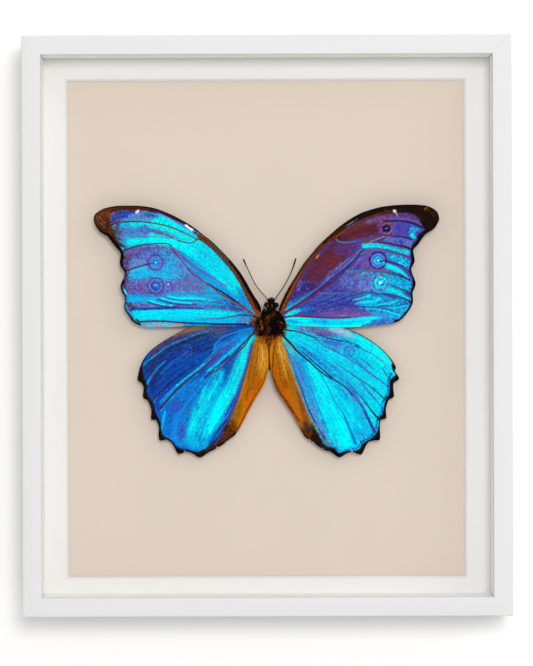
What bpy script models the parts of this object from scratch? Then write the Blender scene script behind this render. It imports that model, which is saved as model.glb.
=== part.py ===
"""Framed butterfly specimen: a spread blue butterfly behind glass in a white box frame.

The front looks along -Y and +Z is up. Sizes are written in millimetres, measured from the middle
of the frame (x, z) and from the wall plane that the rails touch (y = 0, the front is negative).
The finished objects are in metres, moved so that the origin lies on the hanger's rear face.
"""
import math

import bmesh
import bpy
from mathutils import Matrix, Vector

MM = 0.001
GAP = 0.3

# Frame rails: outer size, profile and the groove that takes the steel tabs.
FRAME_HALF_WIDTH = 105.0
FRAME_HALF_HEIGHT = 124.5
FRAME_DEPTH = 30.0
RAIL_FACE = 8.1
RAIL_WALL = 4.6
LIP_THICKNESS = 3.0
LIP_CHAMFER = 0.4
GROOVE_DEPTH = 2.0

# Layers inside the rails, from the glass to the back board, as thicknesses.
GLASS_THICKNESS = 2.0
SPACER_DEPTH = 13.0
SPACER_WIDTH = 2.9
MAT_THICKNESS = 1.2
CARD_THICKNESS = 3.0
BOARD_THICKNESS = 3.0

# Window in the mat, at its rear face, and how far its bevel opens towards the front.
WINDOW_LEFT = -86.8
WINDOW_RIGHT = 85.9
WINDOW_TOP = 106.8
WINDOW_BOTTOM = -109.1
WINDOW_BEVEL = 0.9

# Steel tabs behind the back board.
TAB_LENGTH = 13.0
TAB_WIDTH = 6.0
TAB_THICKNESS = 0.5
TAB_POINT = 4.0
TAB_SPACING_UPRIGHT = 75.0
TAB_SPACING_LEVEL = 60.0

# Sawtooth hanger and its rivets.
HANGER_HEIGHT_ABOVE_MIDDLE = 100.0
HANGER_HALF_LENGTH = 22.0
HANGER_RAISED_HALF = 13.0
HANGER_RAMP = 1.5
HANGER_PLATE = 0.8
HANGER_LIFT = 1.2
HANGER_HALF_WIDTH = 4.5
TOOTH_COUNT = 7
TOOTH_PITCH = 2.4
TOOTH_DEPTH = 1.4
RIVET_X = 17.5
RIVET_SHANK = 1.2
RIVET_HEAD = 2.5
RIVET_HEAD_HEIGHT = 0.9
ROUND_SEGMENTS = 24
SMOOTH_ANGLE = math.radians(35.0)

# Butterfly: the photo's pixels become millimetres on the plane of the wings.
PIXEL = 0.4344
MIDDLE_PIXEL = (266.6, 325.25)
FOREWING_Y = -15.0
HINDWING_Y = -14.0
WING_THICKNESS = 0.4
WING_STEPS = 11
PLEAT = 0.12
PLEAT_COUNT = 5
TIP_LIFT = 0.8
TIP_REACH = 80.0
FOLD_LIFT = 1.9
FOLD_EDGE = 0.38

# Outlines of the wings, read from the photo in its pixels. Each wing has a leading edge from the
# body to the tip, an outer margin with its scallops, and a trailing edge from the body outwards.
FOREWING_LEFT = {
    "leading": [(260.9, 307.4), (258.1, 301.6), (255.2, 297.4), (251.6, 291.6), (248.1, 285.2),
                (243.8, 277.7), (238.8, 270.2), (230.2, 259.5), (220.2, 249.1), (211.6, 240.6),
                (202.4, 233.4), (193.3, 226.3), (184.9, 221.0), (170.3, 213.3), (154.9, 207.5),
                (139.5, 205.0), (120.3, 204.8), (111.8, 205.8), (104.9, 207.3), (100.3, 209.4)],
    "margin": [(100.3, 209.4), (96.4, 212.1), (94.5, 214.8), (93.9, 218.7), (95.0, 223.3),
               (97.6, 227.9), (101.0, 231.7), (105.3, 234.3), (108.3, 236.3), (112.0, 241.4),
               (116.0, 246.5), (120.3, 251.5), (120.4, 256.5), (119.7, 261.0), (120.8, 266.0),
               (124.6, 271.5), (124.0, 275.5), (121.6, 281.0), (120.3, 286.0), (122.0, 291.5),
               (124.6, 296.0), (124.4, 301.0), (124.0, 306.0), (125.6, 310.5), (128.6, 315.0),
               (131.5, 319.5), (136.0, 322.8), (142.0, 325.3)],
    "trailing": [(259.5, 322.5), (251.0, 324.4), (235.0, 324.8), (215.0, 324.9), (190.0, 325.3),
                 (165.0, 326.1), (150.0, 326.4), (142.0, 325.3)],
}
FOREWING_RIGHT = {
    "leading": [(278.2, 309.0), (280.2, 303.4), (284.9, 293.1), (290.2, 283.8), (296.6, 273.8),
                (303.1, 263.4), (310.9, 253.8), (319.5, 243.8), (328.8, 235.2), (339.5, 226.0),
                (349.5, 219.0), (357.2, 214.6), (364.9, 211.2), (380.3, 206.9), (394.9, 205.0),
                (408.7, 204.5), (421.0, 205.0), (428.0, 206.3), (433.3, 208.7)],
    "margin": [(433.3, 208.7), (436.6, 211.7), (438.3, 215.6), (438.9, 219.4), (437.2, 223.3),
               (434.7, 227.5), (431.0, 230.6), (426.4, 233.3), (423.7, 236.0), (420.7, 239.8),
               (417.6, 244.5), (413.0, 249.4), (413.4, 254.5), (414.3, 260.0), (413.0, 264.5),
               (410.8, 268.6), (412.0, 274.0), (414.3, 279.5), (415.2, 284.0), (413.6, 288.8),
               (411.9, 293.0), (412.5, 298.0), (412.2, 302.5), (410.0, 307.8), (406.5, 312.8),
               (402.5, 317.5), (398.0, 321.0), (392.0, 323.3)],
    "trailing": [(281.8, 322.5), (287.0, 324.6), (300.0, 325.3), (320.0, 326.3), (335.0, 327.0),
                 (350.0, 326.7), (370.0, 325.7), (392.0, 323.3)],
}
HINDWING_LEFT = {
    "leading": [(257.0, 326.0), (250.0, 319.5), (236.0, 315.5), (218.0, 316.0), (203.0, 320.0),
                (190.0, 326.0), (180.0, 330.5), (170.0, 336.0), (160.0, 342.0), (150.0, 349.7),
                (143.5, 357.5), (140.3, 363.6)],
    "margin": [(140.3, 363.6), (138.9, 367.8), (137.0, 377.0), (137.6, 380.0), (140.8, 381.9),
               (143.0, 386.5), (142.2, 394.5), (143.2, 397.3), (147.2, 400.0), (150.6, 408.5),
               (150.2, 417.6), (152.6, 419.0), (155.4, 419.3), (158.0, 425.5), (157.8, 434.5),
               (158.4, 438.6), (161.2, 439.8), (166.0, 438.9), (171.4, 442.5), (174.9, 449.5),
               (177.2, 452.8), (180.8, 452.6), (185.2, 450.9), (190.6, 452.0), (199.0, 456.6),
               (207.2, 452.0), (216.4, 447.2), (222.6, 443.4), (229.0, 438.2), (233.6, 435.2)],
    "trailing": [(259.2, 336.5), (263.6, 339.5), (267.2, 346.0), (267.9, 358.0), (267.5, 369.0),
                 (265.6, 377.5), (261.8, 386.7), (256.0, 395.6), (249.8, 406.8), (244.3, 417.6),
                 (239.0, 427.4), (233.6, 435.2)],
}
HINDWING_RIGHT = {
    "leading": [(283.4, 326.0), (288.4, 319.5), (302.0, 315.5), (318.0, 316.0), (332.0, 321.0),
                (343.5, 326.9), (352.0, 330.3), (362.0, 335.0), (372.0, 341.3), (382.0, 349.3),
                (389.6, 357.4), (393.8, 363.4)],
    "margin": [(393.8, 363.4), (395.4, 367.6), (394.5, 371.2), (398.3, 377.0), (397.6, 379.8),
               (393.4, 382.4), (392.6, 387.0), (393.4, 395.4), (391.6, 398.0), (388.0, 399.6),
               (385.3, 408.5), (385.6, 417.4), (383.2, 418.9), (380.2, 419.6), (379.1, 425.0),
               (379.5, 437.0), (378.0, 440.1), (373.4, 440.2), (367.0, 442.5), (361.6, 452.8),
               (358.0, 454.0), (351.6, 451.4), (345.4, 453.2), (338.4, 457.0), (330.6, 452.2),
               (322.2, 449.0), (314.0, 443.4), (309.0, 439.8), (304.0, 436.4)],
    "trailing": [(279.2, 336.5), (274.0, 339.5), (269.8, 346.0), (269.3, 356.0), (270.4, 368.0),
                 (272.2, 378.5), (276.2, 390.0), (283.4, 401.2), (290.6, 412.0), (296.4, 422.4),
                 (304.0, 436.4)],
}

# Antennae from the head to the club, in the photo's pixels.
ANTENNA_LEFT = [(267.5, 299.4), (263.6, 294.6), (258.8, 289.2), (254.2, 282.4), (249.6, 273.0),
                (246.0, 265.2), (244.4, 261.6), (243.0, 258.4)]
ANTENNA_RIGHT = [(274.2, 299.2), (278.4, 293.2), (282.4, 287.4), (286.0, 281.6), (289.6, 274.6),
                 (292.4, 268.0), (294.2, 262.4), (295.4, 257.8)]
ANTENNA_RADIUS = 0.22
CLUB_RADIUS = 0.36
ANTENNA_SIDES = 6
ANTENNA_LIFT = 1.2

# Body rings from the tail to the head: height, middle x, middle y, half width, half depth.
BODY_RINGS = [
    (-19.5, 0.7, -12.2, 0.0, 0.0), (-18.6, 0.7, -12.2, 0.9, 0.8), (-16.0, 0.7, -12.3, 1.6, 1.4),
    (-12.0, 0.7, -12.4, 2.1, 1.8), (-8.5, 0.8, -12.5, 2.2, 1.9), (-6.0, 1.0, -12.9, 2.1, 1.8),
    (-4.4, 1.4, -13.7, 2.3, 2.3), (-2.0, 1.8, -14.8, 3.2, 3.3), (1.0, 1.9, -15.0, 3.7, 3.7),
    (4.0, 1.9, -15.0, 3.4, 3.4), (6.3, 1.9, -15.0, 2.5, 2.6), (7.6, 1.9, -15.0, 1.7, 1.7),
    (9.0, 1.9, -15.1, 2.4, 1.9), (10.3, 1.9, -15.1, 1.7, 1.4), (11.0, 1.9, -15.1, 0.0, 0.0),
]
BODY_SIDES = 14

# Pad between the card and the thorax.
PAD_RADIUS = 3.0
PAD_THICKNESS = 1.1
PAD_X = 1.9
PAD_Z = 1.0

# Levels of the layers: each starts one gap behind the layer before it.
LIP_REAR = -FRAME_DEPTH + LIP_THICKNESS
GLASS_FRONT = LIP_REAR + GAP
SPACER_FRONT = GLASS_FRONT + GLASS_THICKNESS + GAP
MAT_FRONT = SPACER_FRONT + SPACER_DEPTH + GAP
CARD_FRONT = MAT_FRONT + MAT_THICKNESS + GAP
BOARD_FRONT = CARD_FRONT + CARD_THICKNESS + GAP
BOARD_REAR = BOARD_FRONT + BOARD_THICKNESS
TAB_FRONT = BOARD_REAR + GAP
INSERT_HALF_WIDTH = FRAME_HALF_WIDTH - RAIL_WALL - GAP
INSERT_HALF_HEIGHT = FRAME_HALF_HEIGHT - RAIL_WALL - GAP
HANGER_FRONT = BOARD_REAR + GAP
HANGER_REAR = HANGER_FRONT + HANGER_LIFT + HANGER_PLATE
ORIGIN = Vector((0.0, HANGER_REAR, HANGER_HEIGHT_ABOVE_MIDDLE)) * MM

# Base colour, roughness and metallic value of each material.
FINISHES = {
    "white_lacquer": ((0.86, 0.86, 0.85), 0.45, 0.0),
    "clear_glass": ((0.95, 0.97, 0.96), 0.05, 0.0),
    "white_card": ((0.85, 0.84, 0.83), 0.8, 0.0),
    "beige_card": ((0.73, 0.62, 0.50), 0.85, 0.0),
    "brown_board": ((0.35, 0.24, 0.15), 0.85, 0.0),
    "zinc_steel": ((0.62, 0.63, 0.64), 0.35, 1.0),
    "foam_pad": ((0.78, 0.76, 0.70), 0.9, 0.0),
    "dark_hair": ((0.05, 0.03, 0.02), 0.8, 0.0),
    "blue_scale": ((0.02, 0.40, 0.80), 0.4, 0.0),
}


def add_object(name, bm, finish, smooth=False):
    """Turn a finished bmesh, in millimetres, into a named object with its own material."""
    bmesh.ops.recalc_face_normals(bm, faces=bm.faces)
    mesh = bpy.data.meshes.new(name)
    bm.to_mesh(mesh)
    bm.free()
    mesh.transform(Matrix.Translation(-ORIGIN) @ Matrix.Scale(MM, 4))
    if smooth:
        mesh.shade_smooth()
        mesh.set_sharp_from_angle(angle=SMOOTH_ANGLE)
    color, roughness, metallic = FINISHES[finish]
    material = bpy.data.materials.new(name + "_" + finish)
    material.use_nodes = True
    shader = material.node_tree.nodes["Principled BSDF"]
    shader.inputs["Base Color"].default_value = (*color, 1.0)
    shader.inputs["Roughness"].default_value = roughness
    shader.inputs["Metallic"].default_value = metallic
    mesh.materials.append(material)
    part = bpy.data.objects.new(name, mesh)
    bpy.context.scene.collection.objects.link(part)
    return part


def join_rings(bm, rings, close_ends):
    """Bridge rings of equally many points with quads; optionally close both ends with a face."""
    for near, far in zip(rings, rings[1:]):
        count = len(near)
        for i in range(count):
            j = (i + 1) % count
            bm.faces.new((near[i], near[j], far[j], far[i]))
    if close_ends:
        bm.faces.new(rings[0])
        bm.faces.new(rings[-1])


def add_ring(bm, points):
    """Add one ring of vertices, in millimetres."""
    return [bm.verts.new(point) for point in points]


def add_prism(name, outline, front, rear, finish):
    """Make a flat piece from an outline in x and z, between two levels of y."""
    bm = bmesh.new()
    rings = [add_ring(bm, [(x, y, z) for x, z in outline]) for y in (front, rear)]
    join_rings(bm, rings, close_ends=True)
    return add_object(name, bm, finish)


def add_box(name, x_range, y_range, z_range, finish):
    """Make a rectangular piece."""
    (left, right), (bottom, top) = x_range, z_range
    outline = [(left, bottom), (right, bottom), (right, top), (left, top)]
    return add_prism(name, outline, y_range[0], y_range[1], finish)


def add_rail(name, half_offset, half_length, turn):
    """Sweep the moulding's profile along one side of the frame, with mitred ends.

    The rail is first laid out as the bottom one, then turned round the frame's middle.
    """
    groove_front = TAB_FRONT - GAP
    groove_rear = TAB_FRONT + TAB_THICKNESS + GAP
    groove_bottom = RAIL_WALL - GROOVE_DEPTH
    profile = [
        (0.0, 0.0), (RAIL_WALL, 0.0), (RAIL_WALL, groove_rear), (groove_bottom, groove_rear),
        (groove_bottom, groove_front), (RAIL_WALL, groove_front), (RAIL_WALL, LIP_REAR),
        (RAIL_FACE, LIP_REAR), (RAIL_FACE, LIP_CHAMFER - FRAME_DEPTH),
        (RAIL_FACE - LIP_CHAMFER, -FRAME_DEPTH), (LIP_CHAMFER, -FRAME_DEPTH),
        (0.0, LIP_CHAMFER - FRAME_DEPTH),
    ]
    mitre_gap = GAP * math.sqrt(2.0) / 2.0
    bm = bmesh.new()
    rings = []
    for side in (-1.0, 1.0):
        rings.append(add_ring(bm, [
            (side * (half_length - inward - mitre_gap), y, inward - half_offset)
            for inward, y in profile]))
    join_rings(bm, rings, close_ends=True)
    bmesh.ops.rotate(bm, verts=bm.verts, matrix=Matrix.Rotation(turn, 3, "Y"))
    return add_object(name, bm, "white_lacquer")


def add_mat():
    """Make the mat: an outer rectangle round a window whose edge is cut at a slant."""
    window_rear = (WINDOW_LEFT, WINDOW_RIGHT, WINDOW_BOTTOM, WINDOW_TOP)
    window_front = (WINDOW_LEFT - WINDOW_BEVEL, WINDOW_RIGHT + WINDOW_BEVEL,
                    WINDOW_BOTTOM - WINDOW_BEVEL, WINDOW_TOP + WINDOW_BEVEL)
    outer = (-INSERT_HALF_WIDTH, INSERT_HALF_WIDTH, -INSERT_HALF_HEIGHT, INSERT_HALF_HEIGHT)
    mat_rear = MAT_FRONT + MAT_THICKNESS
    sections = ((outer, MAT_FRONT), (window_front, MAT_FRONT), (window_rear, mat_rear), (outer, mat_rear))
    bm = bmesh.new()
    rings = []
    for (left, right, bottom, top), y in sections:
        corners = [(left, bottom), (right, bottom), (right, top), (left, top)]
        rings.append(add_ring(bm, [(x, y, z) for x, z in corners]))
    join_rings(bm, rings + rings[:1], close_ends=False)
    return add_object("mat", bm, "white_card")


def add_lathe(name, profile, x, z, finish):
    """Turn a profile of (radius, y) pairs round an axis along y, with flat ends."""
    angles = [2.0 * math.pi * i / ROUND_SEGMENTS for i in range(ROUND_SEGMENTS)]
    bm = bmesh.new()
    rings = []
    for radius, y in profile:
        circle = [(x + radius * math.cos(a), y, z + radius * math.sin(a)) for a in angles]
        rings.append(add_ring(bm, circle))
    join_rings(bm, rings, close_ends=True)
    return add_object(name, bm, finish, smooth=True)


def cut_hole(target, x, z, radius):
    """Drill a round hole along y through an object."""
    cutter = add_lathe("cutter", [(radius, -FRAME_DEPTH), (radius, FRAME_DEPTH)], x, z, "zinc_steel")
    modifier = target.modifiers.new("hole", "BOOLEAN")
    modifier.operation = "DIFFERENCE"
    modifier.solver = "EXACT"
    modifier.object = cutter
    bpy.context.view_layer.objects.active = target
    bpy.ops.object.modifier_apply(modifier=modifier.name)
    bpy.data.objects.remove(cutter)


def add_tab(name, half_offset, shift, turn):
    """Lay one steel tab with its root in the rail's groove and its point over the back board."""
    root = RAIL_WALL - GROOVE_DEPTH + GAP - half_offset
    point = root + TAB_LENGTH
    half = TAB_WIDTH / 2.0
    outline = [(shift - half, root), (shift + half, root), (shift + half, point - TAB_POINT),
               (shift + half / 3.0, point), (shift - half / 3.0, point), (shift - half, point - TAB_POINT)]
    bm = bmesh.new()
    levels = (TAB_FRONT, TAB_FRONT + TAB_THICKNESS)
    rings = [add_ring(bm, [(x, y, z) for x, z in outline]) for y in levels]
    join_rings(bm, rings, close_ends=True)
    bmesh.ops.rotate(bm, verts=bm.verts, matrix=Matrix.Rotation(turn, 3, "Y"))
    return add_object(name, bm, "zinc_steel")


def add_hanger():
    """Make the hanger: a bent strip, raised in the middle, with teeth along its lower edge there."""
    flat_end = HANGER_RAISED_HALF + HANGER_RAMP
    low = HANGER_HEIGHT_ABOVE_MIDDLE - HANGER_HALF_WIDTH
    high = HANGER_HEIGHT_ABOVE_MIDDLE + HANGER_HALF_WIDTH
    columns = [(-HANGER_HALF_LENGTH, 0.0, 0.0), (-flat_end, 0.0, 0.0),
               (-HANGER_RAISED_HALF, HANGER_LIFT, 0.0)]
    first = -TOOTH_PITCH * TOOTH_COUNT / 2.0
    for i in range(TOOTH_COUNT):
        start = first + i * TOOTH_PITCH
        notch = start + TOOTH_PITCH / 2.0
        columns += [(start, HANGER_LIFT, 0.0), (notch, HANGER_LIFT, TOOTH_DEPTH)]
    columns += [(-first, HANGER_LIFT, 0.0), (HANGER_RAISED_HALF, HANGER_LIFT, 0.0),
                (flat_end, 0.0, 0.0), (HANGER_HALF_LENGTH, 0.0, 0.0)]
    bm = bmesh.new()
    rings = []
    for x, lift, tooth in columns:
        front = HANGER_FRONT + lift
        rear = front + HANGER_PLATE
        edge = low + tooth
        rings.append(add_ring(bm, [(x, front, edge), (x, rear, edge), (x, rear, high), (x, front, high)]))
    join_rings(bm, rings, close_ends=True)
    return add_object("hanger", bm, "zinc_steel")


def to_millimetres(pixel):
    """Turn a pixel of the photo into (x, z) on the plane of the wings, as a flat vector."""
    return Vector(((pixel[0] - MIDDLE_PIXEL[0]) * PIXEL, (MIDDLE_PIXEL[1] - pixel[1]) * PIXEL))


def walk(points, share):
    """Return the place at a share of the length of a line through points."""
    lengths = [(b - a).length for a, b in zip(points, points[1:])]
    left = share * sum(lengths)
    for a, b, length in zip(points, points[1:], lengths):
        if left <= length:
            return a.lerp(b, left / length)
        left -= length
    return points[-1]


def wing_grid(outline):
    """Fill a wing outline with rows of points from the body to the margin.

    The four sides are blended, so that the rows bend with the leading edge, the trailing edge
    and the margin. Row 0 is at the body; each row runs from the trailing to the leading edge.
    """
    leading, margin, trailing = (
        [to_millimetres(p) for p in outline[key]] for key in ("leading", "margin", "trailing"))
    margin.reverse()
    across = len(margin) - 1
    root = (trailing[0], leading[0])
    tip = (margin[0], margin[-1])
    rows = []
    for i in range(WING_STEPS + 1):
        u = i / WING_STEPS
        low, high = walk(trailing, u), walk(leading, u)
        row = []
        for j, edge in enumerate(margin):
            v = j / across
            sides = low.lerp(high, v) + root[0].lerp(root[1], v).lerp(edge, u)
            corners = root[0].lerp(root[1], v).lerp(tip[0].lerp(tip[1], v), u)
            row.append((sides - corners, u, v))
        rows.append(row)
    return rows


def smooth_step(start, end, value):
    """Rise smoothly from 0 at start to 1 at end."""
    t = min(max((value - start) / (end - start), 0.0), 1.0)
    return t * t * (3.0 - 2.0 * t)


def forewing_level(place, u, v):
    """Return the y of a forewing: flat at the body, lifted a little towards the tip."""
    pleat = PLEAT * math.cos(2.0 * math.pi * PLEAT_COUNT * v) * smooth_step(0.0, 0.3, u)
    return FOREWING_Y - TIP_LIFT * (place.x / TIP_REACH) ** 2 + pleat


def hindwing_level(place, u, v):
    """Return the y of a hindwing, whose inner part rises as a fold over the abdomen."""
    pleat = PLEAT * math.cos(2.0 * math.pi * PLEAT_COUNT * v) * smooth_step(0.0, 0.3, u)
    fold = FOLD_LIFT * smooth_step(FOLD_EDGE, 0.08, v) * smooth_step(1.0, 0.45, u)
    return HINDWING_Y - fold + pleat


def add_wing(name, outline, level):
    """Make one wing as a thin closed sheet with its own outline."""
    bm = bmesh.new()
    rows = []
    for row in wing_grid(outline):
        rows.append([bm.verts.new((place.x, level(place, u, v), place.y)) for place, u, v in row])
    for near, far in zip(rows, rows[1:]):
        for j in range(len(near) - 1):
            bm.faces.new((near[j], near[j + 1], far[j + 1], far[j]))
    bmesh.ops.triangulate(bm, faces=bm.faces)
    bmesh.ops.recalc_face_normals(bm, faces=bm.faces)
    half = Vector((0.0, WING_THICKNESS / 2.0, 0.0))
    upper = list(bm.verts)
    copy = bmesh.ops.duplicate(bm, geom=bm.faces)
    lower = [item for item in copy["geom"] if isinstance(item, bmesh.types.BMVert)]
    bmesh.ops.translate(bm, verts=upper, vec=-half)
    bmesh.ops.translate(bm, verts=lower, vec=half)
    bmesh.ops.bridge_loops(bm, edges=[edge for edge in bm.edges if edge.is_boundary])
    bmesh.ops.triangulate(bm, faces=bm.faces)
    return add_object(name, bm, "blue_scale", smooth=True)


def add_body():
    """Make head, thorax and abdomen as one lofted piece with closed tips."""
    bm = bmesh.new()
    rings = []
    for z, x, y, half_width, half_depth in BODY_RINGS[1:-1]:
        angles = [2.0 * math.pi * i / BODY_SIDES for i in range(BODY_SIDES)]
        rings.append(add_ring(bm, [
            (x + half_width * math.cos(a), y + half_depth * math.sin(a), z) for a in angles]))
    join_rings(bm, rings, close_ends=False)
    for ring, (z, x, y, _, _) in ((rings[0], BODY_RINGS[0]), (rings[-1], BODY_RINGS[-1])):
        tip = bm.verts.new((x, y, z))
        for i in range(BODY_SIDES):
            bm.faces.new((ring[i], ring[(i + 1) % BODY_SIDES], tip))
    bmesh.ops.triangulate(bm, faces=bm.faces)
    return add_object("butterfly_body", bm, "dark_hair", smooth=True)


def add_antenna(name, pixels):
    """Make one antenna: a thin tube that thickens into a club at its end."""
    places = [to_millimetres(p) for p in pixels]
    last = len(places) - 1
    bm = bmesh.new()
    rings = []
    for i, place in enumerate(places):
        before, after = places[max(i - 1, 0)], places[min(i + 1, last)]
        along = (after - before).normalized()
        across = Vector((-along.y, along.x))
        share = i / last
        radius = ANTENNA_RADIUS + (CLUB_RADIUS - ANTENNA_RADIUS) * smooth_step(0.6, 0.9, share)
        y = FOREWING_Y - ANTENNA_LIFT * share
        ring = []
        for side in range(ANTENNA_SIDES):
            angle = 2.0 * math.pi * side / ANTENNA_SIDES
            offset = across * (radius * math.cos(angle))
            ring.append((place.x + offset.x, y + radius * math.sin(angle), place.y + offset.y))
        rings.append(add_ring(bm, ring))
    join_rings(bm, rings, close_ends=True)
    bmesh.ops.triangulate(bm, faces=bm.faces)
    return add_object(name, bm, "dark_hair", smooth=True)


def build_frame():
    """Make the four rails."""
    quarter = math.pi / 2.0
    add_rail("rail_bottom", FRAME_HALF_HEIGHT, FRAME_HALF_WIDTH, 0.0)
    add_rail("rail_left", FRAME_HALF_WIDTH, FRAME_HALF_HEIGHT, quarter)
    add_rail("rail_top", FRAME_HALF_HEIGHT, FRAME_HALF_WIDTH, 2.0 * quarter)
    add_rail("rail_right", FRAME_HALF_WIDTH, FRAME_HALF_HEIGHT, -quarter)


def build_layers():
    """Make the glass, the spacers, the mat, the card and the back board."""
    width, height = INSERT_HALF_WIDTH, INSERT_HALF_HEIGHT
    across, upright = (-width, width), (-height, height)
    add_box("glass", across, (GLASS_FRONT, GLASS_FRONT + GLASS_THICKNESS), upright, "clear_glass")
    depth = (SPACER_FRONT, SPACER_FRONT + SPACER_DEPTH)
    inner = width - SPACER_WIDTH
    add_box("spacer_left", (-width, -inner), depth, upright, "white_card")
    add_box("spacer_right", (inner, width), depth, upright, "white_card")
    between = (GAP - inner, inner - GAP)
    add_box("spacer_top", between, depth, (height - SPACER_WIDTH, height), "white_card")
    add_box("spacer_bottom", between, depth, (-height, SPACER_WIDTH - height), "white_card")
    add_mat()
    add_box("mount_card", across, (CARD_FRONT, CARD_FRONT + CARD_THICKNESS), upright, "beige_card")
    return add_box("back_board", across, (BOARD_FRONT, BOARD_REAR), upright, "brown_board")


def build_back(board):
    """Make the tabs, the hanger and the rivets behind the back board."""
    sides = (("bottom", FRAME_HALF_HEIGHT, TAB_SPACING_LEVEL, 0.0),
             ("left", FRAME_HALF_WIDTH, TAB_SPACING_UPRIGHT, math.pi / 2.0),
             ("top", FRAME_HALF_HEIGHT, TAB_SPACING_LEVEL, math.pi),
             ("right", FRAME_HALF_WIDTH, TAB_SPACING_UPRIGHT, -math.pi / 2.0))
    for side, half_offset, spacing, turn in sides:
        for number, shift in ((1, -spacing), (2, spacing)):
            add_tab(f"tab_{side}_{number}", half_offset, shift, turn)
    hanger = add_hanger()
    for name, x in (("rivet_left", -RIVET_X), ("rivet_right", RIVET_X)):
        cut_hole(hanger, x, HANGER_HEIGHT_ABOVE_MIDDLE, RIVET_SHANK + GAP)
        cut_hole(board, x, HANGER_HEIGHT_ABOVE_MIDDLE, RIVET_SHANK + GAP)
        head = HANGER_FRONT + HANGER_PLATE + GAP
        profile = [(RIVET_SHANK, BOARD_FRONT + GAP), (RIVET_SHANK, head), (RIVET_HEAD, head),
                   (RIVET_HEAD, head + RIVET_HEAD_HEIGHT / 2.0),
                   (RIVET_HEAD * 0.6, head + RIVET_HEAD_HEIGHT)]
        add_lathe(name, profile, x, HANGER_HEIGHT_ABOVE_MIDDLE, "zinc_steel")


def build_butterfly():
    """Make the butterfly and the pad that carries it."""
    pad_rear = CARD_FRONT - GAP
    profile = [(PAD_RADIUS, pad_rear - PAD_THICKNESS), (PAD_RADIUS, pad_rear)]
    add_lathe("mounting_pad", profile, PAD_X, PAD_Z, "foam_pad")
    add_body()
    add_wing("forewing_left", FOREWING_LEFT, forewing_level)
    add_wing("forewing_right", FOREWING_RIGHT, forewing_level)
    add_wing("hindwing_left", HINDWING_LEFT, hindwing_level)
    add_wing("hindwing_right", HINDWING_RIGHT, hindwing_level)
    add_antenna("antenna_left", ANTENNA_LEFT)
    add_antenna("antenna_right", ANTENNA_RIGHT)


def main():
    """Empty the scene and build the object."""
    for old in list(bpy.data.objects):
        bpy.data.objects.remove(old)
    build_frame()
    board = build_layers()
    build_back(board)
    build_butterfly()


main()
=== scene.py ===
"""Looks of a framed butterfly specimen: a white box frame, its glass, mat and card, and a spread
blue butterfly. Sizes are in millimetres, from the frame's middle (x, z) and the wall plane (y = 0,
the front is negative), and become metres in the row frame when a piece is made."""
from __future__ import annotations

import logging
import math
import random
from dataclasses import dataclass, field
from enum import Enum
from typing import Iterator, Sequence, Union

import bmesh
import bpy
import numpy as np
from mathutils import Matrix, Vector
from mathutils.bvhtree import BVHTree


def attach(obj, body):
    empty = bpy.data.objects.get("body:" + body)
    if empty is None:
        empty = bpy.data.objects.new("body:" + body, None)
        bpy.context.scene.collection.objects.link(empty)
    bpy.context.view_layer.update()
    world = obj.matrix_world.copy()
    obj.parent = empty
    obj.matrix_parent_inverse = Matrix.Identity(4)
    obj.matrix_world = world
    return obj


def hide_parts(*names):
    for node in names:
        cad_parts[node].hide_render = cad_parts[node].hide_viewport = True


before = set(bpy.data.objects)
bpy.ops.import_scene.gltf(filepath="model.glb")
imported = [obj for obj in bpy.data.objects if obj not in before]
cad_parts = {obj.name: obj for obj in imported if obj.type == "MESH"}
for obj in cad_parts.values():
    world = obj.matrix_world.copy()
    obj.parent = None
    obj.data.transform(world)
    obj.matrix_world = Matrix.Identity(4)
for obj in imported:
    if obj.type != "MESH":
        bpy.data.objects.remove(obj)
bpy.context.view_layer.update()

LOG = logging.getLogger("butterfly_frame")
Points = Sequence[tuple[float, float]]
Color = tuple[float, float, float, float]
Triple = tuple[float, float, float]
MM = 0.001
TINY = 1e-6
MIDDLE_BELOW_HANGER = 100.0
WALL_BEHIND_HANGER = 1.0
BEFORE_WINGS = -60.0
BACKWARDS = Vector((0.0, 1.0, 0.0))
WING_UV = "wing"
PAINT = "paint"
GRAIN = "grain"


def to_row(x: float, y: float, z: float) -> Vector:
    """Return a place in the row frame, in metres, from millimetres round the frame's middle."""
    return Vector((x, y + WALL_BEHIND_HANGER, z - MIDDLE_BELOW_HANGER)) * MM


def ease(start: float, end: float, value: Union[float, np.ndarray]) -> Union[float, np.ndarray]:
    """Rise smoothly from 0 at start to 1 at end, for a number or an array."""
    share = np.clip((value - start) / (end - start), 0.0, 1.0)
    return share * share * (3.0 - 2.0 * share)


# Colours as they look in plain light.


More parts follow.
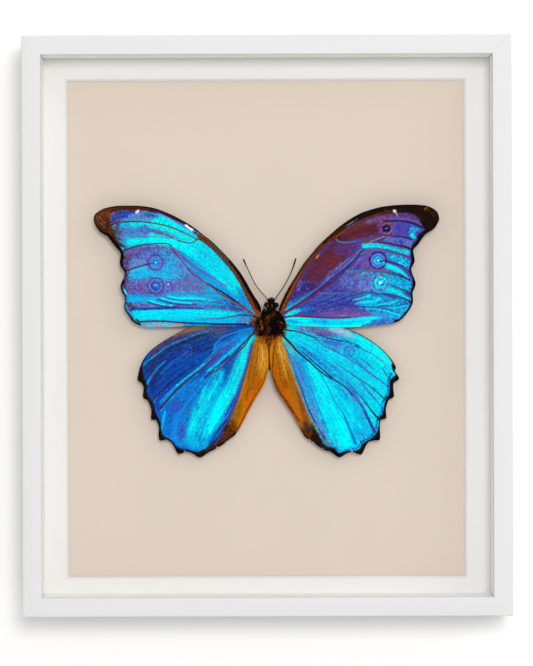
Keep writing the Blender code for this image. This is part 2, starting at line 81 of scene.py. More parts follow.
class Tint(Enum):
    """Named colours of the object, as 8-bit display values."""

    WHITE = (234, 233, 231)
    LACQUER = (223, 223, 224)
    CORE = (253, 253, 251)
    CARD = (220, 205, 191)
    BOARD = (132, 100, 68)
    STEEL = (170, 172, 174)
    CYAN = (0, 250, 248)
    AQUA = (0, 222, 240)
    SKY = (10, 180, 234)
    AZURE = (18, 140, 224)
    BLUE = (14, 92, 200)
    ROYAL = (24, 52, 166)
    DEEP = (8, 70, 164)
    NAVY = (10, 16, 84)
    INDIGO = (46, 28, 122)
    VIOLET = (76, 66, 168)
    LILAC = (104, 126, 200)
    MAUVE = (116, 84, 156)
    PURPLE = (92, 58, 148)
    PLUM = (84, 44, 94)
    WINE = (72, 20, 24)
    RUST = (134, 58, 8)
    RUSSET = (86, 36, 14)
    UMBER = (50, 26, 8)
    SOOT = (12, 8, 6)
    AMBER = (196, 114, 6)
    GOLD = (216, 152, 40)
    STRAW = (222, 170, 84)
    PEARL = (246, 242, 250)
    BONE = (226, 208, 178)
    ROSE = (196, 150, 170)
    TEAL = (66, 134, 160)
    SLATE = (96, 92, 112)
    GARNET = (84, 30, 44)
    MAROON = (112, 36, 26)
    COPPER = (178, 92, 84)
    PITCH = (24, 13, 6)
    GUNBLUE = (24, 50, 108)
    BRIGHT = (0, 160, 238)
    CARAMEL = (156, 104, 40)
    OCHRE = (168, 106, 8)
    TANGERINE = (206, 96, 4)
    OLIVE = (126, 84, 10)
    BROWN = (118, 58, 4)
    MIST = (152, 198, 216)
    HAZE = (58, 156, 216)
    STEEL_BLUE = (70, 100, 170)

    def display(self) -> np.ndarray:
        """Return the colour as display values from 0 to 1."""
        return np.array(self.value, dtype=float) / 255.0

    def linear(self) -> Color:
        """Return the colour as linear light with full alpha."""
        red, green, blue = to_linear(self.display())
        return (float(red), float(green), float(blue), 1.0)


def to_linear(display: np.ndarray) -> np.ndarray:
    """Turn display values into linear light."""
    return np.where(display <= 0.04045, display / 12.92, ((display + 0.055) / 1.055) ** 2.4)


# Shader graphs.


class Value:
    """A shader socket; sums, products and comparisons of it add Math nodes."""

    def __init__(self, graph: "Graph", socket: bpy.types.NodeSocket) -> None:
        """Keep the graph and the socket."""
        self.graph = graph
        self.socket = socket

    def math(self, operation: str, *others: Union["Value", float]) -> "Value":
        """Add a Math node with this value first.

        Args:
            operation: the Math node's operation.
            others: its further inputs.

        Returns:
            The node's result.
        """
        inputs = dict(enumerate((self, *others)))
        return self.graph.node("ShaderNodeMath", {"operation": operation}, inputs)

    def __add__(self, other: Union["Value", float]) -> "Value":
        """Return self + other."""
        return self.math("ADD", other)

    def __sub__(self, other: Union["Value", float]) -> "Value":
        """Return self - other."""
        return self.math("SUBTRACT", other)

    def __rsub__(self, other: float) -> "Value":
        """Return other - self."""
        return (self * -1.0) + other

    def __mul__(self, other: Union["Value", float]) -> "Value":
        """Return self * other."""
        return self.math("MULTIPLY", other)

    def ramp(self, low: float, high: float) -> "Value":
        """Return 0 at low, 1 at high and a smooth rise between them."""
        settings = {"interpolation_type": "SMOOTHSTEP"}
        return self.graph.node("ShaderNodeMapRange", settings, {0: self, 1: low, 2: high})


class Graph:
    """The node graph of one material."""

    def __init__(self, name: str) -> None:
        """Make a new material with an empty graph.

        Args:
            name: the material's name.
        """
        self.material = bpy.data.materials.new(name)
        self.material.use_nodes = True
        self.nodes = self.material.node_tree.nodes
        self.links = self.material.node_tree.links
        self.nodes.clear()

    def node(self, kind: str, settings: dict, inputs: dict, output: Union[int, str] = 0) -> Value:
        """Add a node.

        Args:
            kind: the node's type.
            settings: its properties, set before its sockets.
            inputs: numbers, colours or values by socket name or index.
            output: the socket to return.

        Returns:
            The chosen output.
        """
        node = self.nodes.new(kind)
        for key, setting in settings.items():
            setattr(node, key, setting)
        for key, given in inputs.items():
            if isinstance(given, Value):
                self.links.new(given.socket, node.inputs[key])
            else:
                node.inputs[key].default_value = given
        return Value(self, node.outputs[output])

    def place(self) -> Value:
        """Return Object coordinates."""
        return self.node("ShaderNodeTexCoord", {}, {}, "Object")

    def stretched(self, source: Value, scale: Triple) -> Value:
        """Return coordinates scaled by a Mapping node."""
        return self.node("ShaderNodeMapping", {}, {"Vector": source, "Scale": scale})

    def noise(self, source: Value, scale: float, detail: float, rough: float = 0.5) -> Value:
        """Return a noise pattern from 0 to 1."""
        inputs = {"Vector": source, "Scale": scale, "Detail": detail, "Roughness": rough}
        return self.node("ShaderNodeTexNoise", {}, inputs, "Fac")

    def attribute(self, name: str, output: str) -> Value:
        """Return an attribute that the piece's own mesh carries."""
        settings = {"attribute_type": "GEOMETRY", "attribute_name": name}
        return self.node("ShaderNodeAttribute", settings, {}, output)

    def mix(self, share: Value, first: Union[Value, Color], second: Union[Value, Color]) -> Value:
        """Return a colour between two colours."""
        settings = {"data_type": "RGBA", "clamp_factor": True}
        return self.node("ShaderNodeMix", settings, {0: share, 6: first, 7: second}, 2)

    def shade(self, color: Union[Value, Color], amount: Value) -> Value:
        """Return a colour, given or linked, multiplied by a number."""
        given = color if isinstance(color, Value) else color[:3]
        return self.node("ShaderNodeVectorMath", {"operation": "SCALE"}, {0: given, "Scale": amount})

    def filtered(self, color: Value, share: Triple) -> Value:
        """Return a colour with each channel multiplied by its own share."""
        return self.node("ShaderNodeVectorMath", {"operation": "MULTIPLY"}, {0: color, 1: share})

    def bump(self, height: Value, distance: float, strength: float) -> Value:
        """Return a normal bent by a height that is at most the distance, in metres."""
        inputs = {"Height": height, "Distance": distance, "Strength": strength}
        return self.node("ShaderNodeBump", {}, inputs, "Normal")

    def principled(self, inputs: dict) -> Value:
        """Return a Principled shader."""
        return self.node("ShaderNodeBsdfPrincipled", {}, inputs)

    def output(self, surface: Value) -> bpy.types.Material:
        """End the graph.

        Args:
            surface: the shader that the material shows.

        Returns:
            The material.
        """
        end = self.nodes.new("ShaderNodeOutputMaterial")
        self.links.new(surface.socket, end.inputs["Surface"])
        return self.material


# Finishes.


class Finish:
    """A surface finish, which each kind shades in its own way."""

    def material(self, name: str) -> bpy.types.Material:
        """Return a new material of this finish."""
        graph = Graph(name)
        return graph.output(self.surface(graph))

    def surface(self, graph: Graph) -> Value:
        """Build the finish's shader.

        Args:
            graph: the new material's empty graph.

        Returns:
            The shader.
        """
        raise NotImplementedError


@dataclass(frozen=True)
class Lacquer(Finish):
    """Satin white lacquer on wood, with a faint film texture."""

    tint: Tint = Tint.LACQUER
    roughness: float = 0.39
    cloud_scale: float = 18.0
    film_scale: float = 900.0
    film_depth: float = 0.00002

    def surface(self, graph: Graph) -> Value:
        """Shade faint clouds under a fine film.

        Args:
            graph: the new material's empty graph.

        Returns:
            The shader.
        """
        place = graph.place()
        cloud = graph.noise(place, self.cloud_scale, 3.0)
        film = graph.noise(place, self.film_scale, 2.0)
        return graph.principled({
            "Base Color": graph.shade(self.tint.linear(), cloud * 0.02 + 0.99),
            "Roughness": cloud * 0.06 + self.roughness,
            "Specular IOR Level": 0.4,
            "Normal": graph.bump(film, self.film_depth, 0.35),
        })


@dataclass(frozen=True)
class Paperboard(Finish):
    """Matt card: a coloured paper with faint fibres and broad mottling."""

    tint: Tint
    mottle: float = 0.02
    fibre_depth: float = 0.00003
    mottle_scale: float = 22.0
    fibre_scale: float = 1400.0

    def surface(self, graph: Graph) -> Value:
        """Shade mottled paper with its fibres.

        Args:
            graph: the new material's empty graph.

        Returns:
            The shader.
        """
        place = graph.place()
        broad = graph.noise(place, self.mottle_scale, 3.0, 0.6)
        fine = graph.noise(place, self.fibre_scale, 3.0, 0.6)
        level = (broad - 0.5) * self.mottle + (fine - 0.5) * self.mottle + 1.0
        return graph.principled({
            "Base Color": graph.shade(self.tint.linear(), level),
            "Roughness": 0.88,
            "Specular IOR Level": 0.25,
            "Normal": graph.bump(fine, self.fibre_depth, 0.5),
        })


@dataclass(frozen=True)
class PressedBoard(Finish):
    """Brown hardboard with pressed fibres."""

    tint: Tint = Tint.BOARD
    shadow: float = 0.62
    fibre_scale: float = 420.0
    fibre_depth: float = 0.0001
    stain_scale: float = 30.0

    def surface(self, graph: Graph) -> Value:
        """Shade flat fibres, dark between them, and broad stains.

        Args:
            graph: the new material's empty graph.

        Returns:
            The shader.
        """
        place = graph.place()
        fibre = graph.noise(graph.stretched(place, (1.0, 1.0, 3.5)), self.fibre_scale, 6.0, 0.7)
        stain = graph.noise(place, self.stain_scale, 4.0, 0.6)
        dark = tuple(channel * self.shadow for channel in self.tint.linear()[:3]) + (1.0,)
        color = graph.mix(fibre.ramp(0.35, 0.7), dark, self.tint.linear())
        return graph.principled({
            "Base Color": graph.shade(color, stain * 0.3 + 0.85),
            "Roughness": fibre * 0.2 + 0.65,
            "Specular IOR Level": 0.3,
            "Normal": graph.bump(fibre, self.fibre_depth, 0.5),
        })


@dataclass(frozen=True)
class PlatedSteel(Finish):
    """Zinc-plated steel sheet with fine rolling marks."""

    tint: Tint = Tint.STEEL
    line_scale: float = 600.0
    line_depth: float = 0.00001
    spangle_scale: float = 700.0

    def surface(self, graph: Graph) -> Value:
        """Shade rolling marks and a spangle of zinc.

        Args:
            graph: the new material's empty graph.

        Returns:
            The shader.
        """
        place = graph.place()
        lines = graph.noise(graph.stretched(place, (1.0, 1.0, 14.0)), self.line_scale, 3.0)
        spangle = graph.noise(place, self.spangle_scale, 2.0)
        return graph.principled({
            "Base Color": graph.shade(self.tint.linear(), spangle * 0.2 + 0.88),
            "Metallic": 1.0,
            "Roughness": lines * 0.22 + 0.26,
            "Normal": graph.bump(lines, self.line_depth, 0.4),
        })


@dataclass(frozen=True)
class PaneGlass(Finish):
    """Clear picture glass: light passes straight through, and the surface mirrors a little."""

    ior: float = 1.06
    roughness: float = 0.02
    tint: Color = (0.995, 0.996, 0.995, 1.0)

    def surface(self, graph: Graph) -> Value:
        """Mix a clear and a mirroring shader by the angle of view.

        Args:
            graph: the new material's empty graph.

        Returns:
            The shader.
        """
        through = graph.node("ShaderNodeBsdfTransparent", {}, {"Color": self.tint})
        mirror = graph.node("ShaderNodeBsdfGlossy", {}, {"Roughness": self.roughness})
        edge = graph.node("ShaderNodeFresnel", {}, {"IOR": self.ior})
        return graph.node("ShaderNodeMixShader", {}, {0: edge, 1: through, 2: mirror})


@dataclass(frozen=True)
class WingScales(Finish):
    """Wing scales: painted ground with speckles, and fine furrows that run out from the body."""

    specks: float = 0.85
    speck_edges: tuple[float, float] = (0.49, 0.57)
    dark_filter: Triple = (1.0, 0.4, 0.56)
    light_filter: Triple = (0.5, 1.7, 1.25)
    furrows: float = 0.6
    furrow_edges: tuple[float, float] = (0.50, 0.66)
    furrow_filter: Triple = (0.6, 0.58, 0.8)
    furrow_stretch: Triple = (5.0, 130.0, 1.0)
    dust_scale: float = 1500.0
    cluster_scale: float = 800.0
    relief_depth: float = 0.00006
    specular: float = 0.03

    def surface(self, graph: Graph) -> Value:
        """Speckle and furrow the painted ground.

        Args:
            graph: the new material's empty graph.

        Returns:
            The shader.
        """
        place = graph.place()
        unwrapped = graph.node("ShaderNodeUVMap", {"uv_map": WING_UV}, {})
        ground = graph.attribute(PAINT, "Color")
        grain = graph.attribute(GRAIN, "Fac")
        dust = graph.noise(place, self.dust_scale, 2.0, 0.7)
        cluster = graph.noise(place, self.cluster_scale, 2.0, 0.6)
        rows = graph.noise(graph.stretched(unwrapped, self.furrow_stretch), 1.0, 3.0, 0.7)
        speck = dust * 0.7 + cluster * 0.3
        dark = speck.ramp(*self.speck_edges) * grain * self.specks
        light = (1.0 - speck).ramp(*self.speck_edges) * grain * self.specks
        color = graph.mix(dark, ground, graph.filtered(ground, self.dark_filter))
        color = graph.mix(light, color, graph.filtered(ground, self.light_filter))
        furrow = rows.ramp(*self.furrow_edges) * self.furrows
        color = graph.mix(furrow, color, graph.filtered(color, self.furrow_filter))
        return graph.principled({
            "Base Color": graph.shade(color, (dust - 0.5) * 0.6 + 1.08),
            "Roughness": dust * 0.2 + 0.45,
            "Specular IOR Level": self.specular,
            "Normal": graph.bump(rows * 0.6 + dust * 0.4, self.relief_depth, 0.35),
        })


@dataclass(frozen=True)
class Chitin(Finish):
    """Hair, antennae and eyes: one dark colour with a slight change of tone."""

    tint: Tint
    roughness: float = 0.55
    specular: float = 0.25
    tone_scale: float = 500.0

    def surface(self, graph: Graph) -> Value:
        """Shade the colour with its change of tone.

        Args:
            graph: the new material's empty graph.

        Returns:
            The shader.
        """
        tone = graph.noise(graph.place(), self.tone_scale, 3.0)
        return graph.principled({
            "Base Color": graph.shade(self.tint.linear(), tone * 0.8 + 0.6),
            "Roughness": self.roughness,
            "Specular IOR Level": self.specular,
        })


@dataclass(frozen=True)
class BodySkin(Finish):
    """The trunk's skin: dark above, and brown from a height downwards."""

    upper: Tint = Tint.SOOT
    lower: Tint = Tint.BROWN
    change: tuple[float, float] = (-7.0, -4.0)
    tone_scale: float = 700.0

    def surface(self, graph: Graph) -> Value:
        """Shade the two colours with a soft change between them.

        Args:
            graph: the new material's empty graph.

        Returns:
            The shader.
        """
        place = graph.place()
        height = graph.node("ShaderNodeSeparateXYZ", {}, {"Vector": place}, "Z")
        low, high = (to_row(0.0, 0.0, z).z for z in self.change)
        color = graph.mix(height.ramp(low, high), self.lower.linear(), self.upper.linear())
        tone = graph.noise(place, self.tone_scale, 3.0)
        return graph.principled({
            "Base Color": graph.shade(color, tone * 0.8 + 0.6),
            "Roughness": 0.7,
            "Specular IOR Level": 0.05,
        })


@dataclass(frozen=True)
class VeinCord(Finish):
    """Wing veins: smooth cords whose colour runs from base to margin."""

    roughness: float = 0.4
    tone_scale: float = 1500.0

    def surface(self, graph: Graph) -> Value:
        """Shade the cord's own colours.

        Args:
            graph: the new material's empty graph.

        Returns:
            The shader.
        """
        tone = graph.noise(graph.place(), self.tone_scale, 2.0)
        return graph.principled({
            "Base Color": graph.shade(graph.attribute(PAINT, "Color"), tone * 0.3 + 0.85),
            "Roughness": self.roughness,
            "Specular IOR Level": 0.2,
        })


@dataclass(frozen=True)
class Backdrop(Finish):
    """Plain wall or floor; the wall lets views from behind it pass through."""

    tint: Color
    one_sided: bool = False

    def surface(self, graph: Graph) -> Value:
        """Shade one matt colour, clear from behind where it has one side only.

        Args:
            graph: the new material's empty graph.

        Returns:
            The shader.
        """
        matt = graph.node("ShaderNodeBsdfDiffuse", {}, {"Color": self.tint})
        if not self.one_sided:
            return matt
        behind = graph.node("ShaderNodeNewGeometry", {}, {}, "Backfacing")
        clear = graph.node("ShaderNodeBsdfTransparent", {}, {})
        return graph.node("ShaderNodeMixShader", {}, {0: behind, 1: matt, 2: clear})


# Pieces.


def to_metres(bm: bmesh.types.BMesh) -> None:
    """Move a mesh from millimetres round the frame's middle into the row frame."""
    bmesh.ops.scale(bm, verts=bm.verts, vec=(MM, MM, MM))
    bmesh.ops.translate(bm, verts=bm.verts, vec=to_row(0.0, 0.0, 0.0))


def made_verts(result: dict) -> list[bmesh.types.BMVert]:
    """Return the vertices among what a bmesh operator has made."""
    return [item for item in result["geom"] if isinstance(item, bmesh.types.BMVert)]


def add_piece(name: str, bm: bmesh.types.BMesh, material: bpy.types.Material,
              replaced: Sequence[str] = (), smooth: float = 80.0) -> bpy.types.Object:
    """Make a bmesh, already in row-frame metres, a piece that rides on the frame.

    Args:
        name: the piece's name.
        bm: its mesh, which is freed.
        material: its material.
        replaced: CAD nodes it stands for.
        smooth: edges sharper than this many degrees stay sharp.

    Returns:
        The new object.
    """
    mesh = bpy.data.meshes.new(name)
    bm.to_mesh(mesh)
    bm.free()
    mesh.shade_smooth()
    mesh.set_sharp_from_angle(angle=math.radians(smooth))
    mesh.materials.append(material)
    piece = bpy.data.objects.new(name, mesh)
    bpy.context.scene.collection.objects.link(piece)
    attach(piece, "root")
    if replaced:
        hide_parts(*replaced)
    LOG.info("%s: %d faces", name, len(mesh.polygons))
    return piece


def dress_node(name: str, material: bpy.types.Material) -> None:
    """Give a CAD node that stays a new material.

    Args:
        name: the node's name.
        material: its material.
    """
    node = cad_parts[name]
    node.data.materials.clear()
    node.data.materials.append(material)
    LOG.info("%s: dressed", name)


# Frame.


@dataclass
class Moulding:
    """The four mitred rails of the box frame."""

    half_width: float = 105.0
    half_height: float = 124.5
    depth: float = 30.0
    face: float = 8.1
    wall: float = 4.6
    lip: float = 3.0
    groove_depth: float = 2.0
    groove_front: float = 3.3
    groove_rear: float = 2.2
    round_over: float = 0.35
    round_steps: int = 4
    mitre_gap: float = 0.01
    finish: Lacquer = field(default_factory=Lacquer)

    def profile(self) -> list[tuple[float, float]]:
        """Return the moulding's outline as (distance inwards, y)."""
        bottom = self.wall - self.groove_depth
        return [
            (0.0, 0.0), (self.wall, 0.0), (self.wall, -self.groove_rear), (bottom, -self.groove_rear),
            (bottom, -self.groove_front), (self.wall, -self.groove_front),
            (self.wall, self.lip - self.depth), (self.face, self.lip - self.depth),
            (self.face, -self.depth), (0.0, -self.depth),
        ]

    def build_rail(self, half_offset: float, half_length: float, turn: float) -> bmesh.types.BMesh:
        """Extrude the profile along one side, slant its ends and round its front edges.

        Args:
            half_offset: from the middle to the rail's outer side.
            half_length: half of the rail's outer length.
            turn: the angle from the bottom rail, round the frame's middle.

        Returns:
            The rail's mesh.
        """
        bm = bmesh.new()
        corners = [bm.verts.new((-half_length, y, inward - half_offset)) for inward, y in self.profile()]
        start = bm.faces.new(corners)
        moved = made_verts(bmesh.ops.extrude_face_region(bm, geom=[start]))
        bmesh.ops.translate(bm, verts=moved, vec=(2.0 * half_length, 0.0, 0.0))
        for vert in bm.verts:
            inward = vert.co.z + half_offset
            vert.co.x -= math.copysign(inward + self.mitre_gap, vert.co.x)
        bmesh.ops.recalc_face_normals(bm, faces=bm.faces)
        edges = [edge for edge in bm.edges
                 if all(abs(vert.co.y + self.depth) < TINY for vert in edge.verts)
                 and edge.verts[0].co.x * edge.verts[1].co.x < 0.0]
        bmesh.ops.bevel(bm, geom=edges, offset=self.round_over, affect="EDGES",
                        segments=self.round_steps, profile=0.5, material=-1, clamp_overlap=True)
        bmesh.ops.rotate(bm, verts=bm.verts, matrix=Matrix.Rotation(turn, 3, "Y"))
        return bm

    def build(self) -> None:
        """Build and dress the four rails."""
        material = self.finish.material("white_lacquer_finish")
        quarter = math.pi / 2.0
        sides = (("bottom", self.half_height, self.half_width, 0.0),
                 ("left", self.half_width, self.half_height, quarter),
                 ("top", self.half_height, self.half_width, 2.0 * quarter),
                 ("right", self.half_width, self.half_height, -quarter))
        for side, half_offset, half_length, turn in sides:
            bm = self.build_rail(half_offset, half_length, turn)
            to_metres(bm)
            add_piece(f"{side}_rail", bm, material, [f"rail_{side}"],
                      smooth=30.0)


@dataclass
class WindowMat:
    """The white mat and its window with a bevel-cut edge."""

    half_width: float = 100.1
    half_height: float = 119.6
    front: float = -11.1
    rear: float = -9.9
    window: tuple[float, float, float, float] = (-86.8, 85.9, -109.1, 106.8)
    bevel: float = 0.9
    first_inset: float = 10.0
    least_border: float = 1.0
    finish: Paperboard = field(default_factory=lambda: Paperboard(Tint.WHITE))

    def build(self) -> None:
        """Inset a rectangle, fit the hole to the window, and extrude it backwards at a slant."""
        left, right, bottom, top = self.window
        middle = Vector(((left + right) / 2.0, self.front, (bottom + top) / 2.0))
        bm = bmesh.new()
        corners = [(-1.0, -1.0), (1.0, -1.0), (1.0, 1.0), (-1.0, 1.0)]
        sheet = bm.faces.new([
            bm.verts.new((x * self.half_width, self.front, z * self.half_height)) for x, z in corners])
        bmesh.ops.inset_region(bm, faces=[sheet], thickness=self.first_inset, use_boundary=True)
        for vert in sheet.verts:
            side = (math.copysign(1.0, vert.co.x), math.copysign(1.0, vert.co.z))
            vert.co.x = middle.x + side[0] * ((right - left) / 2.0 + self.bevel)
            vert.co.z = middle.z + side[1] * ((top - bottom) / 2.0 + self.bevel)
        bmesh.ops.delete(bm, geom=[sheet], context="FACES_ONLY")
        copy = bmesh.ops.extrude_edge_only(bm, edges=[edge for edge in bm.edges if edge.is_boundary])
        for vert in made_verts(copy):
            vert.co.y = self.rear
            if abs(vert.co.x) < self.half_width - self.least_border:
                vert.co.x -= math.copysign(self.bevel, vert.co.x - middle.x)
                vert.co.z -= math.copysign(self.bevel, vert.co.z - middle.z)
        bmesh.ops.bridge_loops(bm, edges=[edge for edge in bm.edges if edge.is_boundary])
        bmesh.ops.recalc_face_normals(bm, faces=bm.faces)
        to_metres(bm)
        add_piece("window_mat", bm, self.finish.material("mat_finish"), ["mat"],
                  smooth=20.0)


@dataclass
class Pane:
    """The glass pane, with softly ground edges."""

    half_width: float = 100.1
    half_height: float = 119.6
    front: float = -26.7
    thickness: float = 2.0
    ground_edge: float = 0.25
    finish: PaneGlass = field(default_factory=PaneGlass)

    def build(self) -> None:
        """Stretch a cube to the pane, grind its edges and dress it."""
        bm = bmesh.new()
        bmesh.ops.create_cube(bm, size=2.0)
        size = (self.half_width, self.thickness / 2.0, self.half_height)
        bmesh.ops.scale(bm, verts=bm.verts, vec=size)
        bmesh.ops.translate(bm, verts=bm.verts, vec=(0.0, self.front + size[1], 0.0))
        bmesh.ops.bevel(bm, geom=bm.edges[:], offset=self.ground_edge, affect="EDGES", segments=1,
                        profile=0.5, material=-1)
        to_metres(bm)
        add_piece("glass_pane", bm, self.finish.material("glass_finish"), ["glass"],
                  smooth=10.0)


@dataclass
class Backing:
    """The spacers, the card, the back board and the steel behind it, which keep their CAD shape."""

    spacer: Paperboard = field(default_factory=lambda: Paperboard(Tint.CORE, 0.01))
    card: Paperboard = field(default_factory=lambda: Paperboard(Tint.CARD, 0.05, 0.00005))
    pad: Paperboard = field(default_factory=lambda: Paperboard(Tint.BONE))
    board: PressedBoard = field(default_factory=PressedBoard)
    steel: PlatedSteel = field(default_factory=PlatedSteel)

    def build(self) -> None:
        """Dress every node of the backing."""
        foam = self.spacer.material("spacer_finish")
        metal = self.steel.material("steel_finish")
        for side in ("top", "bottom", "left", "right"):
            dress_node(f"spacer_{side}", foam)
            for number in (1, 2):
                dress_node(f"tab_{side}_{number}", metal)
        for name in ("hanger", "rivet_left", "rivet_right"):
            dress_node(name, metal)
        dress_node("mount_card", self.card.material("card_finish"))
        dress_node("mounting_pad", self.pad.material("pad_finish"))
        dress_node("back_board", self.board.material("board_finish"))


# Painting the wings. Marks name places by the photograph's pixels, counted from its top left corner.


@dataclass(frozen=True)
class PhotoPlane:
    """Turns pixels into millimetres on the plane of the wings and back."""

    scale: float
    middle: tuple[float, float]

    def place(self, pixels: Points) -> np.ndarray:
        """Return x and z, one row for each pixel."""
        flat = np.array(pixels, dtype=float)
        return np.stack([flat[:, 0] - self.middle[0], self.middle[1] - flat[:, 1]], axis=1) * self.scale

    def pixels(self, places: np.ndarray) -> np.ndarray:
        """Return pixels, one row for each x and z."""
        flat = places / self.scale
        return np.stack([self.middle[0] + flat[:, 0], self.middle[1] - flat[:, 1]], axis=1)


# Outlines count from the middle of the photograph's first pixel, and marks from its corner.
MM_PER_PIXEL = 0.4344
OUTLINE_PLANE = PhotoPlane(MM_PER_PIXEL, (266.6, 325.25))
MARK_PLANE = PhotoPlane(MM_PER_PIXEL, (267.1, 325.75))
SCALE_SIZE = 1.15


def smooth_line(points: Points, steps: int = 5) -> np.ndarray:
    """Run a smooth line through points.

    Args:
        points: the places to pass through.
        steps: pieces between two of them.

    Returns:
        The line's places, one row each.
    """
    known = np.array(points, dtype=float)
    padded = np.concatenate([known[:1], known, known[-1:]])
    rows = []
    for i in range(1, len(padded) - 2):
        before, here, there, after = padded[i - 1:i + 3]
        for share in np.arange(steps) / steps:
            rows.append(0.5 * (2.0 * here + (there - before) * share
                               + (2.0 * before - 5.0 * here + 4.0 * there - after) * share ** 2
                               + (3.0 * here - before - 3.0 * there + after) * share ** 3))
    rows.append(known[-1])
    return np.array(rows)


def nearest(line: np.ndarray, x: np.ndarray, y: np.ndarray) -> tuple[np.ndarray, np.ndarray]:
    """Measure how far points are from a line.

    Args:
        line: the line's places.
        x: the points' first coordinates.
        y: their second coordinates.

    Returns:
        The distances, and the share of the line's length at each nearest place.
    """
    steps = np.diff(line, axis=0)
    lengths = np.maximum(np.hypot(steps[:, 0], steps[:, 1]), 1e-9)
    starts = np.concatenate([[0.0], np.cumsum(lengths)])
    best = np.full(x.shape, np.inf)
    share = np.zeros(x.shape)
    for begin, step, length, done in zip(line, steps, lengths, starts):
        t = np.clip(((x - begin[0]) * step[0] + (y - begin[1]) * step[1]) / length ** 2, 0.0, 1.0)
        gap = np.hypot(x - begin[0] - step[0] * t, y - begin[1] - step[1] * t)
        closer = gap < best
        best = np.where(closer, gap, best)
        share = np.where(closer, (done + t * length) / starts[-1], share)
    return best, share


class Dust:
    """Fine random speckles over the photograph's plane, drawn once and read anywhere."""

    SHIFT = (37.0, 53.0)
    CONTRAST = 1.5

    def __init__(self, size: int = 257, seed: int = 11) -> None:
        """Draw the speckles on a square lattice."""
        self.size = size
        self.cells = np.random.default_rng(seed).random((size, size))

    def at(self, x: np.ndarray, y: np.ndarray, step: float, shift: int) -> np.ndarray:
        """Read the speckles.

        Args:
            x: pixels across.
            y: pixels down.
            step: the speckles' size, in pixels.
            shift: moves the pattern, so that two marks don't share it.

        Returns:
            A number from 0 to 1 for each point.
        """
        u, v = x / step + self.SHIFT[0] * shift, y / step + self.SHIFT[1] * shift
        column, row = np.floor(u).astype(int), np.floor(v).astype(int)
        right, down = ease(0.0, 1.0, u - column), ease(0.0, 1.0, v - row)
        corner = [[self.cells[(row + j) % self.size, (column + i) % self.size] for i in (0, 1)]
                  for j in (0, 1)]
        upper = corner[0][0] + (corner[0][1] - corner[0][0]) * right
        lower = corner[1][0] + (corner[1][1] - corner[1][0]) * right
        return np.clip((upper + (lower - upper) * down - 0.5) * self.CONTRAST + 0.5, 0.0, 1.0)


DUST = Dust()


class Canvas:
    """The colours of a wing's points, painted mark by mark in display values."""

    DUST_SPAN = (0.05, 0.9)
    DUST_EDGE = 0.25

    def __init__(self, places: np.ndarray, ground: Tint, grain: float) -> None:
        """Start with one colour all over.

        Args:
            places: x and z of each point, in millimetres.
            ground: the first colour.
            grain: how strongly speckles show.
        """
        pixels = MARK_PLANE.pixels(places)
        self.x, self.y = pixels[:, 0], pixels[:, 1]
        self.color = np.tile(ground.display(), (len(pixels), 1))
        self.grain = np.full(len(pixels), grain)
        self.marks = 0

    def near(self, line: np.ndarray, reach: float) -> np.ndarray:
        """Find the points that lie within reach of a line's box.

        Args:
            line: the line's places.
            reach: how far outside its box points count, in pixels.

        Returns:
            The points' numbers.
        """
        low, high = line.min(axis=0) - reach, line.max(axis=0) + reach
        return np.flatnonzero((self.x > low[0]) & (self.x < high[0])
                              & (self.y > low[1]) & (self.y < high[1]))

    def lay(self, chosen: np.ndarray, cover: np.ndarray, color: np.ndarray, grain: float,
            dusting: float) -> None:
        """Cover chosen points with a colour.

        Args:
            chosen: the points' numbers.
            cover: how much of each point is covered.
            color: one colour, or a row for each point.
            grain: the grain that the colour brings.
            dusting: how far a half cover breaks up into single scales.
        """
        self.marks += 1
        dust = DUST.at(self.x[chosen], self.y[chosen], SCALE_SIZE, self.marks)
        start, span = self.DUST_SPAN
        broken = ease(-self.DUST_EDGE, self.DUST_EDGE, cover - dust * span - start)
        cover = cover + (broken - cover) * dusting
        self.color[chosen] += (color - self.color[chosen]) * cover[:, None]
        self.grain[chosen] += (grain - self.grain[chosen]) * cover

    def attributes(self) -> tuple[np.ndarray, np.ndarray]:
        """Return linear colours with alpha, and the grain."""
        alpha = np.ones((len(self.color), 1))
        return np.concatenate([to_linear(np.clip(self.color, 0.0, 1.0)), alpha], axis=1), self.grain


@dataclass(frozen=True)
class Patch:
    """A filled area with soft edges."""

    tint: Tint
    points: Points
    soft: float = 1.5
    strength: float = 1.0
    grain: float = 0.2
    dusting: tuple[float, float] = (0.2, 0.6)

    def paint(self, canvas: Canvas) -> None:
        """Lay the area on the canvas.

        Args:
            canvas: the wing's canvas.
        """
        line = smooth_line([*self.points, self.points[0]], 4)
        chosen = canvas.near(line, self.soft)
        x, y = canvas.x[chosen], canvas.y[chosen]
        inside = np.zeros(x.shape, dtype=bool)
        for (x0, y0), (x1, y1) in zip(line[:-1], line[1:]):
            if y0 != y1:
                inside ^= ((y0 > y) != (y1 > y)) & (x < (x1 - x0) * (y - y0) / (y1 - y0) + x0)
        gap, _ = nearest(line, x, y)
        cover = ease(-self.soft, self.soft, np.where(inside, gap, -gap)) * self.strength
        least, more = self.dusting
        canvas.lay(chosen, cover, self.tint.display(), self.grain, least + more * self.grain)


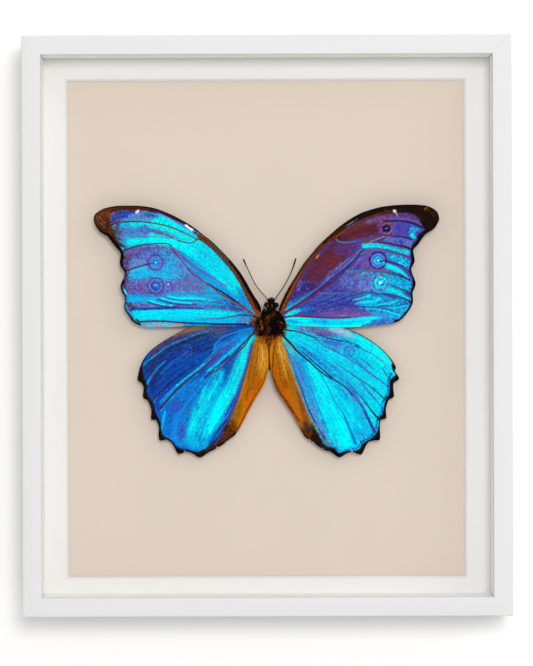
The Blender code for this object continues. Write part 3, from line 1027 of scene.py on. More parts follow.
@dataclass(frozen=True)
class Streak:
    """A soft line that may change its width and colour along the way."""

    tint: Tint
    points: Points
    width: tuple[float, float] = (1.5, 1.5)
    strength: float = 1.0
    soft: float = 0.6
    grain: float = 0.1
    end: Union[Tint, None] = None
    dusting: float = 0.45

    def paint(self, canvas: Canvas) -> None:
        """Lay the line on the canvas.

        Args:
            canvas: the wing's canvas.
        """
        line = smooth_line(self.points)
        chosen = canvas.near(line, max(self.width) + self.soft)
        gap, share = nearest(line, canvas.x[chosen], canvas.y[chosen])
        half = (self.width[0] + (self.width[1] - self.width[0]) * share) / 2.0
        cover = (1.0 - ease(0.0, 1.0, (gap - half + self.soft * 0.5) / self.soft)) * self.strength
        start, end = self.tint.display(), (self.end or self.tint).display()
        canvas.lay(chosen, cover, start + (end - start) * share[:, None], self.grain, self.dusting)


@dataclass(frozen=True)
class Eyespot:
    """Rings round a centre, each with its radius, width, colour and strength."""

    center: tuple[float, float]
    rings: Sequence[tuple[float, float, Tint, float]]
    grain: float = 0.5
    dusting: float = 0.8

    def paint(self, canvas: Canvas) -> None:
        """Lay the rings on the canvas, the first one first.

        Args:
            canvas: the wing's canvas.
        """
        gap = np.hypot(canvas.x - self.center[0], canvas.y - self.center[1])
        for radius, width, tint, strength in self.rings:
            cover = (1.0 - ease(width * 0.25, width * 0.75, np.abs(gap - radius))) * strength
            chosen = np.flatnonzero(cover > 0.0)
            canvas.lay(chosen, cover[chosen], tint.display(), self.grain, self.dusting)


@dataclass(frozen=True)
class Vein:
    """A raised cord in the wing; its width is in pixels, like its path."""

    tint: Tint
    points: Points
    width: tuple[float, float] = (1.2, 1.0)
    end: Union[Tint, None] = None
    strength: float = 1.0
    soft: float = 0.7
    dusting: float = 0.2

    def paint(self, canvas: Canvas) -> None:
        """Stain the scales beside the cord."""
        Streak(self.tint, self.points, self.width, self.strength, self.soft, 0.0, self.end,
               self.dusting).paint(canvas)


@dataclass(frozen=True)
class Fan:
    """Many fine streaks spread between two guide lines of as many points each."""

    tint: Tint
    first: Points
    last: Points
    count: int
    width: tuple[float, float] = (0.8, 0.8)
    strength: float = 0.6
    seed: int = 1
    grain: float = 0.1
    soft: float = 0.7
    starts: tuple[float, float] = (0.0, 0.4)
    stops: tuple[float, float] = (0.6, 1.0)
    shortest: int = 4
    force: tuple[float, float] = (0.5, 1.0)

    def paint(self, canvas: Canvas) -> None:
        """Lay each streak on its own part of the way, with its own strength.

        Args:
            canvas: the wing's canvas.
        """
        draw = random.Random(self.seed)
        first, last = (smooth_line(side, 3) for side in (self.first, self.last))
        for i in range(self.count):
            share = (i + draw.random()) / self.count
            line = first + (last - first) * share
            start = int(draw.uniform(*self.starts) * len(line))
            stop = max(start + self.shortest, int(draw.uniform(*self.stops) * len(line)))
            Streak(self.tint, line[start:stop], self.width, self.strength * draw.uniform(*self.force),
                   self.soft, self.grain).paint(canvas)


Mark = Union[Patch, Streak, Eyespot, Vein, Fan]


# Wings.


@dataclass(frozen=True)
class WingOutline:
    """A wing's edges in pixels: leading and trailing from the body outwards, margin from the tip."""

    leading: Points
    margin: Points
    trailing: Points


@dataclass(frozen=True)
class WingSheet:
    """Where a wing lies: its middle level, its rise towards the tip and its fold by the body."""

    y: float
    tip_lift: float = 0.0
    tip_reach: float = 80.0
    fold_lift: float = 0.0
    fold_span: tuple[float, float] = (0.08, 0.38)
    fold_reach: tuple[float, float] = (0.45, 1.0)
    pleat: float = 0.12
    pleat_start: float = 0.3
    pleats: int = 5

    def level(self, x: np.ndarray, u: np.ndarray, v: np.ndarray) -> np.ndarray:
        """Return the sheet's middle level.

        Args:
            x: places across, in millimetres.
            u: shares of the way from the body to the margin.
            v: shares of the way from the trailing to the leading edge.

        Returns:
            The y of each place.
        """
        pleat = self.pleat * np.cos(2.0 * math.pi * self.pleats * v) * ease(0.0, self.pleat_start, u)
        fold = self.fold_lift * (1.0 - ease(*self.fold_span, v)) * (1.0 - ease(*self.fold_reach, u))
        return self.y - self.tip_lift * (x / self.tip_reach) ** 2 - fold + pleat


def along(line: np.ndarray, shares: np.ndarray) -> np.ndarray:
    """Find places on a line.

    Args:
        line: the line's places.
        shares: how far along its length each place lies, from 0 to 1.

    Returns:
        The places, one row each.
    """
    lengths = np.hypot(*np.diff(line, axis=0).T)
    done = np.concatenate([[0.0], np.cumsum(lengths)])
    return np.stack([np.interp(shares * done[-1], done, line[:, axis]) for axis in (0, 1)], axis=1)


def wrap(bm: bmesh.types.BMesh, line: np.ndarray,
         sides: int) -> Iterator[tuple[bmesh.types.BMVert, int, float, Vector]]:
    """Add a grid that can be wrapped round a path.

    Args:
        bm: the mesh that takes the grid.
        line: the path, as x and z of its places.
        sides: the grid's faces round the path.

    Yields:
        Each new vertex, its place's number, its angle round the path and the way across it.
    """
    steps = len(line) - 1
    tangents = np.gradient(line, axis=0)
    made = bmesh.ops.create_grid(bm, x_segments=steps, y_segments=sides, size=0.5)["verts"]
    for vert in made:
        step = round((vert.co.x + 0.5) * steps)
        angle = 2.0 * math.pi * (vert.co.y + 0.5)
        yield vert, step, angle, Vector((-tangents[step][1], 0.0, tangents[step][0])).normalized()


@dataclass
class Wing:
    """One wing: a thin sheet with painted scales, and its raised veins."""

    name: str
    node: str
    outline: WingOutline
    sheet: WingSheet
    ground: Tint
    marks: Sequence[Mark]
    thickness: float = 0.16
    rows: int = 230
    columns: int = 190
    grain: float = 0.35
    vein_rise: float = 0.06
    vein_share: float = 0.33
    vein_sides: int = 6
    weld: float = 1e-7
    finish: WingScales = field(default_factory=WingScales)
    cord: VeinCord = field(default_factory=VeinCord)
    surface: Union[BVHTree, None] = None

    def spread(self, u: np.ndarray, v: np.ndarray) -> np.ndarray:
        """Blend the wing's edges over the sheet, so that rows bend with them.

        Args:
            u: shares of the way from the body to the margin.
            v: shares of the way from the trailing to the leading edge.

        Returns:
            x and z of each place.
        """
        leading, margin, trailing = (
            OUTLINE_PLANE.place(smooth_line(side, 6))
            for side in (self.outline.leading, self.outline.margin[::-1], self.outline.trailing))
        u, v = u[:, None], v[:, None]
        root = trailing[0] + (leading[0] - trailing[0]) * v
        tip = margin[0] + (margin[-1] - margin[0]) * v
        low, high = along(trailing, u[:, 0]), along(leading, u[:, 0])
        edge = along(margin, v[:, 0])
        return low + (high - low) * v + root + (edge - root) * u - (root + (tip - root) * u)

    def build_sheet(self) -> bmesh.types.BMesh:
        """Bend a grid to the wing's shape and give it its thickness.

        Returns:
            The sheet's mesh, in the row frame.
        """
        bm = bmesh.new()
        bm.loops.layers.uv.new(WING_UV)
        bmesh.ops.create_grid(bm, x_segments=self.rows, y_segments=self.columns, size=0.5,
                              calc_uvs=True)
        flat = np.array([vert.co[:2] for vert in bm.verts]) + 0.5
        places = self.spread(flat[:, 0], flat[:, 1])
        levels = self.sheet.level(places[:, 0], flat[:, 0], flat[:, 1])
        for vert, (x, z), y in zip(bm.verts, places, levels):
            vert.co = to_row(x, y - self.thickness / 2.0, z)
        bmesh.ops.recalc_face_normals(bm, faces=bm.faces)
        if sum(face.normal.y for face in bm.faces) > 0.0:
            bmesh.ops.reverse_faces(bm, faces=bm.faces)
        self.surface = BVHTree.FromBMesh(bm)
        underside = bmesh.ops.duplicate(bm, geom=bm.faces[:])
        bmesh.ops.translate(bm, verts=made_verts(underside), vec=(0.0, self.thickness * MM, 0.0))
        bmesh.ops.reverse_faces(
            bm, faces=[item for item in underside["geom"] if isinstance(item, bmesh.types.BMFace)])
        bmesh.ops.bridge_loops(bm, edges=[edge for edge in bm.edges if edge.is_boundary])
        return bm

    def paint_sheet(self, wing: bpy.types.Object) -> None:
        """Paint the marks on the sheet's points.

        Args:
            wing: the sheet's piece.
        """
        count = len(wing.data.vertices)
        places = np.zeros(count * 3)
        wing.data.vertices.foreach_get("co", places)
        places = places.reshape(-1, 3) / MM + np.array([0.0, 0.0, MIDDLE_BELOW_HANGER])
        canvas = Canvas(places[:, [0, 2]], self.ground, self.grain)
        for mark in self.marks:
            mark.paint(canvas)
        colors, grain = canvas.attributes()
        wing.data.attributes.new(PAINT, "FLOAT_COLOR", "POINT").data.foreach_set(
            "color", colors.ravel())
        wing.data.attributes.new(GRAIN, "FLOAT", "POINT").data.foreach_set("value", grain)

    def on_surface(self, x: float, z: float) -> Vector:
        """Find a point of the wing's front.

        Args:
            x: its place across, in millimetres.
            z: its height.

        Returns:
            The point there, or the nearest one outside the wing, in the row frame.
        """
        hit = self.surface.ray_cast(to_row(x, BEFORE_WINGS, z), BACKWARDS)[0]
        if hit is None:
            hit = self.surface.find_nearest(to_row(x, self.sheet.y, z))[0]
        return hit

    def build_veins(self) -> None:
        """Lay every vein on the wing as a cord that thins outwards."""
        bm = bmesh.new()
        paint = bm.verts.layers.float_color.new(PAINT)
        for vein in (mark for mark in self.marks if isinstance(mark, Vein)):
            line = MARK_PLANE.place(smooth_line(vein.points, 4))
            self.add_cord(bm, paint, vein, line)
        bmesh.ops.remove_doubles(bm, verts=bm.verts, dist=self.weld)
        bmesh.ops.recalc_face_normals(bm, faces=bm.faces)
        add_piece(f"{self.name}_veins", bm, self.cord.material(f"{self.name}_vein_finish"))

    def add_cord(self, bm: bmesh.types.BMesh, paint: bmesh.types.BMLayerItem, vein: Vein,
                 line: np.ndarray) -> None:
        """Wrap a cord round a vein's path.

        Args:
            bm: the mesh that takes the cord.
            paint: its colour layer.
            vein: the vein.
            line: its path, in millimetres.
        """
        steps = len(line) - 1
        ground = [self.on_surface(x, z) for x, z in line]
        start, end = vein.tint.linear(), (vein.end or vein.tint).linear()
        for vert, step, angle, across in wrap(bm, line, self.vein_sides):
            share = step / steps
            width = vein.width[0] + (vein.width[1] - vein.width[0]) * share
            closed = 0.0 if step in (0, steps) else 1.0
            half = width * MM_PER_PIXEL * self.vein_share * vein.strength * closed
            offset = across * (half * math.cos(angle))
            offset.y = -min(half, self.vein_rise) * math.sin(angle)
            vert.co = ground[step] + offset * MM
            vert[paint] = [a + (b - a) * share for a, b in zip(start, end)]

    def build(self) -> None:
        """Build the sheet and its veins."""
        bm = self.build_sheet()
        wing = add_piece(self.name, bm, self.finish.material(f"{self.name}_finish"),
                         [self.node])
        self.paint_sheet(wing)
        self.build_veins()


# Body.


@dataclass(frozen=True)
class Ring:
    """One ring of the body: its height, middle and half sizes."""

    z: float
    x: float
    y: float
    half_width: float
    half_depth: float


@dataclass(frozen=True)
class HairBand:
    """Tufts of hair over an oval of the body or a wing base.

    middle and half sizes are in millimetres; lean is the angle in degrees that hairs take at the
    middle (0 is up, 90 is right), and fan is how much it turns towards the sides.
    """

    tufts: int
    middle: tuple[float, float]
    half: tuple[float, float]
    lean: float
    fan: float = 40.0
    length: tuple[float, float] = (1.0, 2.2)
    hairs: int = 5
    spread: float = 0.22
    radius: float = 0.11
    lift: float = 0.45
    base_y: float = -15.5
    seed: int = 3
    ruffle: float = 24.0
    rises: tuple[float, float] = (0.2, 1.5)
    flatten: Triple = (1.0, 0.2, 1.0)
    gather: float = 0.5
    rooting: float = 0.1
    taper: float = 0.15

    def plant(self, bm: bmesh.types.BMesh, shell: BVHTree) -> None:
        """Stand each hair on the body, or at the base level beside it.

        Args:
            bm: the mesh that takes the hairs, in millimetres.
            shell: the body's surface, in the row frame.
        """
        draw = random.Random(self.seed)
        for _ in range(self.tufts):
            turn, reach = draw.uniform(0.0, 2.0 * math.pi), math.sqrt(draw.random())
            x = self.middle[0] + self.half[0] * reach * math.cos(turn)
            z = self.middle[1] + self.half[1] * reach * math.sin(turn)
            hit = shell.ray_cast(to_row(x, BEFORE_WINGS, z), BACKWARDS)[0]
            y = self.base_y if hit is None else hit.y / MM - WALL_BEHIND_HANGER
            angle = math.radians(
                self.lean + self.fan * reach * math.cos(turn) + draw.gauss(0.0, self.ruffle))
            rise = self.lift * draw.uniform(*self.rises)
            length = draw.uniform(*self.length)
            tip = Vector((x + math.sin(angle) * length, y - rise * length,
                          z + math.cos(angle) * length))
            for _ in range(self.hairs):
                root = Vector((x, y + self.rooting, z)) + Vector(
                    [draw.gauss(0.0, self.spread) * share for share in self.flatten])
                end = tip + Vector([draw.gauss(0.0, self.spread * self.gather) for _ in range(3)])
                self.add_hair(bm, root, end)

    def add_hair(self, bm: bmesh.types.BMesh, root: Vector, end: Vector) -> None:
        """Stand one thin cone between two points.

        Args:
            bm: the mesh that takes it.
            root: its lower end.
            end: its tip.
        """
        way = end - root
        made = bmesh.ops.create_cone(bm, cap_ends=False, segments=3, radius1=self.radius,
                                     radius2=self.radius * self.taper, depth=way.length)["verts"]
        bmesh.ops.rotate(bm, verts=made, matrix=way.to_track_quat("Z", "Y").to_matrix())
        bmesh.ops.translate(bm, verts=made, vec=(root + end) / 2.0)


@dataclass(frozen=True)
class Coat:
    """Hair of one colour, as one piece."""

    name: str
    finish: Chitin
    bands: Sequence[HairBand]


@dataclass
class Body:
    """Head, thorax and abdomen, with eyes and coats of hair."""

    rings: Sequence[Ring]
    coats: Sequence[Coat]
    eyes: Sequence[Triple] = ((-0.25, -15.6, 9.1), (4.0, -15.6, 9.0))
    eye_radius: float = 1.15
    skin: BodySkin = field(default_factory=BodySkin)
    eye_finish: Chitin = field(default_factory=lambda: Chitin(Tint.SOOT, 0.3, 0.15))
    shell: Union[BVHTree, None] = None

    def ring_at(self, z: float) -> Ring:
        """Find the body's size at a height.

        Args:
            z: the height.

        Returns:
            A ring between the given ones.
        """
        heights = [ring.z for ring in self.rings]
        sizes = [np.interp(z, heights, [getattr(ring, key) for ring in self.rings])
                 for key in ("x", "y", "half_width", "half_depth")]
        return Ring(z, *(float(size) for size in sizes))

    def build_trunk(self) -> None:
        """Stretch a ball over the rings and smooth it a little."""
        bm = bmesh.new()
        bmesh.ops.create_uvsphere(bm, u_segments=40, v_segments=64, radius=1.0)
        low, high = self.rings[0].z, self.rings[-1].z
        for vert in bm.verts:
            share = 0.5 - math.asin(max(-1.0, min(1.0, vert.co.z))) / math.pi
            ring = self.ring_at(high + (low - high) * share)
            flat = Vector((vert.co.x, vert.co.y, 0.0))
            side = flat.normalized() if flat.length > TINY else flat
            vert.co = (ring.x + ring.half_width * side.x, ring.y + ring.half_depth * side.y, ring.z)
        bmesh.ops.smooth_vert(bm, verts=bm.verts, factor=0.5, use_axis_x=True, use_axis_y=True,
                              use_axis_z=True)
        to_metres(bm)
        self.shell = BVHTree.FromBMesh(bm)
        add_piece("body_trunk", bm, self.skin.material("body_finish"),
                  ["butterfly_body"])

    def build_eyes(self) -> None:
        """Set two domed eyes in the head."""
        bm = bmesh.new()
        for place in self.eyes:
            made = bmesh.ops.create_uvsphere(bm, u_segments=24, v_segments=16,
                                             radius=self.eye_radius)["verts"]
            bmesh.ops.translate(bm, verts=made, vec=place)
        to_metres(bm)
        add_piece("eyes", bm, self.eye_finish.material("eye_finish"))

    def build_coat(self, coat: Coat) -> None:
        """Plant a coat's bands of hair.

        Args:
            coat: the coat.
        """
        bm = bmesh.new()
        for band in coat.bands:
            band.plant(bm, self.shell)
        to_metres(bm)
        add_piece(coat.name, bm, coat.finish.material(f"{coat.name}_finish"))

    def build(self) -> None:
        """Build the trunk, its eyes and its coats."""
        self.build_trunk()
        self.build_eyes()
        for coat in self.coats:
            self.build_coat(coat)


@dataclass
class Antenna:
    """One antenna: a ringed thread that thickens into a club."""

    name: str
    node: str
    path: Points
    radius: float = 0.2
    club_radius: float = 0.36
    base_y: float = -15.0
    lift: float = 1.2
    sides: int = 10
    steps_between: int = 8
    club: tuple[float, float] = (0.6, 0.9)
    ring_depth: float = 0.08
    weld: float = 1e-4
    finish: Chitin = field(default_factory=lambda: Chitin(Tint.SOOT, 0.5))

    def build(self) -> None:
        """Wrap a grid round the path and close its ends."""
        line = OUTLINE_PLANE.place(smooth_line(self.path, self.steps_between))
        steps = len(line) - 1
        bm = bmesh.new()
        for vert, step, angle, across in wrap(bm, line, self.sides):
            share = step / steps
            radius = self.radius + (self.club_radius - self.radius) * float(ease(*self.club, share))
            radius *= 0.0 if step in (0, steps) else 1.0 - self.ring_depth * (step % 2)
            offset = across * (radius * math.cos(angle))
            offset.y = radius * math.sin(angle)
            vert.co = Vector((line[step][0], self.base_y - self.lift * share, line[step][1])) + offset
        bmesh.ops.remove_doubles(bm, verts=bm.verts, dist=self.weld)
        bmesh.ops.recalc_face_normals(bm, faces=bm.faces)
        to_metres(bm)
        add_piece(self.name, bm, self.finish.material(f"{self.name}_finish"),
                  [self.node], smooth=60.0)


# Studio.


@dataclass(frozen=True)
class Lamp:
    """A round area light that points at the frame: where it stands, its width and its power."""

    name: str
    way: Triple
    size: float
    energy: float


@dataclass
class Studio:
    """A white wall behind the frame, a pale floor, soft light and the camera of the photograph."""

    camera_place: Triple = (-0.257, -1129.0, -3.107)
    lens: float = 138.74
    sensor: float = 36.0
    clip: tuple[float, float] = (0.05, 50.0)
    roll: float = 0.17
    plane_size: float = 3000.0
    wall_y: float = 4.0
    wall_color: Color = (0.985, 0.98, 0.96, 1.0)
    floor_z: float = -700.0
    floor_color: Color = (0.82, 0.82, 0.81, 1.0)
    lamp_distance: float = 1600.0
    lamps: Sequence[Lamp] = (Lamp("key_light", (0.1, -1.0, 0.19), 480.0, 11.0),
                             Lamp("side_light", (1.0, -0.6, 0.75), 1000.0, 4.0))
    room_color: Color = (1.0, 1.0, 1.0, 1.0)
    ambient: float = 0.61

    def add_camera(self) -> None:
        """Point the camera straight at the frame."""
        camera = bpy.data.objects.new("camera", bpy.data.cameras.new("camera"))
        camera.location = to_row(*self.camera_place)
        turn = Matrix.Rotation(math.radians(self.roll), 4, "Y") @ Matrix.Rotation(math.pi / 2.0, 4, "X")
        camera.rotation_euler = turn.to_euler()
        camera.data.lens = self.lens
        camera.data.sensor_width = self.sensor
        camera.data.clip_start, camera.data.clip_end = self.clip
        bpy.context.scene.collection.objects.link(camera)
        bpy.context.scene.camera = camera

    def add_plane(self, name: str, turn: float, place: Vector,
                  finish: Backdrop) -> bpy.types.Object:
        """Add one flat stage piece.

        Args:
            name: its name.
            turn: its turn about x, in degrees.
            place: its middle, in the row frame.
            finish: its finish.

        Returns:
            The plane.
        """
        bm = bmesh.new()
        bmesh.ops.create_grid(bm, x_segments=1, y_segments=1, size=self.plane_size * MM)
        bmesh.ops.rotate(bm, verts=bm.verts, matrix=Matrix.Rotation(math.radians(turn), 3, "X"))
        bmesh.ops.translate(bm, verts=bm.verts, vec=place)
        mesh = bpy.data.meshes.new(name)
        bm.to_mesh(mesh)
        bm.free()
        mesh.materials.append(finish.material(f"{name}_finish"))
        plane = bpy.data.objects.new(name, mesh)
        bpy.context.scene.collection.objects.link(plane)
        return plane

    def add_stage(self) -> None:
        """Hang the frame on a white wall above a pale floor."""
        wall = self.add_plane("wall", 90.0, to_row(0.0, self.wall_y, 0.0),
                              Backdrop(self.wall_color, True))
        wall.visible_shadow = wall.visible_diffuse = False
        self.add_plane("floor", 0.0, to_row(0.0, 0.0, self.floor_z), Backdrop(self.floor_color))

    def add_lamp(self, lamp: Lamp) -> None:
        """Add one light.

        Args:
            lamp: its sizes.
        """
        light = bpy.data.lights.new(lamp.name, "AREA")
        light.shape = "DISK"
        light.size = lamp.size * MM
        light.energy = lamp.energy
        stand = bpy.data.objects.new(lamp.name, light)
        direction = Vector(lamp.way).normalized()
        stand.location = to_row(0.0, 0.0, 0.0) + direction * (self.lamp_distance * MM)
        stand.rotation_euler = direction.to_track_quat("Z", "Y").to_euler()
        stand.visible_glossy = False
        bpy.context.scene.collection.objects.link(stand)

    def add_world(self) -> None:
        """Fill the room with even white light."""
        world = bpy.data.worlds.new("room")
        world.use_nodes = True
        background = world.node_tree.nodes["Background"]
        background.inputs["Color"].default_value = self.room_color
        background.inputs["Strength"].default_value = self.ambient
        bpy.context.scene.world = world
        bpy.context.scene.view_settings.view_transform = "Standard"

    def build(self) -> None:
        """Set up the camera, the stage and the lights."""
        self.add_camera()
        self.add_stage()
        self.add_world()
        for lamp in self.lamps:
            self.add_lamp(lamp)


# Outlines, paths, rings and marks, read off the photograph.

LEFT_FOREWING = WingOutline(
    leading=[
        (260.9, 307.4), (258.1, 301.6), (255.2, 297.4), (251.6, 291.6), (248.1, 285.2), (243.8, 277.7),
        (238.8, 270.2), (230.2, 259.5), (220.2, 249.1), (211.6, 240.6), (202.4, 233.4), (193.3, 226.3),
        (184.9, 221.0), (170.3, 213.3), (154.9, 207.5), (139.5, 205.0), (120.3, 204.8), (111.8, 205.8),
        (104.9, 207.3), (100.3, 209.4)],
    margin=[
        (100.3, 209.4), (96.4, 212.1), (94.5, 214.8), (93.9, 218.7), (95.0, 223.3), (97.6, 227.9),
        (101.0, 231.7), (105.3, 234.3), (108.3, 236.3), (112.0, 241.4), (116.0, 246.5), (120.3, 251.5),
        (120.4, 256.5), (119.7, 261.0), (120.8, 266.0), (124.6, 271.5), (124.0, 275.5), (121.6, 281.0),
        (120.3, 286.0), (122.0, 291.5), (124.6, 296.0), (124.4, 301.0), (124.0, 306.0), (125.6, 310.5),
        (128.6, 315.0), (131.5, 319.5), (136.0, 322.8), (142.0, 325.3)],
    trailing=[
        (259.5, 322.5), (251.0, 324.4), (235.0, 324.8), (215.0, 324.9), (190.0, 325.3), (165.0, 326.1),
        (150.0, 326.4), (142.0, 325.3)])

RIGHT_FOREWING = WingOutline(
    leading=[
        (278.2, 309.0), (280.2, 303.4), (284.9, 293.1), (290.2, 283.8), (296.6, 273.8), (303.1, 263.4),
        (310.9, 253.8), (319.5, 243.8), (328.8, 235.2), (339.5, 226.0), (349.5, 219.0), (357.2, 214.6),
        (364.9, 211.2), (380.3, 206.9), (394.9, 205.0), (408.7, 204.5), (421.0, 205.0), (428.0, 206.3),
        (433.3, 208.7)],
    margin=[
        (433.3, 208.7), (436.6, 211.7), (438.3, 215.6), (438.9, 219.4), (437.2, 223.3), (434.7, 227.5),
        (431.0, 230.6), (426.4, 233.3), (423.7, 236.0), (420.7, 239.8), (417.6, 244.5), (413.0, 249.4),
        (413.4, 254.5), (414.3, 260.0), (413.0, 264.5), (410.8, 268.6), (412.0, 274.0), (414.3, 279.5),
        (415.2, 284.0), (413.6, 288.8), (411.9, 293.0), (412.5, 298.0), (412.2, 302.5), (410.0, 307.8),
        (406.5, 312.8), (402.5, 317.5), (398.0, 321.0), (392.0, 323.3)],
    trailing=[
        (281.8, 322.5), (287.0, 324.6), (300.0, 325.3), (320.0, 326.3), (335.0, 327.0), (350.0, 326.7),
        (370.0, 325.7), (392.0, 323.3)])

LEFT_HINDWING = WingOutline(
    leading=[
        (257.0, 326.0), (250.0, 319.5), (236.0, 315.5), (218.0, 316.0), (203.0, 320.0), (190.0, 326.0),
        (180.0, 330.5), (170.0, 336.0), (160.0, 342.0), (150.0, 349.7), (143.5, 357.5), (140.3, 363.6)],
    margin=[
        (140.3, 363.6), (138.9, 367.8), (137.0, 377.0), (137.6, 380.0), (140.8, 381.9), (143.0, 386.5),
        (142.2, 394.5), (143.2, 397.3), (147.2, 400.0), (150.6, 408.5), (150.2, 417.6), (152.6, 419.0),
        (155.4, 419.3), (158.0, 425.5), (157.8, 434.5), (158.4, 438.6), (161.2, 439.8), (166.0, 438.9),
        (171.4, 442.5), (174.9, 449.5), (177.2, 452.8), (180.8, 452.6), (185.2, 450.9), (190.6, 452.0),
        (199.0, 456.6), (207.2, 452.0), (216.4, 447.2), (222.6, 443.4), (229.0, 438.2), (233.6, 435.2)],
    trailing=[
        (259.2, 336.5), (263.6, 339.5), (267.2, 346.0), (267.9, 358.0), (267.5, 369.0), (265.6, 377.5),
        (261.8, 386.7), (256.0, 395.6), (249.8, 406.8), (244.3, 417.6), (239.0, 427.4), (233.6, 435.2)])

RIGHT_HINDWING = WingOutline(
    leading=[
        (283.4, 326.0), (288.4, 319.5), (302.0, 315.5), (318.0, 316.0), (332.0, 321.0), (343.5, 326.9),
        (352.0, 330.3), (362.0, 335.0), (372.0, 341.3), (382.0, 349.3), (389.6, 357.4), (393.8, 363.4)],
    margin=[
        (393.8, 363.4), (395.4, 367.6), (394.5, 371.2), (398.3, 377.0), (397.6, 379.8), (393.4, 382.4),
        (392.6, 387.0), (393.4, 395.4), (391.6, 398.0), (388.0, 399.6), (385.3, 408.5), (385.6, 417.4),
        (383.2, 418.9), (380.2, 419.6), (379.1, 425.0), (379.5, 437.0), (378.0, 440.1), (373.4, 440.2),
        (367.0, 442.5), (361.6, 452.8), (358.0, 454.0), (351.6, 451.4), (345.4, 453.2), (338.4, 457.0),
        (330.6, 452.2), (322.2, 449.0), (314.0, 443.4), (309.0, 439.8), (304.0, 436.4)],
    trailing=[
        (279.2, 336.5), (274.0, 339.5), (269.8, 346.0), (269.3, 356.0), (270.4, 368.0), (272.2, 378.5),
        (276.2, 390.0), (283.4, 401.2), (290.6, 412.0), (296.4, 422.4), (304.0, 436.4)])

ANTENNA_LEFT = [
    (267.5, 299.4), (263.6, 294.6), (258.8, 289.2), (254.2, 282.4), (249.6, 273.0), (246.0, 265.2),
    (244.4, 261.6), (243.0, 258.4)]
ANTENNA_RIGHT = [
    (274.2, 299.2), (278.4, 293.2), (282.4, 287.4), (286.0, 281.6), (289.6, 274.6), (292.4, 268.0),
    (294.2, 262.4), (295.4, 257.8)]

BODY_RINGS = [Ring(*sizes) for sizes in (
    (-19.5, 0.7, -12.2, 0.0, 0.0), (-18.6, 0.7, -12.2, 0.9, 0.8), (-16.0, 0.7, -12.3, 1.6, 1.4),
    (-12.0, 0.7, -12.4, 2.1, 1.8), (-8.5, 0.8, -12.5, 2.2, 1.9), (-6.0, 1.0, -12.9, 2.1, 1.8),
    (-4.4, 1.4, -13.7, 2.3, 2.3), (-2.0, 1.8, -14.8, 3.2, 3.3), (1.0, 1.9, -15.0, 3.7, 3.7),
    (4.0, 1.9, -15.0, 3.4, 3.4), (6.3, 1.9, -15.0, 2.5, 2.6), (7.6, 1.9, -15.0, 1.7, 1.7),
    (9.0, 1.9, -15.1, 2.4, 1.9), (10.3, 1.9, -15.1, 1.7, 1.4), (11.0, 1.9, -15.1, 0.0, 0.0))]

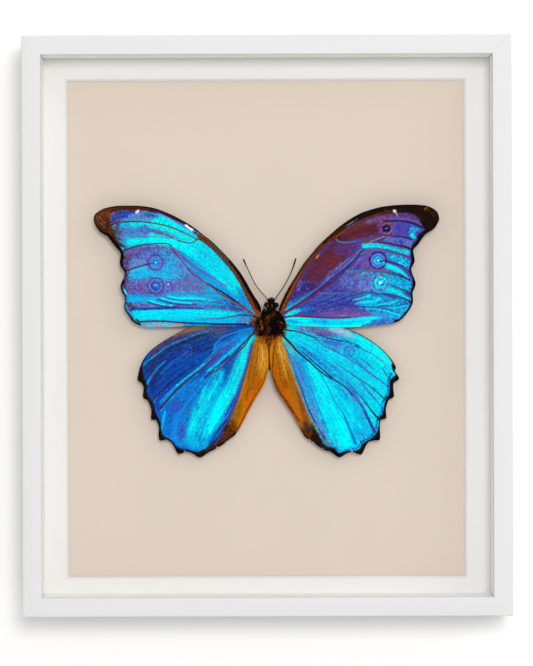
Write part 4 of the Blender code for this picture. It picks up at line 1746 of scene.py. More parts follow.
LEFT_FOREWING_MARKS: list[Mark] = [
    # Broad colours.
    Patch(Tint.LILAC, [(112, 213), (124, 210), (140, 211), (158, 214), (150, 220), (128, 220), (112, 224)],
          3.0, 0.85, 0.9),
    Patch(Tint.LILAC, [(114, 230), (128, 226), (150, 227), (172, 233), (186, 240), (160, 238), (138, 238),
                       (120, 241)], 3.0, 0.55, 0.8),
    Patch(Tint.LILAC, [(124, 252), (140, 247), (172, 247), (178, 256), (188, 268), (200, 280), (206, 291),
                       (188, 294), (160, 296), (140, 292), (122, 296), (121, 284), (125, 272), (122, 262)],
          4.0, 0.9, 1.0),
    Patch(Tint.SKY, [(146, 251), (160, 249), (172, 252), (176, 262), (180, 270), (168, 274), (160, 270),
                     (164, 262), (156, 254)], 4.0, 0.7, 0.6),
    Patch(Tint.SKY, [(128, 272), (146, 269), (168, 272), (190, 276), (166, 279), (146, 277), (130, 279)],
          2.5, 0.75, 0.4),
    Patch(Tint.MAUVE, [(174, 276), (190, 274), (202, 281), (206, 290), (190, 292), (178, 290)],
          4.0, 0.6, 0.9),
    Patch(Tint.VIOLET, [(126, 251), (144, 247.6), (168, 247), (174, 254), (168, 256), (146, 254),
                        (128, 260)], 3.0, 0.5, 1.0),
    Patch(Tint.VIOLET, [(124, 276), (140, 279), (150, 278), (172, 282), (176, 292), (150, 295),
                        (126, 294)], 4.0, 0.45, 1.0),
    Patch(Tint.PLUM, [(111, 214), (118, 214), (121, 228), (126, 244), (130, 254), (130, 272),
                      (128, 290), (131, 304), (124, 304), (121, 284), (124, 270), (120, 250),
                      (114, 234), (110, 224)], 3.0, 0.55, 1.0),
    Patch(Tint.MAUVE, [(128, 282), (142, 280), (148, 288), (144, 293), (130, 292)], 3.0, 0.5, 1.0),
    Patch(Tint.SKY, [(128, 295), (150, 296), (180, 292), (206, 295), (232, 302), (206, 304), (180, 303),
                     (150, 301), (132, 303)], 2.5, 0.85, 0.3),
    Patch(Tint.MAUVE, [(128, 303), (148, 302), (176, 304), (204, 304), (206, 307), (176, 308), (146, 308),
                       (130, 309)], 2.0, 0.7, 0.9),
    Patch(Tint.AQUA, [(132, 310), (160, 309), (206, 309), (240, 313), (226, 318), (190, 319), (160, 319),
                      (138, 318)], 1.8, 0.95, 0.2),
    Patch(Tint.CYAN, [(142, 311), (168, 310), (206, 310), (232, 313.6), (206, 316), (168, 317), (144, 316)],
          1.6, 0.7, 0.1),
    Patch(Tint.CYAN, [(172, 219), (188, 230), (206, 243), (224, 260), (238, 280), (244, 296), (230, 290),
                      (210, 274), (190, 257), (172, 248), (150, 240), (150, 224), (160, 216)],
          3.0, 0.95, 0.0),
    Patch(Tint.CYAN, [(132, 221), (150, 222), (176, 230), (194, 239), (176, 238), (160, 232), (144, 226),
                      (130, 226)], 2.5, 0.8, 0.1),
    Patch(Tint.CYAN, [(126, 238), (150, 238), (178, 242), (172, 245), (150, 243), (134, 245), (128, 244)],
          1.8, 0.7, 0.2),
    Patch(Tint.AZURE, [(236, 286), (244, 290), (251, 308), (254, 314), (246, 308), (240, 300)],
          3.0, 0.8, 0.4),
    Patch(Tint.ROYAL, [(226, 300), (240, 306), (254, 314), (238, 312)], 3.0, 0.5, 0.9),
    Patch(Tint.VIOLET, [(236, 317), (256, 317), (254, 323), (238, 322)], 3.0, 0.4, 0.8),
    Patch(Tint.MAUVE, [(206, 304), (236, 306), (248, 312), (206, 308)], 2.6, 0.5, 1.0),
    # Tip and costal edge.
    Streak(Tint.ROYAL, [(118, 213), (128, 211.6), (137, 212)], (3.5, 3.0), 0.8, 1.6, 0.6),
    Patch(Tint.RUSSET, [(88, 200), (140, 198), (142, 210.2), (128, 209.4), (117, 211), (111, 214.5),
                        (110.5, 220), (110.5, 226), (112.5, 229.5), (114.5, 234), (118.5, 241), (121.5, 247),
                        (123, 252), (108, 256), (88, 230)], 2.2, 1.0, 0.5),
    Patch(Tint.UMBER, [(100, 221), (108, 219), (112, 228), (116, 236), (121, 246), (116, 246), (108, 236),
                       (100, 230)], 3.0, 0.7, 0.0),
    Patch(Tint.RUST, [(101, 211), (108, 209), (109, 215), (106, 221), (101, 217)], 2.5, 0.35, 0.0),
    Patch(Tint.RUST, [(97, 212), (112, 208), (112, 224), (118, 240), (110, 236), (99, 226)], 2.0, 0.5, 0.8),
    Patch(Tint.UMBER, [(98, 216), (106, 214), (116, 236), (121, 247), (112, 240), (100, 228)],
          2.0, 0.55, 0.8),
    Streak(Tint.ROSE, [(97.0, 215), (98.4, 219), (101, 222.5), (104, 225.5), (107, 228)], (0.7, 0.7), 0.35),
    Streak(Tint.ROSE, [(99.5, 213.5), (100.2, 217), (102.5, 220), (106, 222.5)], (0.5, 0.5), 0.35),
    Streak(Tint.RUST, [(102.5, 213), (104.5, 216.5), (105.6, 220)], (1.4, 1.0), 0.5),
    Streak(Tint.RUSSET, [(104, 209), (116, 207.8), (130, 207.4), (146, 208.6), (158, 211.6), (172, 217),
                         (186, 224.4), (196, 231)], (4.6, 3.6), 0.95, 1.0),
    Streak(Tint.SOOT, [(100, 208.6), (112, 206.4), (122, 205.4), (140, 205.6), (156, 208.4), (171, 213.8),
                       (186, 221.9), (194, 227.2), (203, 234), (213, 242.1), (222, 251), (231, 260.6)],
           (2.0, 3.0), 1.0, 1.0),
    Streak(Tint.SOOT, [(150, 209.6), (166, 214.6), (182, 222.8), (194, 230.4)], (1.6, 2.4), 0.7, 1.0),
    Streak(Tint.WINE, [(112, 211), (120, 209.3), (134, 208.5), (146, 209), (158, 212), (170, 217),
                       (180, 222), (190, 228), (197, 233.5)], (2.6, 1.4), 0.75, 1.2),
    Streak(Tint.ROYAL, [(150, 211.5), (160, 213.4), (170, 218), (180, 223.6), (189, 229)], (1.6, 1.2), 0.7),
    Streak(Tint.LILAC, [(158, 213.0), (166, 216.2), (176, 221.2), (184, 225.2)], (1.3, 1.5), 0.9),
    Streak(Tint.PEARL, [(186.2, 225.4), (190, 227.9), (194.4, 231.2)], (2.6, 2.2), 0.95, 1.2),
    Streak(Tint.INDIGO, [(193.6, 231.4), (197, 234.0), (199, 236)], (2.6, 1.6), 0.75, 1.2),
    Patch(Tint.PEARL, [(136.0, 211.2), (139.0, 209.2), (139.8, 210.2), (137.6, 213.2), (135.6, 213)],
          0.7, 1.0, 0.0),
    Patch(Tint.INDIGO, [(143, 213), (152, 212.8), (160, 215), (156, 217.4), (146, 216)], 1.8, 0.4, 0.8),
    Patch(Tint.ROYAL, [(112, 216), (122, 213), (130, 214), (124, 219), (113, 221)], 2.0, 0.55, 1.0),
    # Costal band near the body.
    Patch(Tint.RUST, [(196, 233), (203, 234.5), (212, 243), (222, 252.5), (231, 261.5), (239.5, 271.5),
                      (248, 286), (254, 296), (262, 308), (258.5, 315.5), (253, 310), (249.4, 302),
                      (245, 293), (240, 283), (235.2, 275), (230, 268), (225, 262.5), (220, 257),
                      (215, 251.5), (210, 247), (205, 243), (199, 239)], 0.7, 1.0, 0.0),
    Streak(Tint.UMBER, [(199, 235), (210, 243.4), (220, 252.8), (229, 262), (238, 273), (246, 287),
                        (252, 299), (257, 309)], (1.4, 1.6), 0.9),
    Streak(Tint.UMBER, [(198, 236.8), (208, 244.4), (218, 253.8), (227, 263.4), (235, 273.4)],
           (0.8, 0.7), 0.7),
    Streak(Tint.WINE, [(199, 239), (206, 243.6), (214, 250.4), (222, 259), (230, 268), (236, 276.2),
                       (241, 285), (246, 295), (250, 303.6)], (0.9, 1.0), 0.85),
    Streak(Tint.AMBER, [(238, 275.6), (244, 286), (249, 296), (254, 307)], (0.8, 1.0), 0.35, 0.8),
    Streak(Tint.UMBER, [(236, 273), (243, 284.4), (249, 297), (253.6, 308)], (0.8, 0.9), 0.7),
    Streak(Tint.SOOT, [(231, 261.6), (239.4, 271.2), (245, 280.8), (252, 292.6), (257.5, 301.6),
                       (261.5, 309)], (4.4, 6.4), 1.0, 1.2),
    # Long streaks along the veins of the cell.
    Streak(Tint.MAUVE, [(174, 249.5), (180, 254), (187, 260), (193, 265), (200, 270), (207, 274),
                        (214, 278.4), (226, 286)], (4.4, 1.6), 0.85, 1.8, 0.4),
    Streak(Tint.PURPLE, [(183, 257.4), (193, 265.4), (203, 271.6)], (2.0, 1.6), 0.6, 1.4, 0.3),
    Streak(Tint.VIOLET, [(180, 251), (188, 256), (198, 263), (206, 268.6)], (0.9, 0.6), 0.55),
    Streak(Tint.PURPLE, [(189, 268), (197, 274), (204, 279)], (1.7, 1.2), 0.75),
    Streak(Tint.AZURE, [(192, 266.6), (200, 273), (207, 278), (214, 282.6)], (0.8, 0.8), 0.45),
    Streak(Tint.INDIGO, [(208, 283.4), (215, 287.6), (222, 291.8), (230, 297), (237, 302), (244, 307.4)],
           (1.6, 2.2), 0.95, 0.8, 0.2, Tint.NAVY),
    Streak(Tint.ROYAL, [(222, 294), (232, 300), (242, 306)], (1.0, 1.6), 0.6),
    Streak(Tint.AZURE, [(201, 250), (204, 253), (207, 257.5)], (1.0, 0.7), 0.4),
    Streak(Tint.AZURE, [(213, 281.4), (218, 284.6), (226, 289)], (0.9, 0.7), 0.4),
    # Tip half: small marks beside the veins.
    Patch(Tint.MAUVE, [(148, 228), (158, 229.6), (170, 234), (180, 238.2), (170, 237.4), (158, 233.6),
                       (148, 231.4)], 1.4, 0.8, 0.9),
    Streak(Tint.SLATE, [(176, 236.4), (182, 238.4), (190, 240.4)], (1.0, 0.8), 0.5),
    Patch(Tint.AQUA, [(121.6, 246.8), (123.4, 247.4), (125, 250.2), (123.2, 250.6)], 0.6, 1.0, 0.0),
    Streak(Tint.WINE, [(119.6, 243.6), (123, 245), (126.6, 246.8)], (1.5, 0.8), 0.7),
    Patch(Tint.MAUVE, [(126, 250), (136, 247.4), (150, 245.6), (166, 245.4), (172, 246.4), (166, 249),
                       (148, 250), (134, 254), (126, 258)], 1.6, 0.7, 1.0),
    Streak(Tint.PLUM, [(122.5, 257.4), (130, 258), (141, 257)], (1.8, 0.8), 0.6, 1.4, 0.5),
    Patch(Tint.PLUM, [(122, 256), (128, 255), (129, 262), (127, 268), (123, 265)], 2.2, 0.5, 0.8),
    Streak(Tint.AQUA, [(154, 265.5), (147, 267), (139, 269), (131, 271.4)], (1.0, 1.2), 0.6),
    Streak(Tint.PLUM, [(124, 280.6), (127, 278.6), (131, 276.8)], (1.4, 0.8), 0.75, 1.0, 0.5),
    Patch(Tint.PLUM, [(122, 281), (127, 281), (128, 286), (124, 290)], 2.0, 0.5, 0.9),
    Patch(Tint.CYAN, [(123.8, 288.6), (125.4, 289.4), (127.2, 292.6), (126.2, 293.4), (124.4, 291)],
          0.6, 1.0, 0.0),
    Patch(Tint.PLUM, [(126, 303), (131, 301), (134, 308), (130, 312), (126, 308)], 2.0, 0.55, 0.9),
    Patch(Tint.NAVY, [(131, 306.6), (137, 307), (136, 309.6), (132, 309.4)], 1.2, 0.65, 0.5),
    Streak(Tint.PLUM, [(128, 311.6), (131, 315), (134, 318.6)], (2.2, 2.2), 0.6, 1.6, 0.8),
    Streak(Tint.CYAN, [(133.8, 319.4), (134.4, 318.2), (136.2, 317.3)], (1.0, 0.8), 0.95),
    *[Streak(Tint.VIOLET, [(x, 274.6 + 0.2 * n), (x + 6, 277), (x + 11, 280 + 0.2 * n)], (0.7, 0.6), 0.6)
      for n, x in enumerate((161, 165.5, 170, 174.5))],
    *[Streak(Tint.CYAN, [(x, 274.2), (x + 5, 276), (x + 9, 278.4)], (0.7, 0.6), 0.7)
      for x in (163.5, 168, 172.5)],
    Streak(Tint.INDIGO, [(148.5, 301.4), (154, 303.6), (160, 305), (168, 306.3), (180, 306.8)],
           (1.6, 1.2), 0.85, 0.8, 0.4),
    Streak(Tint.INDIGO, [(158, 299.2), (165, 301), (172, 302.8), (184, 304.2), (196, 304.6)],
           (1.6, 1.2), 0.8, 0.8, 0.4),
    Streak(Tint.PURPLE, [(164, 296.8), (172, 298.6), (182, 300.2), (194, 300), (204, 301.6)],
           (1.3, 1.3), 0.75, 0.8, 0.3),
    Streak(Tint.CYAN, [(149, 300.2), (155, 302), (162, 303.9), (172, 305.2)], (1.4, 1.2), 0.95),
    Streak(Tint.CYAN, [(162, 297.6), (170, 300.2), (180, 302), (192, 302.8)], (1.4, 1.0), 0.9),
    Streak(Tint.CYAN, [(168, 295.6), (178, 297.6), (188, 298), (200, 298.4), (212, 300.4)],
           (1.8, 1.4), 0.95),
    Streak(Tint.MAUVE, [(196, 295), (206, 296), (216, 298), (224, 300.8)], (0.9, 0.8), 0.7),
    Streak(Tint.MAUVE, [(206, 299.2), (214, 300.6), (222, 303)], (0.9, 0.8), 0.6),
    Streak(Tint.ROYAL, [(139, 308.8), (150, 308.3), (165, 307.9), (182, 307.8), (204, 308.4)],
           (2.6, 1.8), 0.85, 1.2, 0.2),
    Streak(Tint.INDIGO, [(146, 308.4), (156, 308.2), (168, 307.8)], (1.2, 1.2), 0.6),
    Streak(Tint.AZURE, [(136, 313), (160, 312.6), (190, 313.2), (220, 314.4)], (0.8, 0.8), 0.35),
    Streak(Tint.SKY, [(140, 316), (170, 315.6), (200, 316.4)], (1.0, 1.0), 0.4),
    Fan(Tint.AZURE, [(180, 224), (205, 243), (228, 268), (243, 298)],
        [(176, 240), (196, 254), (216, 272), (238, 296)], 9, (0.7, 0.7), 0.35, 3),
    Fan(Tint.AZURE, [(176, 246), (196, 262), (218, 280), (240, 300)],
        [(180, 256), (194, 271), (214, 286), (240, 303)], 6, (0.7, 0.7), 0.5, 4),
    Fan(Tint.PURPLE, [(128, 226), (144, 226), (162, 230), (180, 236)],
        [(122, 236), (140, 233), (158, 234), (178, 239)], 6, (0.8, 0.6), 0.55, 5),
    Fan(Tint.PURPLE, [(124, 251), (140, 247), (158, 245.6), (170, 246)],
        [(124, 262), (140, 260), (158, 262), (172, 262)], 7, (0.9, 0.7), 0.45, 6, 0.8),
    Fan(Tint.AQUA, [(130, 270), (146, 267), (164, 268), (182, 272)],
        [(128, 280), (146, 277), (166, 278), (192, 280)], 7, (0.9, 0.7), 0.6, 7),
    Fan(Tint.PURPLE, [(126, 284), (146, 292), (166, 294), (190, 294)],
        [(130, 296), (146, 297), (166, 297), (190, 297)], 5, (0.9, 0.7), 0.5, 8),
    Fan(Tint.INDIGO, [(210, 296), (224, 299), (238, 305), (250, 312)],
        [(206, 308), (222, 309), (238, 312), (252, 316)], 9, (0.8, 0.8), 0.5, 9),
    Fan(Tint.AZURE, [(142, 311), (172, 310), (204, 310), (240, 313.6)],
        [(146, 319), (172, 318.6), (204, 318), (236, 315)], 8, (0.7, 0.7), 0.4, 10),
    # Trailing edge.
    Patch(Tint.SKY, [(178, 319.4), (206, 319.6), (240, 318), (252, 319), (250, 323), (206, 322.6),
                     (180, 321.6)], 1.2, 0.8, 0.3),
    Patch(Tint.MAUVE, [(238, 317.6), (254, 317.8), (252, 323), (238, 322.6)], 1.4, 0.55, 0.9),
    Patch(Tint.ROSE, [(139, 322.6), (150, 322), (166, 322.4), (182, 323.4), (182, 328), (140, 328)],
          1.2, 0.6, 1.0),
    Streak(Tint.SKY, [(139, 324), (146, 326), (156, 327), (170, 326.6)], (2.0, 1.4), 0.8, 1.0),
    Streak(Tint.NAVY, [(184, 322.6), (192, 323), (204, 323.4), (216, 323.8), (230, 324), (246, 324.2)],
           (1.6, 2.0), 0.95, 0.9),
    Streak(Tint.VIOLET, [(184, 325.2), (200, 325.4), (220, 325.4), (240, 325.4)], (1.4, 1.2), 0.6),
    Patch(Tint.RUST, [(253, 316), (258, 314), (263, 318), (263, 328), (252, 326), (250, 322)],
          1.6, 0.6, 0.0),
    Streak(Tint.UMBER, [(248, 325), (253, 322), (258, 318)], (1.2, 1.6), 0.8),
    Streak(Tint.WINE, [(247, 325), (251, 324.6), (254, 326.4), (251.6, 329)], (1.2, 1.0), 0.9),
    # Eyespots.
    Eyespot((145.8, 228.8), [(0, 9.0, Tint.LILAC, 0.4), (3.6, 1.6, Tint.VIOLET, 0.6),
                             (0, 3.4, Tint.AZURE, 0.8), (0, 1.0, Tint.VIOLET, 0.5)]),
    Eyespot((155.8, 262.0), [(10.4, 1.6, Tint.MAUVE, 0.35), (7.4, 2.6, Tint.VIOLET, 0.75),
                             (5.2, 1.4, Tint.LILAC, 0.6), (0, 7.6, Tint.AZURE, 1.0),
                             (0, 4.4, Tint.DEEP, 0.5), (0, 1.5, Tint.PEARL, 0.85)]),
    Eyespot((156.0, 285.3), [(10.6, 1.6, Tint.MAUVE, 0.3), (7.9, 2.2, Tint.PURPLE, 0.8),
                             (6.0, 1.4, Tint.LILAC, 0.7), (0, 8.8, Tint.ROYAL, 0.9),
                             (2.6, 1.6, Tint.AZURE, 0.6), (0, 2.4, Tint.ROSE, 0.9)]),
    Eyespot((168.5, 284.0), [(0, 1.8, Tint.PEARL, 0.8)]),
    # Veins.
    Vein(Tint.RUSSET, [(111, 225.6), (115, 223.4), (120, 222), (130, 221.2), (140, 221.3), (150, 222.4),
                       (160, 224), (170, 226.5), (180, 230.4), (190, 235.3), (197, 239)], (1.3, 1.0)),
    Vein(Tint.SLATE, [(118, 231), (125, 229.6), (137, 228.8)], (0.9, 0.6), None, 0.6),
    Vein(Tint.TEAL, [(120, 240.5), (130, 238), (140, 236.5), (150, 236), (160, 236.5), (170, 238),
                     (182, 240.4)], (0.9, 0.7), Tint.SLATE, 0.6),
    Vein(Tint.PLUM, [(178, 240.5), (185, 242), (190, 242.8), (194, 242), (197, 239.8), (199, 238.5)],
         (1.0, 1.0), Tint.RUSSET),
    Vein(Tint.UMBER, [(122.5, 251.2), (127, 249), (135, 246.4), (140, 245.2), (150, 243.8), (160, 243),
                      (168, 243.5), (171.6, 245.6)], (1.4, 1.0), Tint.PLUM),
    Vein(Tint.PLUM, [(171, 245.4), (173, 248.4), (175, 252), (180, 258), (186, 265), (190, 270.5),
                     (195, 275), (200, 278.5), (207, 283.5), (215, 289), (220, 293.5), (230, 299.5),
                     (240, 305), (250, 311.5), (256, 315.6)], (1.0, 1.8), Tint.RUST),
    Vein(Tint.UMBER, [(126, 271), (132, 268.5), (138, 266.5), (145, 264.5), (152.5, 262.8)], (1.3, 0.8),
         Tint.INDIGO),
    Vein(Tint.SLATE, [(178, 294), (190, 293.6), (200, 293.6), (210, 293.2), (219, 293.6)], (0.8, 0.9),
         None, 0.7),
    Vein(Tint.RUSSET, [(136.6, 319), (140, 321.2), (150, 320.8), (160, 320.7), (170, 321.3), (180, 322.2),
                       (192, 322.8)], (1.8, 1.4), Tint.WINE),
    Vein(Tint.SLATE, [(195, 319), (205, 318.8), (215, 318.3), (225, 317.5), (232, 316.3), (240, 315),
                      (248, 315.3), (256, 316.6)], (0.8, 1.5), Tint.UMBER),
    # Dark margin.
    Patch(Tint.SOOT, [(106, 232), (110.5, 234), (114.6, 239), (118.6, 244), (122.4, 249), (124, 252),
                      (124.2, 257), (123.6, 262), (124.4, 267), (127, 271), (126.4, 274.4), (124.2, 279),
                      (125.6, 281.6), (123.4, 284), (122.4, 287), (124, 291), (126.2, 295.6), (126, 301),
                      (125.6, 305.8), (127, 310), (130, 314.2), (133, 318.4), (137, 321.4), (141, 323.6),
                      (138, 330), (112, 330), (112, 262), (114, 252), (100, 238)], 0.7, 1.0, 0.0),
    Streak(Tint.SOOT, [(101, 209.6), (97.3, 212.6), (95.4, 215.6), (94.9, 219.2), (96, 223.6), (98.8, 228),
                       (102.4, 231.6), (106, 233.8), (110, 238)], (1.5, 2.2), 1.0, 0.9),
]

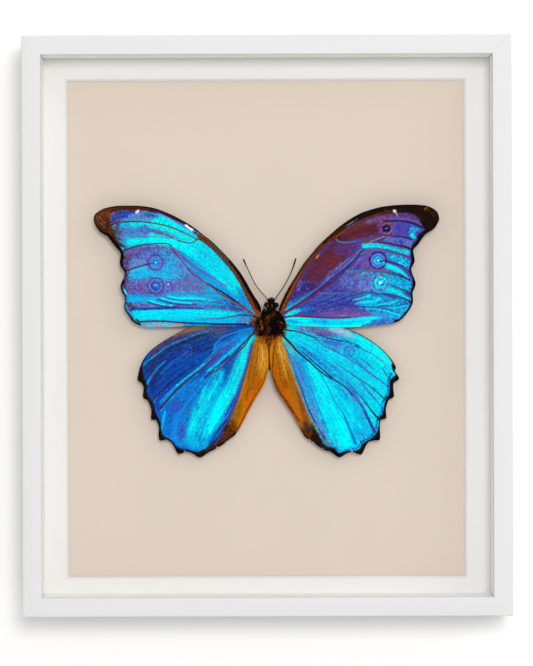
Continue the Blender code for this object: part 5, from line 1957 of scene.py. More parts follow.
RIGHT_FOREWING_MARKS: list[Mark] = [
    # Broad colours.
    Patch(Tint.GARNET, [(334, 240), (352, 228), (366, 222), (384, 219), (392, 224), (384, 233), (362, 238),
                        (346, 242), (336, 243)], 3.0, 0.9, 0.4),
    Patch(Tint.RUST, [(344, 232), (358, 224), (374, 220), (390, 219), (380, 223), (362, 226), (350, 232)],
          2.4, 0.6, 0.2),
    Patch(Tint.MAUVE, [(366, 216), (384, 213.6), (402, 213.6), (418, 217), (420, 224), (402, 220.6),
                       (382, 221), (368, 224)], 2.0, 0.75, 1.0),
    Patch(Tint.GARNET, [(312, 262), (324, 248), (338, 241), (352, 243), (356, 250), (344, 262), (330, 274),
                        (316, 288), (302, 296), (298, 290), (303, 277)], 5.0, 0.95, 0.4),
    Patch(Tint.MAROON, [(316, 262), (328, 254), (340, 256), (338, 264), (328, 273), (316, 282), (309, 280),
                        (310, 270)], 5.0, 0.75, 0.15),
    Patch(Tint.INDIGO, [(288, 305), (296, 287), (303, 279), (311, 283), (314, 289), (304, 298), (292, 306)],
          3.0, 0.85, 1.0),
    Patch(Tint.PURPLE, [(334, 243), (350, 243.5), (364, 244), (356, 252), (344, 256), (332, 252)],
          3.0, 0.55, 0.8),
    Patch(Tint.AZURE, [(284, 311), (289, 302), (300, 296), (310, 292), (300, 301), (288, 310)],
          2.0, 0.9, 0.5),
    Patch(Tint.VIOLET, [(300, 306), (322, 292), (346, 272), (366, 250), (374, 256), (370, 268), (366, 290),
                        (350, 304), (320, 314), (300, 314)], 4.0, 0.9, 0.9),
    Patch(Tint.ROYAL, [(296, 310), (312, 300), (330, 296), (352, 297), (362, 302), (340, 308), (312, 312)],
          4.0, 0.65, 0.8),
    Patch(Tint.MAUVE, [(318, 309), (346, 308), (372, 311), (372, 316), (346, 317), (320, 316)],
          2.5, 0.6, 0.8),
    Patch(Tint.ROSE, [(332, 314.6), (352, 314), (372, 314.6), (352, 317), (334, 317)], 1.6, 0.25, 0.8),
    Patch(Tint.MAUVE, [(364, 251), (374, 251), (372, 262), (374, 270), (360, 268), (358, 258)],
          3.0, 0.7, 0.9),
    Patch(Tint.LILAC, [(346, 271), (372, 272), (374, 290), (360, 292), (344, 288), (340, 278)],
          3.0, 0.7, 1.0),
    Patch(Tint.SKY, [(386, 252), (400, 255), (409, 260), (409, 268), (398, 264), (386, 258)],
          2.0, 0.8, 1.0),
    Patch(Tint.SKY, [(384, 272), (398, 276), (410, 281), (411, 290), (400, 291), (388, 285)],
          2.5, 0.85, 1.0),
    Patch(Tint.SKY, [(366, 294), (384, 296), (398, 299), (410, 303), (408, 311), (400, 318), (384, 313),
                     (366, 311), (356, 304)], 3.0, 0.8, 1.0),
    Patch(Tint.LILAC, [(386, 238), (402, 239), (412, 241), (411, 248), (400, 245), (386, 242)],
          2.0, 0.8, 1.0),
    Patch(Tint.VIOLET, [(392, 222), (405, 223), (415, 226), (423, 229), (424, 231), (418, 235), (416, 240),
                        (404, 238), (394, 235.6), (392, 228)], 2.0, 0.95, 0.8),
    Patch(Tint.SKY, [(412, 226), (420, 228.4), (417, 233), (412, 238.4), (409, 234), (410, 229)],
          2.0, 0.6, 0.9),
    Patch(Tint.CYAN, [(411.4, 233), (414, 234.6), (416, 238.6), (413, 239.4), (410.6, 236.4)],
          1.0, 0.8, 0.3),
    Patch(Tint.ROYAL, [(394, 240), (402, 241), (404, 245), (396, 243.6)], 1.6, 0.5, 0.8),
    # Rusty strip between tip and cell.
    Patch(Tint.RUST, [(360, 242.8), (366, 240.8), (376, 238), (386, 235.6), (388, 237.4), (378, 240),
                      (370, 242.6), (362, 244)], 1.2, 0.9, 0.3),
    Streak(Tint.LILAC, [(371, 242), (378, 239.4), (384.4, 236.8)], (1.6, 1.4), 0.95),
    Streak(Tint.RUSSET, [(372, 243.4), (380, 240.6), (388, 237.6)], (1.2, 0.8), 0.7),
    Streak(Tint.MAROON, [(350, 233.6), (364, 228), (378, 223.4)], (1.4, 1.0), 0.5, 1.2),
    Streak(Tint.RUST, [(350, 238.8), (362, 234.6), (376, 231.4)], (1.4, 0.8), 0.5, 1.0),
    Streak(Tint.MAROON, [(348, 240.6), (360, 237.8), (374, 234.6)], (1.0, 0.8), 0.5),
    Patch(Tint.GOLD, [(358.6, 223.6), (360.6, 223.2), (360.4, 225), (358.8, 225)], 0.6, 0.7, 0.0),
    # Cyan bands.
    Patch(Tint.CYAN, [(362, 244.4), (370, 243.5), (380, 244), (390, 246), (400, 248.5), (409.5, 251.4),
                      (408.6, 255.6), (400, 253), (390, 250), (380, 248.3), (370, 248), (363, 248.4)],
          0.9, 0.85, 0.25),
    Patch(Tint.LILAC, [(366, 245), (384, 245.4), (390, 247.4), (378, 246.8)], 1.0, 0.5, 0.6),
    Patch(Tint.CYAN, [(381, 261.6), (390, 264.6), (400, 269), (407, 275.6), (409.4, 279.2), (402, 274.6),
                      (392, 270.6), (384, 268)], 1.0, 0.95, 0.1),
    Patch(Tint.CYAN, [(384, 287), (393, 288.6), (401, 292.4), (408, 297.6), (411, 300.6), (402, 297.4),
                      (393, 294), (384, 292)], 1.2, 0.95, 0.15),
    Streak(Tint.CYAN, [(392, 257), (398, 258.6), (404, 261)], (1.4, 0.8), 0.7),
    Streak(Tint.CYAN, [(398, 262.6), (404, 265.2), (408.6, 270.6)], (1.0, 1.0), 0.8),
    Streak(Tint.CYAN, [(404, 288), (408, 290), (411, 293.6)], (0.9, 0.8), 0.7),
    Streak(Tint.CYAN, [(353, 300.4), (360, 298.6), (366, 297), (370.6, 295.4)], (1.2, 1.6), 0.9),
    Streak(Tint.CYAN, [(356, 304), (364, 302.2), (372, 301.4), (380, 299.4)], (1.6, 2.4), 0.8, 1.0),
    Streak(Tint.CYAN, [(376, 305.2), (384, 304), (392, 302.8), (398, 301)], (1.6, 1.8), 0.8, 1.0),
    Streak(Tint.CYAN, [(366, 308.6), (374, 309), (384, 310.6), (394, 313.6), (400, 316)], (1.0, 1.4), 0.8),
    Streak(Tint.CYAN, [(388, 308), (396, 308.4), (404, 306.4)], (1.4, 1.6), 0.6, 1.0),
    Streak(Tint.PURPLE, [(355.6, 301.2), (361, 300), (366, 299)], (1.6, 1.0), 0.9),
    Streak(Tint.PURPLE, [(376, 304), (384, 302.2), (391, 300.2)], (1.0, 1.0), 0.6),
    Streak(Tint.INDIGO, [(378, 307), (386, 306.6), (395, 306.4), (403, 305.2), (410, 302.8)],
           (1.2, 1.0), 0.8),
    Streak(Tint.INDIGO, [(352, 306), (362, 307), (374, 308), (386, 309.6), (398, 313.4)], (1.4, 1.0), 0.7),
    Eyespot((403.4, 313.0), [(0, 2.4, Tint.PURPLE, 0.9)]),
    *[Streak(Tint.INDIGO, [(x, 301.4 - 0.3 * n), (x + 10, 299), (x + 20, 296.4 - 0.3 * n)], (0.9, 0.7),
             0.55) for n, x in enumerate((318, 326, 334))],
    *[Streak(Tint.SKY, [(x, 300.2), (x + 9, 298), (x + 18, 295.4)], (0.9, 0.7), 0.6)
      for x in (314, 322, 330, 344)],
    *[Streak(Tint.CYAN, [(x, 277), (x + 3, 274.6), (x + 6, 272.6)], (0.9, 0.7), 0.75)
      for x in (359, 362.4, 365.6)],
    *[Streak(Tint.MAROON, [(x, 277.6), (x + 3, 275.4), (x + 5.6, 273.6)], (0.8, 0.6), 0.75)
      for x in (360.6, 364, 351)],
    *[Streak(Tint.TEAL, [(x, 281), (x + 2, 276), (x + 3, 273)], (0.7, 0.6), 0.5)
      for x in (345, 349, 353)],
    # Tip and costal edge.
    Patch(Tint.PITCH, [(340, 238), (346, 228.4), (356, 223), (366, 218.4), (378, 214.6), (386, 214.4),
                       (398, 214), (408, 213.8), (416, 216.6), (420, 222), (423, 227.6), (425, 231.6),
                       (418, 236), (417, 240.4), (412, 247.4), (416, 262), (446, 240), (446, 198),
                       (380, 198), (330, 224), (322, 242)], 1.2, 1.0, 0.0),
    Patch(Tint.PLUM, [(386, 215), (398, 213.6), (410, 213.6), (418, 218), (416, 221), (402, 217.6),
                      (388, 217.4)], 1.6, 0.7, 1.0),
    Streak(Tint.VIOLET, [(399, 213.6), (402, 215), (405, 214.4), (408, 213.2)], (1.2, 0.8), 0.7),
    Streak(Tint.RUSSET, [(346, 231.6), (356, 225.4), (366, 220.4), (376, 216.4), (386, 214.8)],
           (2.0, 2.0), 0.8, 1.2),
    Streak(Tint.RUST, [(352, 227.4), (360, 222.6), (370, 218), (380, 213.6), (392, 212)], (0.8, 0.8), 0.5),
    Streak(Tint.BONE, [(341.4, 229.8), (343.6, 228), (347.4, 225.4)], (1.6, 1.4), 1.0, 0.9),
    Streak(Tint.ROSE, [(347.4, 225.6), (352, 222.8), (358, 219.6)], (0.8, 0.6), 0.75),
    Streak(Tint.RUST, [(384, 210.6), (390, 212), (395, 214.8)], (1.0, 0.8), 0.5),
    Patch(Tint.PEARL, [(393, 210.2), (395.4, 210.0), (396.6, 212), (395.6, 213.4), (393.6, 212.6)],
          0.7, 1.0, 0.0),
    Streak(Tint.BONE, [(395.6, 212.6), (397, 214.4), (397.4, 216)], (1.2, 0.8), 0.8),
    Streak(Tint.GOLD, [(425.2, 210), (426.2, 208.6), (427.4, 208.2)], (1.0, 0.8), 0.9),
    Streak(Tint.RUST, [(426, 209.6), (427.4, 210.4), (429, 211.6)], (1.2, 1.0), 0.7),
    Streak(Tint.MAROON, [(431, 212.4), (433, 214.6), (433.6, 217.4)], (1.0, 0.8), 0.7),
    Streak(Tint.RUST, [(434.6, 211.6), (436.2, 214)], (0.8, 0.6), 0.6),
    Streak(Tint.RUSSET, [(416, 217), (420, 218.8), (424, 218.4)], (1.0, 0.8), 0.6),
    # Costal band near the body.
    Patch(Tint.RUST, [(277.6, 309), (280, 303.4), (284.6, 293.1), (290, 283.6), (296.4, 273.6),
                      (303, 263.2), (310.8, 253.6), (319.4, 243.6), (328.6, 235), (341, 227), (347, 229),
                      (338, 237.4), (334.4, 238.4), (330, 241), (325, 245.5), (320, 250), (315, 256),
                      (310, 262), (305, 269), (300, 278), (295, 287), (290, 297), (286.6, 305),
                      (283, 312.6), (279.6, 314)], 0.7, 1.0, 0.0),
    Streak(Tint.UMBER, [(281, 306), (287, 294.4), (293, 283.6), (300, 272.6), (308, 261.4), (316, 251.4),
                        (324, 242.8), (334, 234.6)], (1.6, 1.0), 0.9, 0.8),
    Streak(Tint.UMBER, [(284, 309), (290, 296.4), (297, 283), (304, 270.8), (312, 259.6), (320, 249.6),
                        (329, 240.6), (340, 233)], (0.9, 0.9), 0.75),
    Streak(Tint.AMBER, [(282.6, 307.6), (288.4, 295.4), (295, 283.4), (302, 271.8)], (0.8, 0.8), 0.35),
    Streak(Tint.MAROON, [(283.6, 312), (290.2, 297.4), (295.4, 287), (300.4, 278.2), (305.4, 269.4),
                         (310.6, 262.2), (315.6, 256.2), (321, 250), (330, 241.4), (336, 238)],
           (1.0, 0.9), 0.9),
    Patch(Tint.PITCH, [(324, 238), (332, 230.8), (341, 224), (348, 222), (346, 229), (340, 232.6),
                       (330, 239), (324, 244)], 1.6, 0.75, 0.0),
    Streak(Tint.SOOT, [(277.6, 310), (280.6, 303.6), (285.2, 293.6), (290.6, 284.2), (297, 274.2),
                       (303.6, 263.8), (311.4, 254.2), (320, 244.2), (329.2, 235.6), (340, 226.4),
                       (350, 219.4), (365.4, 211.8), (380.6, 207.6), (395, 205.7), (408.7, 205.1),
                       (421, 205.6), (428, 207)], (1.6, 2.0), 1.0, 0.8),
    Streak(Tint.SOOT, [(279.6, 310), (282.8, 303.4), (287.6, 293.4), (292, 285)], (2.4, 1.2), 0.8, 1.0),
    # Small lights and lines in the cell.
    Patch(Tint.GOLD, [(315.8, 258), (317.4, 255.6), (319.2, 255.2), (318.4, 257.4), (316.8, 258.8)],
          0.6, 0.9, 0.0),
    Eyespot((328.4, 248.2), [(0, 2.2, Tint.RUST, 0.85)]),
    Eyespot((340, 263), [(0, 2.4, Tint.RUST, 0.9)]),
    Eyespot((308.2, 281.8), [(0, 1.8, Tint.AMBER, 0.7)]),
    Eyespot((316, 282.6), [(0, 3.0, Tint.VIOLET, 0.7)]),
    Eyespot((307.4, 289), [(0, 1.8, Tint.SKY, 0.6)]),
    Eyespot((302.6, 281.6), [(0, 3.0, Tint.NAVY, 0.8), (0, 1.0, Tint.SKY, 0.7)]),
    Patch(Tint.LILAC, [(296, 287), (301, 280.6), (306, 281), (301, 288), (297, 292)], 1.8, 0.45, 1.0),
    Patch(Tint.LILAC, [(329, 272.6), (337, 267), (343, 264), (345, 267), (338, 274), (331, 280),
                       (324, 285), (322, 282)], 2.0, 0.75, 0.8),
    Streak(Tint.LILAC, [(309, 294.6), (320, 287.2), (330, 279.6), (336, 274), (342, 268.4), (348, 263),
                        (354, 258.6), (360, 254)], (1.8, 2.2), 0.9, 1.0, 0.3),
    Streak(Tint.LILAC, [(340, 265.4), (346, 261.4), (353, 256.6), (361, 250)], (1.6, 1.0), 0.8, 0.9, 0.3),
    Streak(Tint.PLUM, [(331, 275), (340, 269), (348, 261.6), (356, 255)], (1.4, 1.2), 0.85, 0.9, 0.2),
    Streak(Tint.INDIGO, [(310, 295.6), (318, 290.2), (326, 283.8), (336, 275.2), (345, 268.8),
                         (352, 262.6), (360, 255.4)], (2.2, 1.6), 0.95, 0.8, 0.1, Tint.ROYAL),
    Streak(Tint.SKY, [(285, 310.4), (292, 305.4), (300, 300.6), (310, 293.8)], (1.8, 1.2), 0.85),
    Streak(Tint.LILAC, [(352, 268.6), (357, 263.6), (361, 258)], (1.2, 0.8), 0.7),
    Patch(Tint.CYAN, [(285, 314.6), (291, 311), (299, 308.4), (301, 311), (294, 314.6), (287, 316)],
          1.2, 0.85, 0.3),
    Patch(Tint.AZURE, [(300, 309.6), (310, 306), (314, 309), (304, 313)], 2.4, 0.6, 0.9),
    Fan(Tint.INDIGO, [(292, 306), (318, 290), (340, 272), (360, 252)],
        [(300, 316), (326, 312), (350, 300), (372, 268)], 14, (0.9, 0.8), 0.5, 3, 0.6),
    Fan(Tint.LILAC, [(300, 304), (322, 294), (342, 280), (362, 262)],
        [(304, 312), (326, 310), (350, 304), (372, 292)], 9, (0.8, 0.7), 0.4, 4, 0.8),
    Fan(Tint.PLUM, [(290, 300), (306, 274), (322, 256), (340, 240)],
        [(296, 304), (316, 290), (334, 272), (354, 250)], 10, (0.9, 0.8), 0.45, 5, 0.2),
    Fan(Tint.PURPLE, [(386, 239), (396, 239.6), (404, 241), (412, 243)],
        [(384, 256), (394, 260), (402, 264), (410, 270)], 9, (0.8, 0.9), 0.5, 6, 0.6),
    Fan(Tint.INDIGO, [(386, 266), (396, 270), (404, 276), (410, 284)],
        [(382, 300), (392, 302), (402, 306), (409, 308)], 12, (0.8, 0.9), 0.45, 7, 0.6),
    Fan(Tint.CYAN, [(386, 266), (396, 269), (404, 274), (410, 282)],
        [(382, 304), (392, 306), (402, 309), (408, 311)], 10, (0.8, 0.9), 0.45, 8, 0.4),
    # Trailing strip.
    Patch(Tint.CYAN, [(282, 320.6), (287, 318), (294, 317), (310, 318), (330, 319), (350, 318.6),
                      (370, 316.6), (386, 318), (394, 321), (386, 330), (340, 330), (296, 328.6),
                      (284, 324)], 0.8, 1.0, 0.12),
    Fan(Tint.SKY, [(286, 319), (320, 319.6), (352, 319.4), (386, 318.6)],
        [(288, 325), (320, 325.6), (352, 325.4), (386, 322.6)], 9, (0.8, 0.8), 0.7, 9),
    Patch(Tint.AZURE, [(285, 319.6), (296, 320), (300, 322.6), (292, 324), (286, 322)], 1.4, 0.6, 0.6),
    Patch(Tint.AZURE, [(312, 319.4), (326, 320), (328, 324), (314, 323.4)], 2.0, 0.5, 0.4),
    Patch(Tint.VIOLET, [(374, 320), (386, 318), (399, 318.4), (400, 322), (386, 326), (370, 328),
                        (362, 326.6)], 1.6, 0.75, 0.5),
    Patch(Tint.SKY, [(372, 312.6), (390, 314), (400, 318.6), (388, 318.6), (372, 316.4)], 1.4, 0.8, 0.6),
    Streak(Tint.MAUVE, [(350, 316), (364, 315.4), (378, 315.6), (388, 317)], (1.4, 1.0), 0.8),
    Streak(Tint.AZURE, [(340, 322.2), (356, 321.4), (372, 320.4), (384, 320.2)], (1.0, 1.2), 0.45),
    Streak(Tint.NAVY, [(288, 326), (300, 327), (330, 328.4)], (1.2, 1.0), 0.6),
    Streak(Tint.MAROON, [(281, 325), (286, 325), (290, 326), (286, 329), (282, 332)], (1.4, 1.4), 0.95),
    Patch(Tint.RUST, [(276, 316), (281, 317.6), (284.6, 321.6), (283, 325), (277, 326)], 1.2, 0.9, 0.0),
    # Eyespots.
    Eyespot((386.7, 228.8), [(8.6, 2.0, Tint.MAUVE, 0.45), (6.9, 1.8, Tint.PURPLE, 0.85),
                             (5.1, 2.0, Tint.COPPER, 0.65), (0, 7.6, Tint.NAVY, 0.9),
                             (0, 2.2, Tint.LILAC, 0.8)]),
    Eyespot((378.0, 260.8), [(10.0, 1.6, Tint.MAUVE, 0.5), (8.2, 2.0, Tint.INDIGO, 0.85),
                             (6.2, 1.8, Tint.LILAC, 0.8), (0, 9.8, Tint.AZURE, 0.95),
                             (3.2, 2.0, Tint.AQUA, 0.7), (0, 1.8, Tint.PEARL, 0.9)]),
    Patch(Tint.NAVY, [(379.6, 260.4), (382.4, 261), (382, 262.8), (379.8, 262.2)], 0.6, 0.8, 0.0),
    Eyespot((380.5, 282.8), [(9.6, 2.0, Tint.SKY, 0.8), (7.7, 1.8, Tint.MAUVE, 0.8),
                             (0, 12.0, Tint.CYAN, 0.9), (3.4, 1.6, Tint.AZURE, 0.7),
                             (0, 2.4, Tint.PEARL, 1.0)]),
    Patch(Tint.ROYAL, [(381.6, 283.4), (384.6, 284.4), (383, 286), (381.4, 285)], 0.8, 0.8, 0.0),
    Patch(Tint.MAUVE, [(372, 268.6), (380, 269.6), (388, 269.4), (392, 272.4), (382, 272), (372, 271)],
          1.2, 0.8, 0.6),
    # Veins.
    Vein(Tint.SOOT, [(383, 220.8), (390, 221.4), (400, 221.3), (408, 222.4), (415, 224.4), (422, 228)],
         (1.0, 1.6)),
    Vein(Tint.TEAL, [(336, 239.5), (338, 241), (341, 242.3), (345, 242.8), (350, 242.5), (356, 241.6)],
         (1.0, 0.8), None, 0.9),
    Vein(Tint.MAROON, [(283, 313), (290, 309.5), (300, 303.5), (310, 297), (318, 292.5), (325, 287),
                       (335, 279.5), (345, 271), (352, 263), (358, 255.6), (363, 250)], (2.0, 1.0),
         Tint.UMBER),
    Vein(Tint.PLUM, [(378, 236), (385, 235.5), (395, 236.5), (405, 238), (412, 240)], (0.9, 1.2),
         Tint.SOOT, 0.9),
    Vein(Tint.RUSSET, [(377, 242.4), (383, 243), (390, 244), (398, 245.8), (405, 247), (412, 249.5)],
         (1.0, 1.8), Tint.SOOT),
    Vein(Tint.TEAL, [(366, 249), (375, 249.5), (382, 250.5), (390, 252.5), (400, 254.8), (409.6, 258.2)],
         (1.0, 1.4), Tint.PLUM),
    Vein(Tint.NAVY, [(384, 261.4), (392, 263), (400, 265.5), (407, 269.4), (410.6, 275)], (1.0, 1.2),
         Tint.INDIGO),
    Vein(Tint.TEAL, [(345, 271), (360, 271), (375, 271.6), (385, 273), (393, 274.5), (400, 276),
                     (409.6, 280.4)], (0.9, 1.8), Tint.UMBER),
    Vein(Tint.TEAL, [(386, 285), (395, 287.5), (403, 290), (411.6, 294.4)], (0.8, 1.2), Tint.SOOT),
    Vein(Tint.TEAL, [(318, 293), (330, 293.6), (345, 293.2), (365, 293), (380, 294), (390, 295.5),
                     (400, 297.5), (411, 302)], (0.9, 1.2), Tint.NAVY),
    Vein(Tint.MAROON, [(281, 318.5), (287, 317), (293, 316), (300, 316.3), (310, 317), (320, 317.7),
                       (330, 318.2), (340, 318), (351, 317.7)], (1.5, 1.1), Tint.RUSSET),
    # Dark margin.
    Patch(Tint.SOOT, [(424.6, 230.6), (419, 235.4), (417.4, 240.4), (412, 247.6), (410.6, 254),
                      (411.4, 260), (409.6, 267), (409.2, 270), (411.2, 275), (412.4, 280), (412.6, 285),
                      (411, 290), (410.4, 294), (411.2, 299), (410.4, 304), (407.4, 309.6),
                      (404, 314), (399.6, 318.6), (394, 321.6), (398, 330), (424, 330), (424, 250),
                      (446, 236)], 0.7, 1.0, 0.0),
]

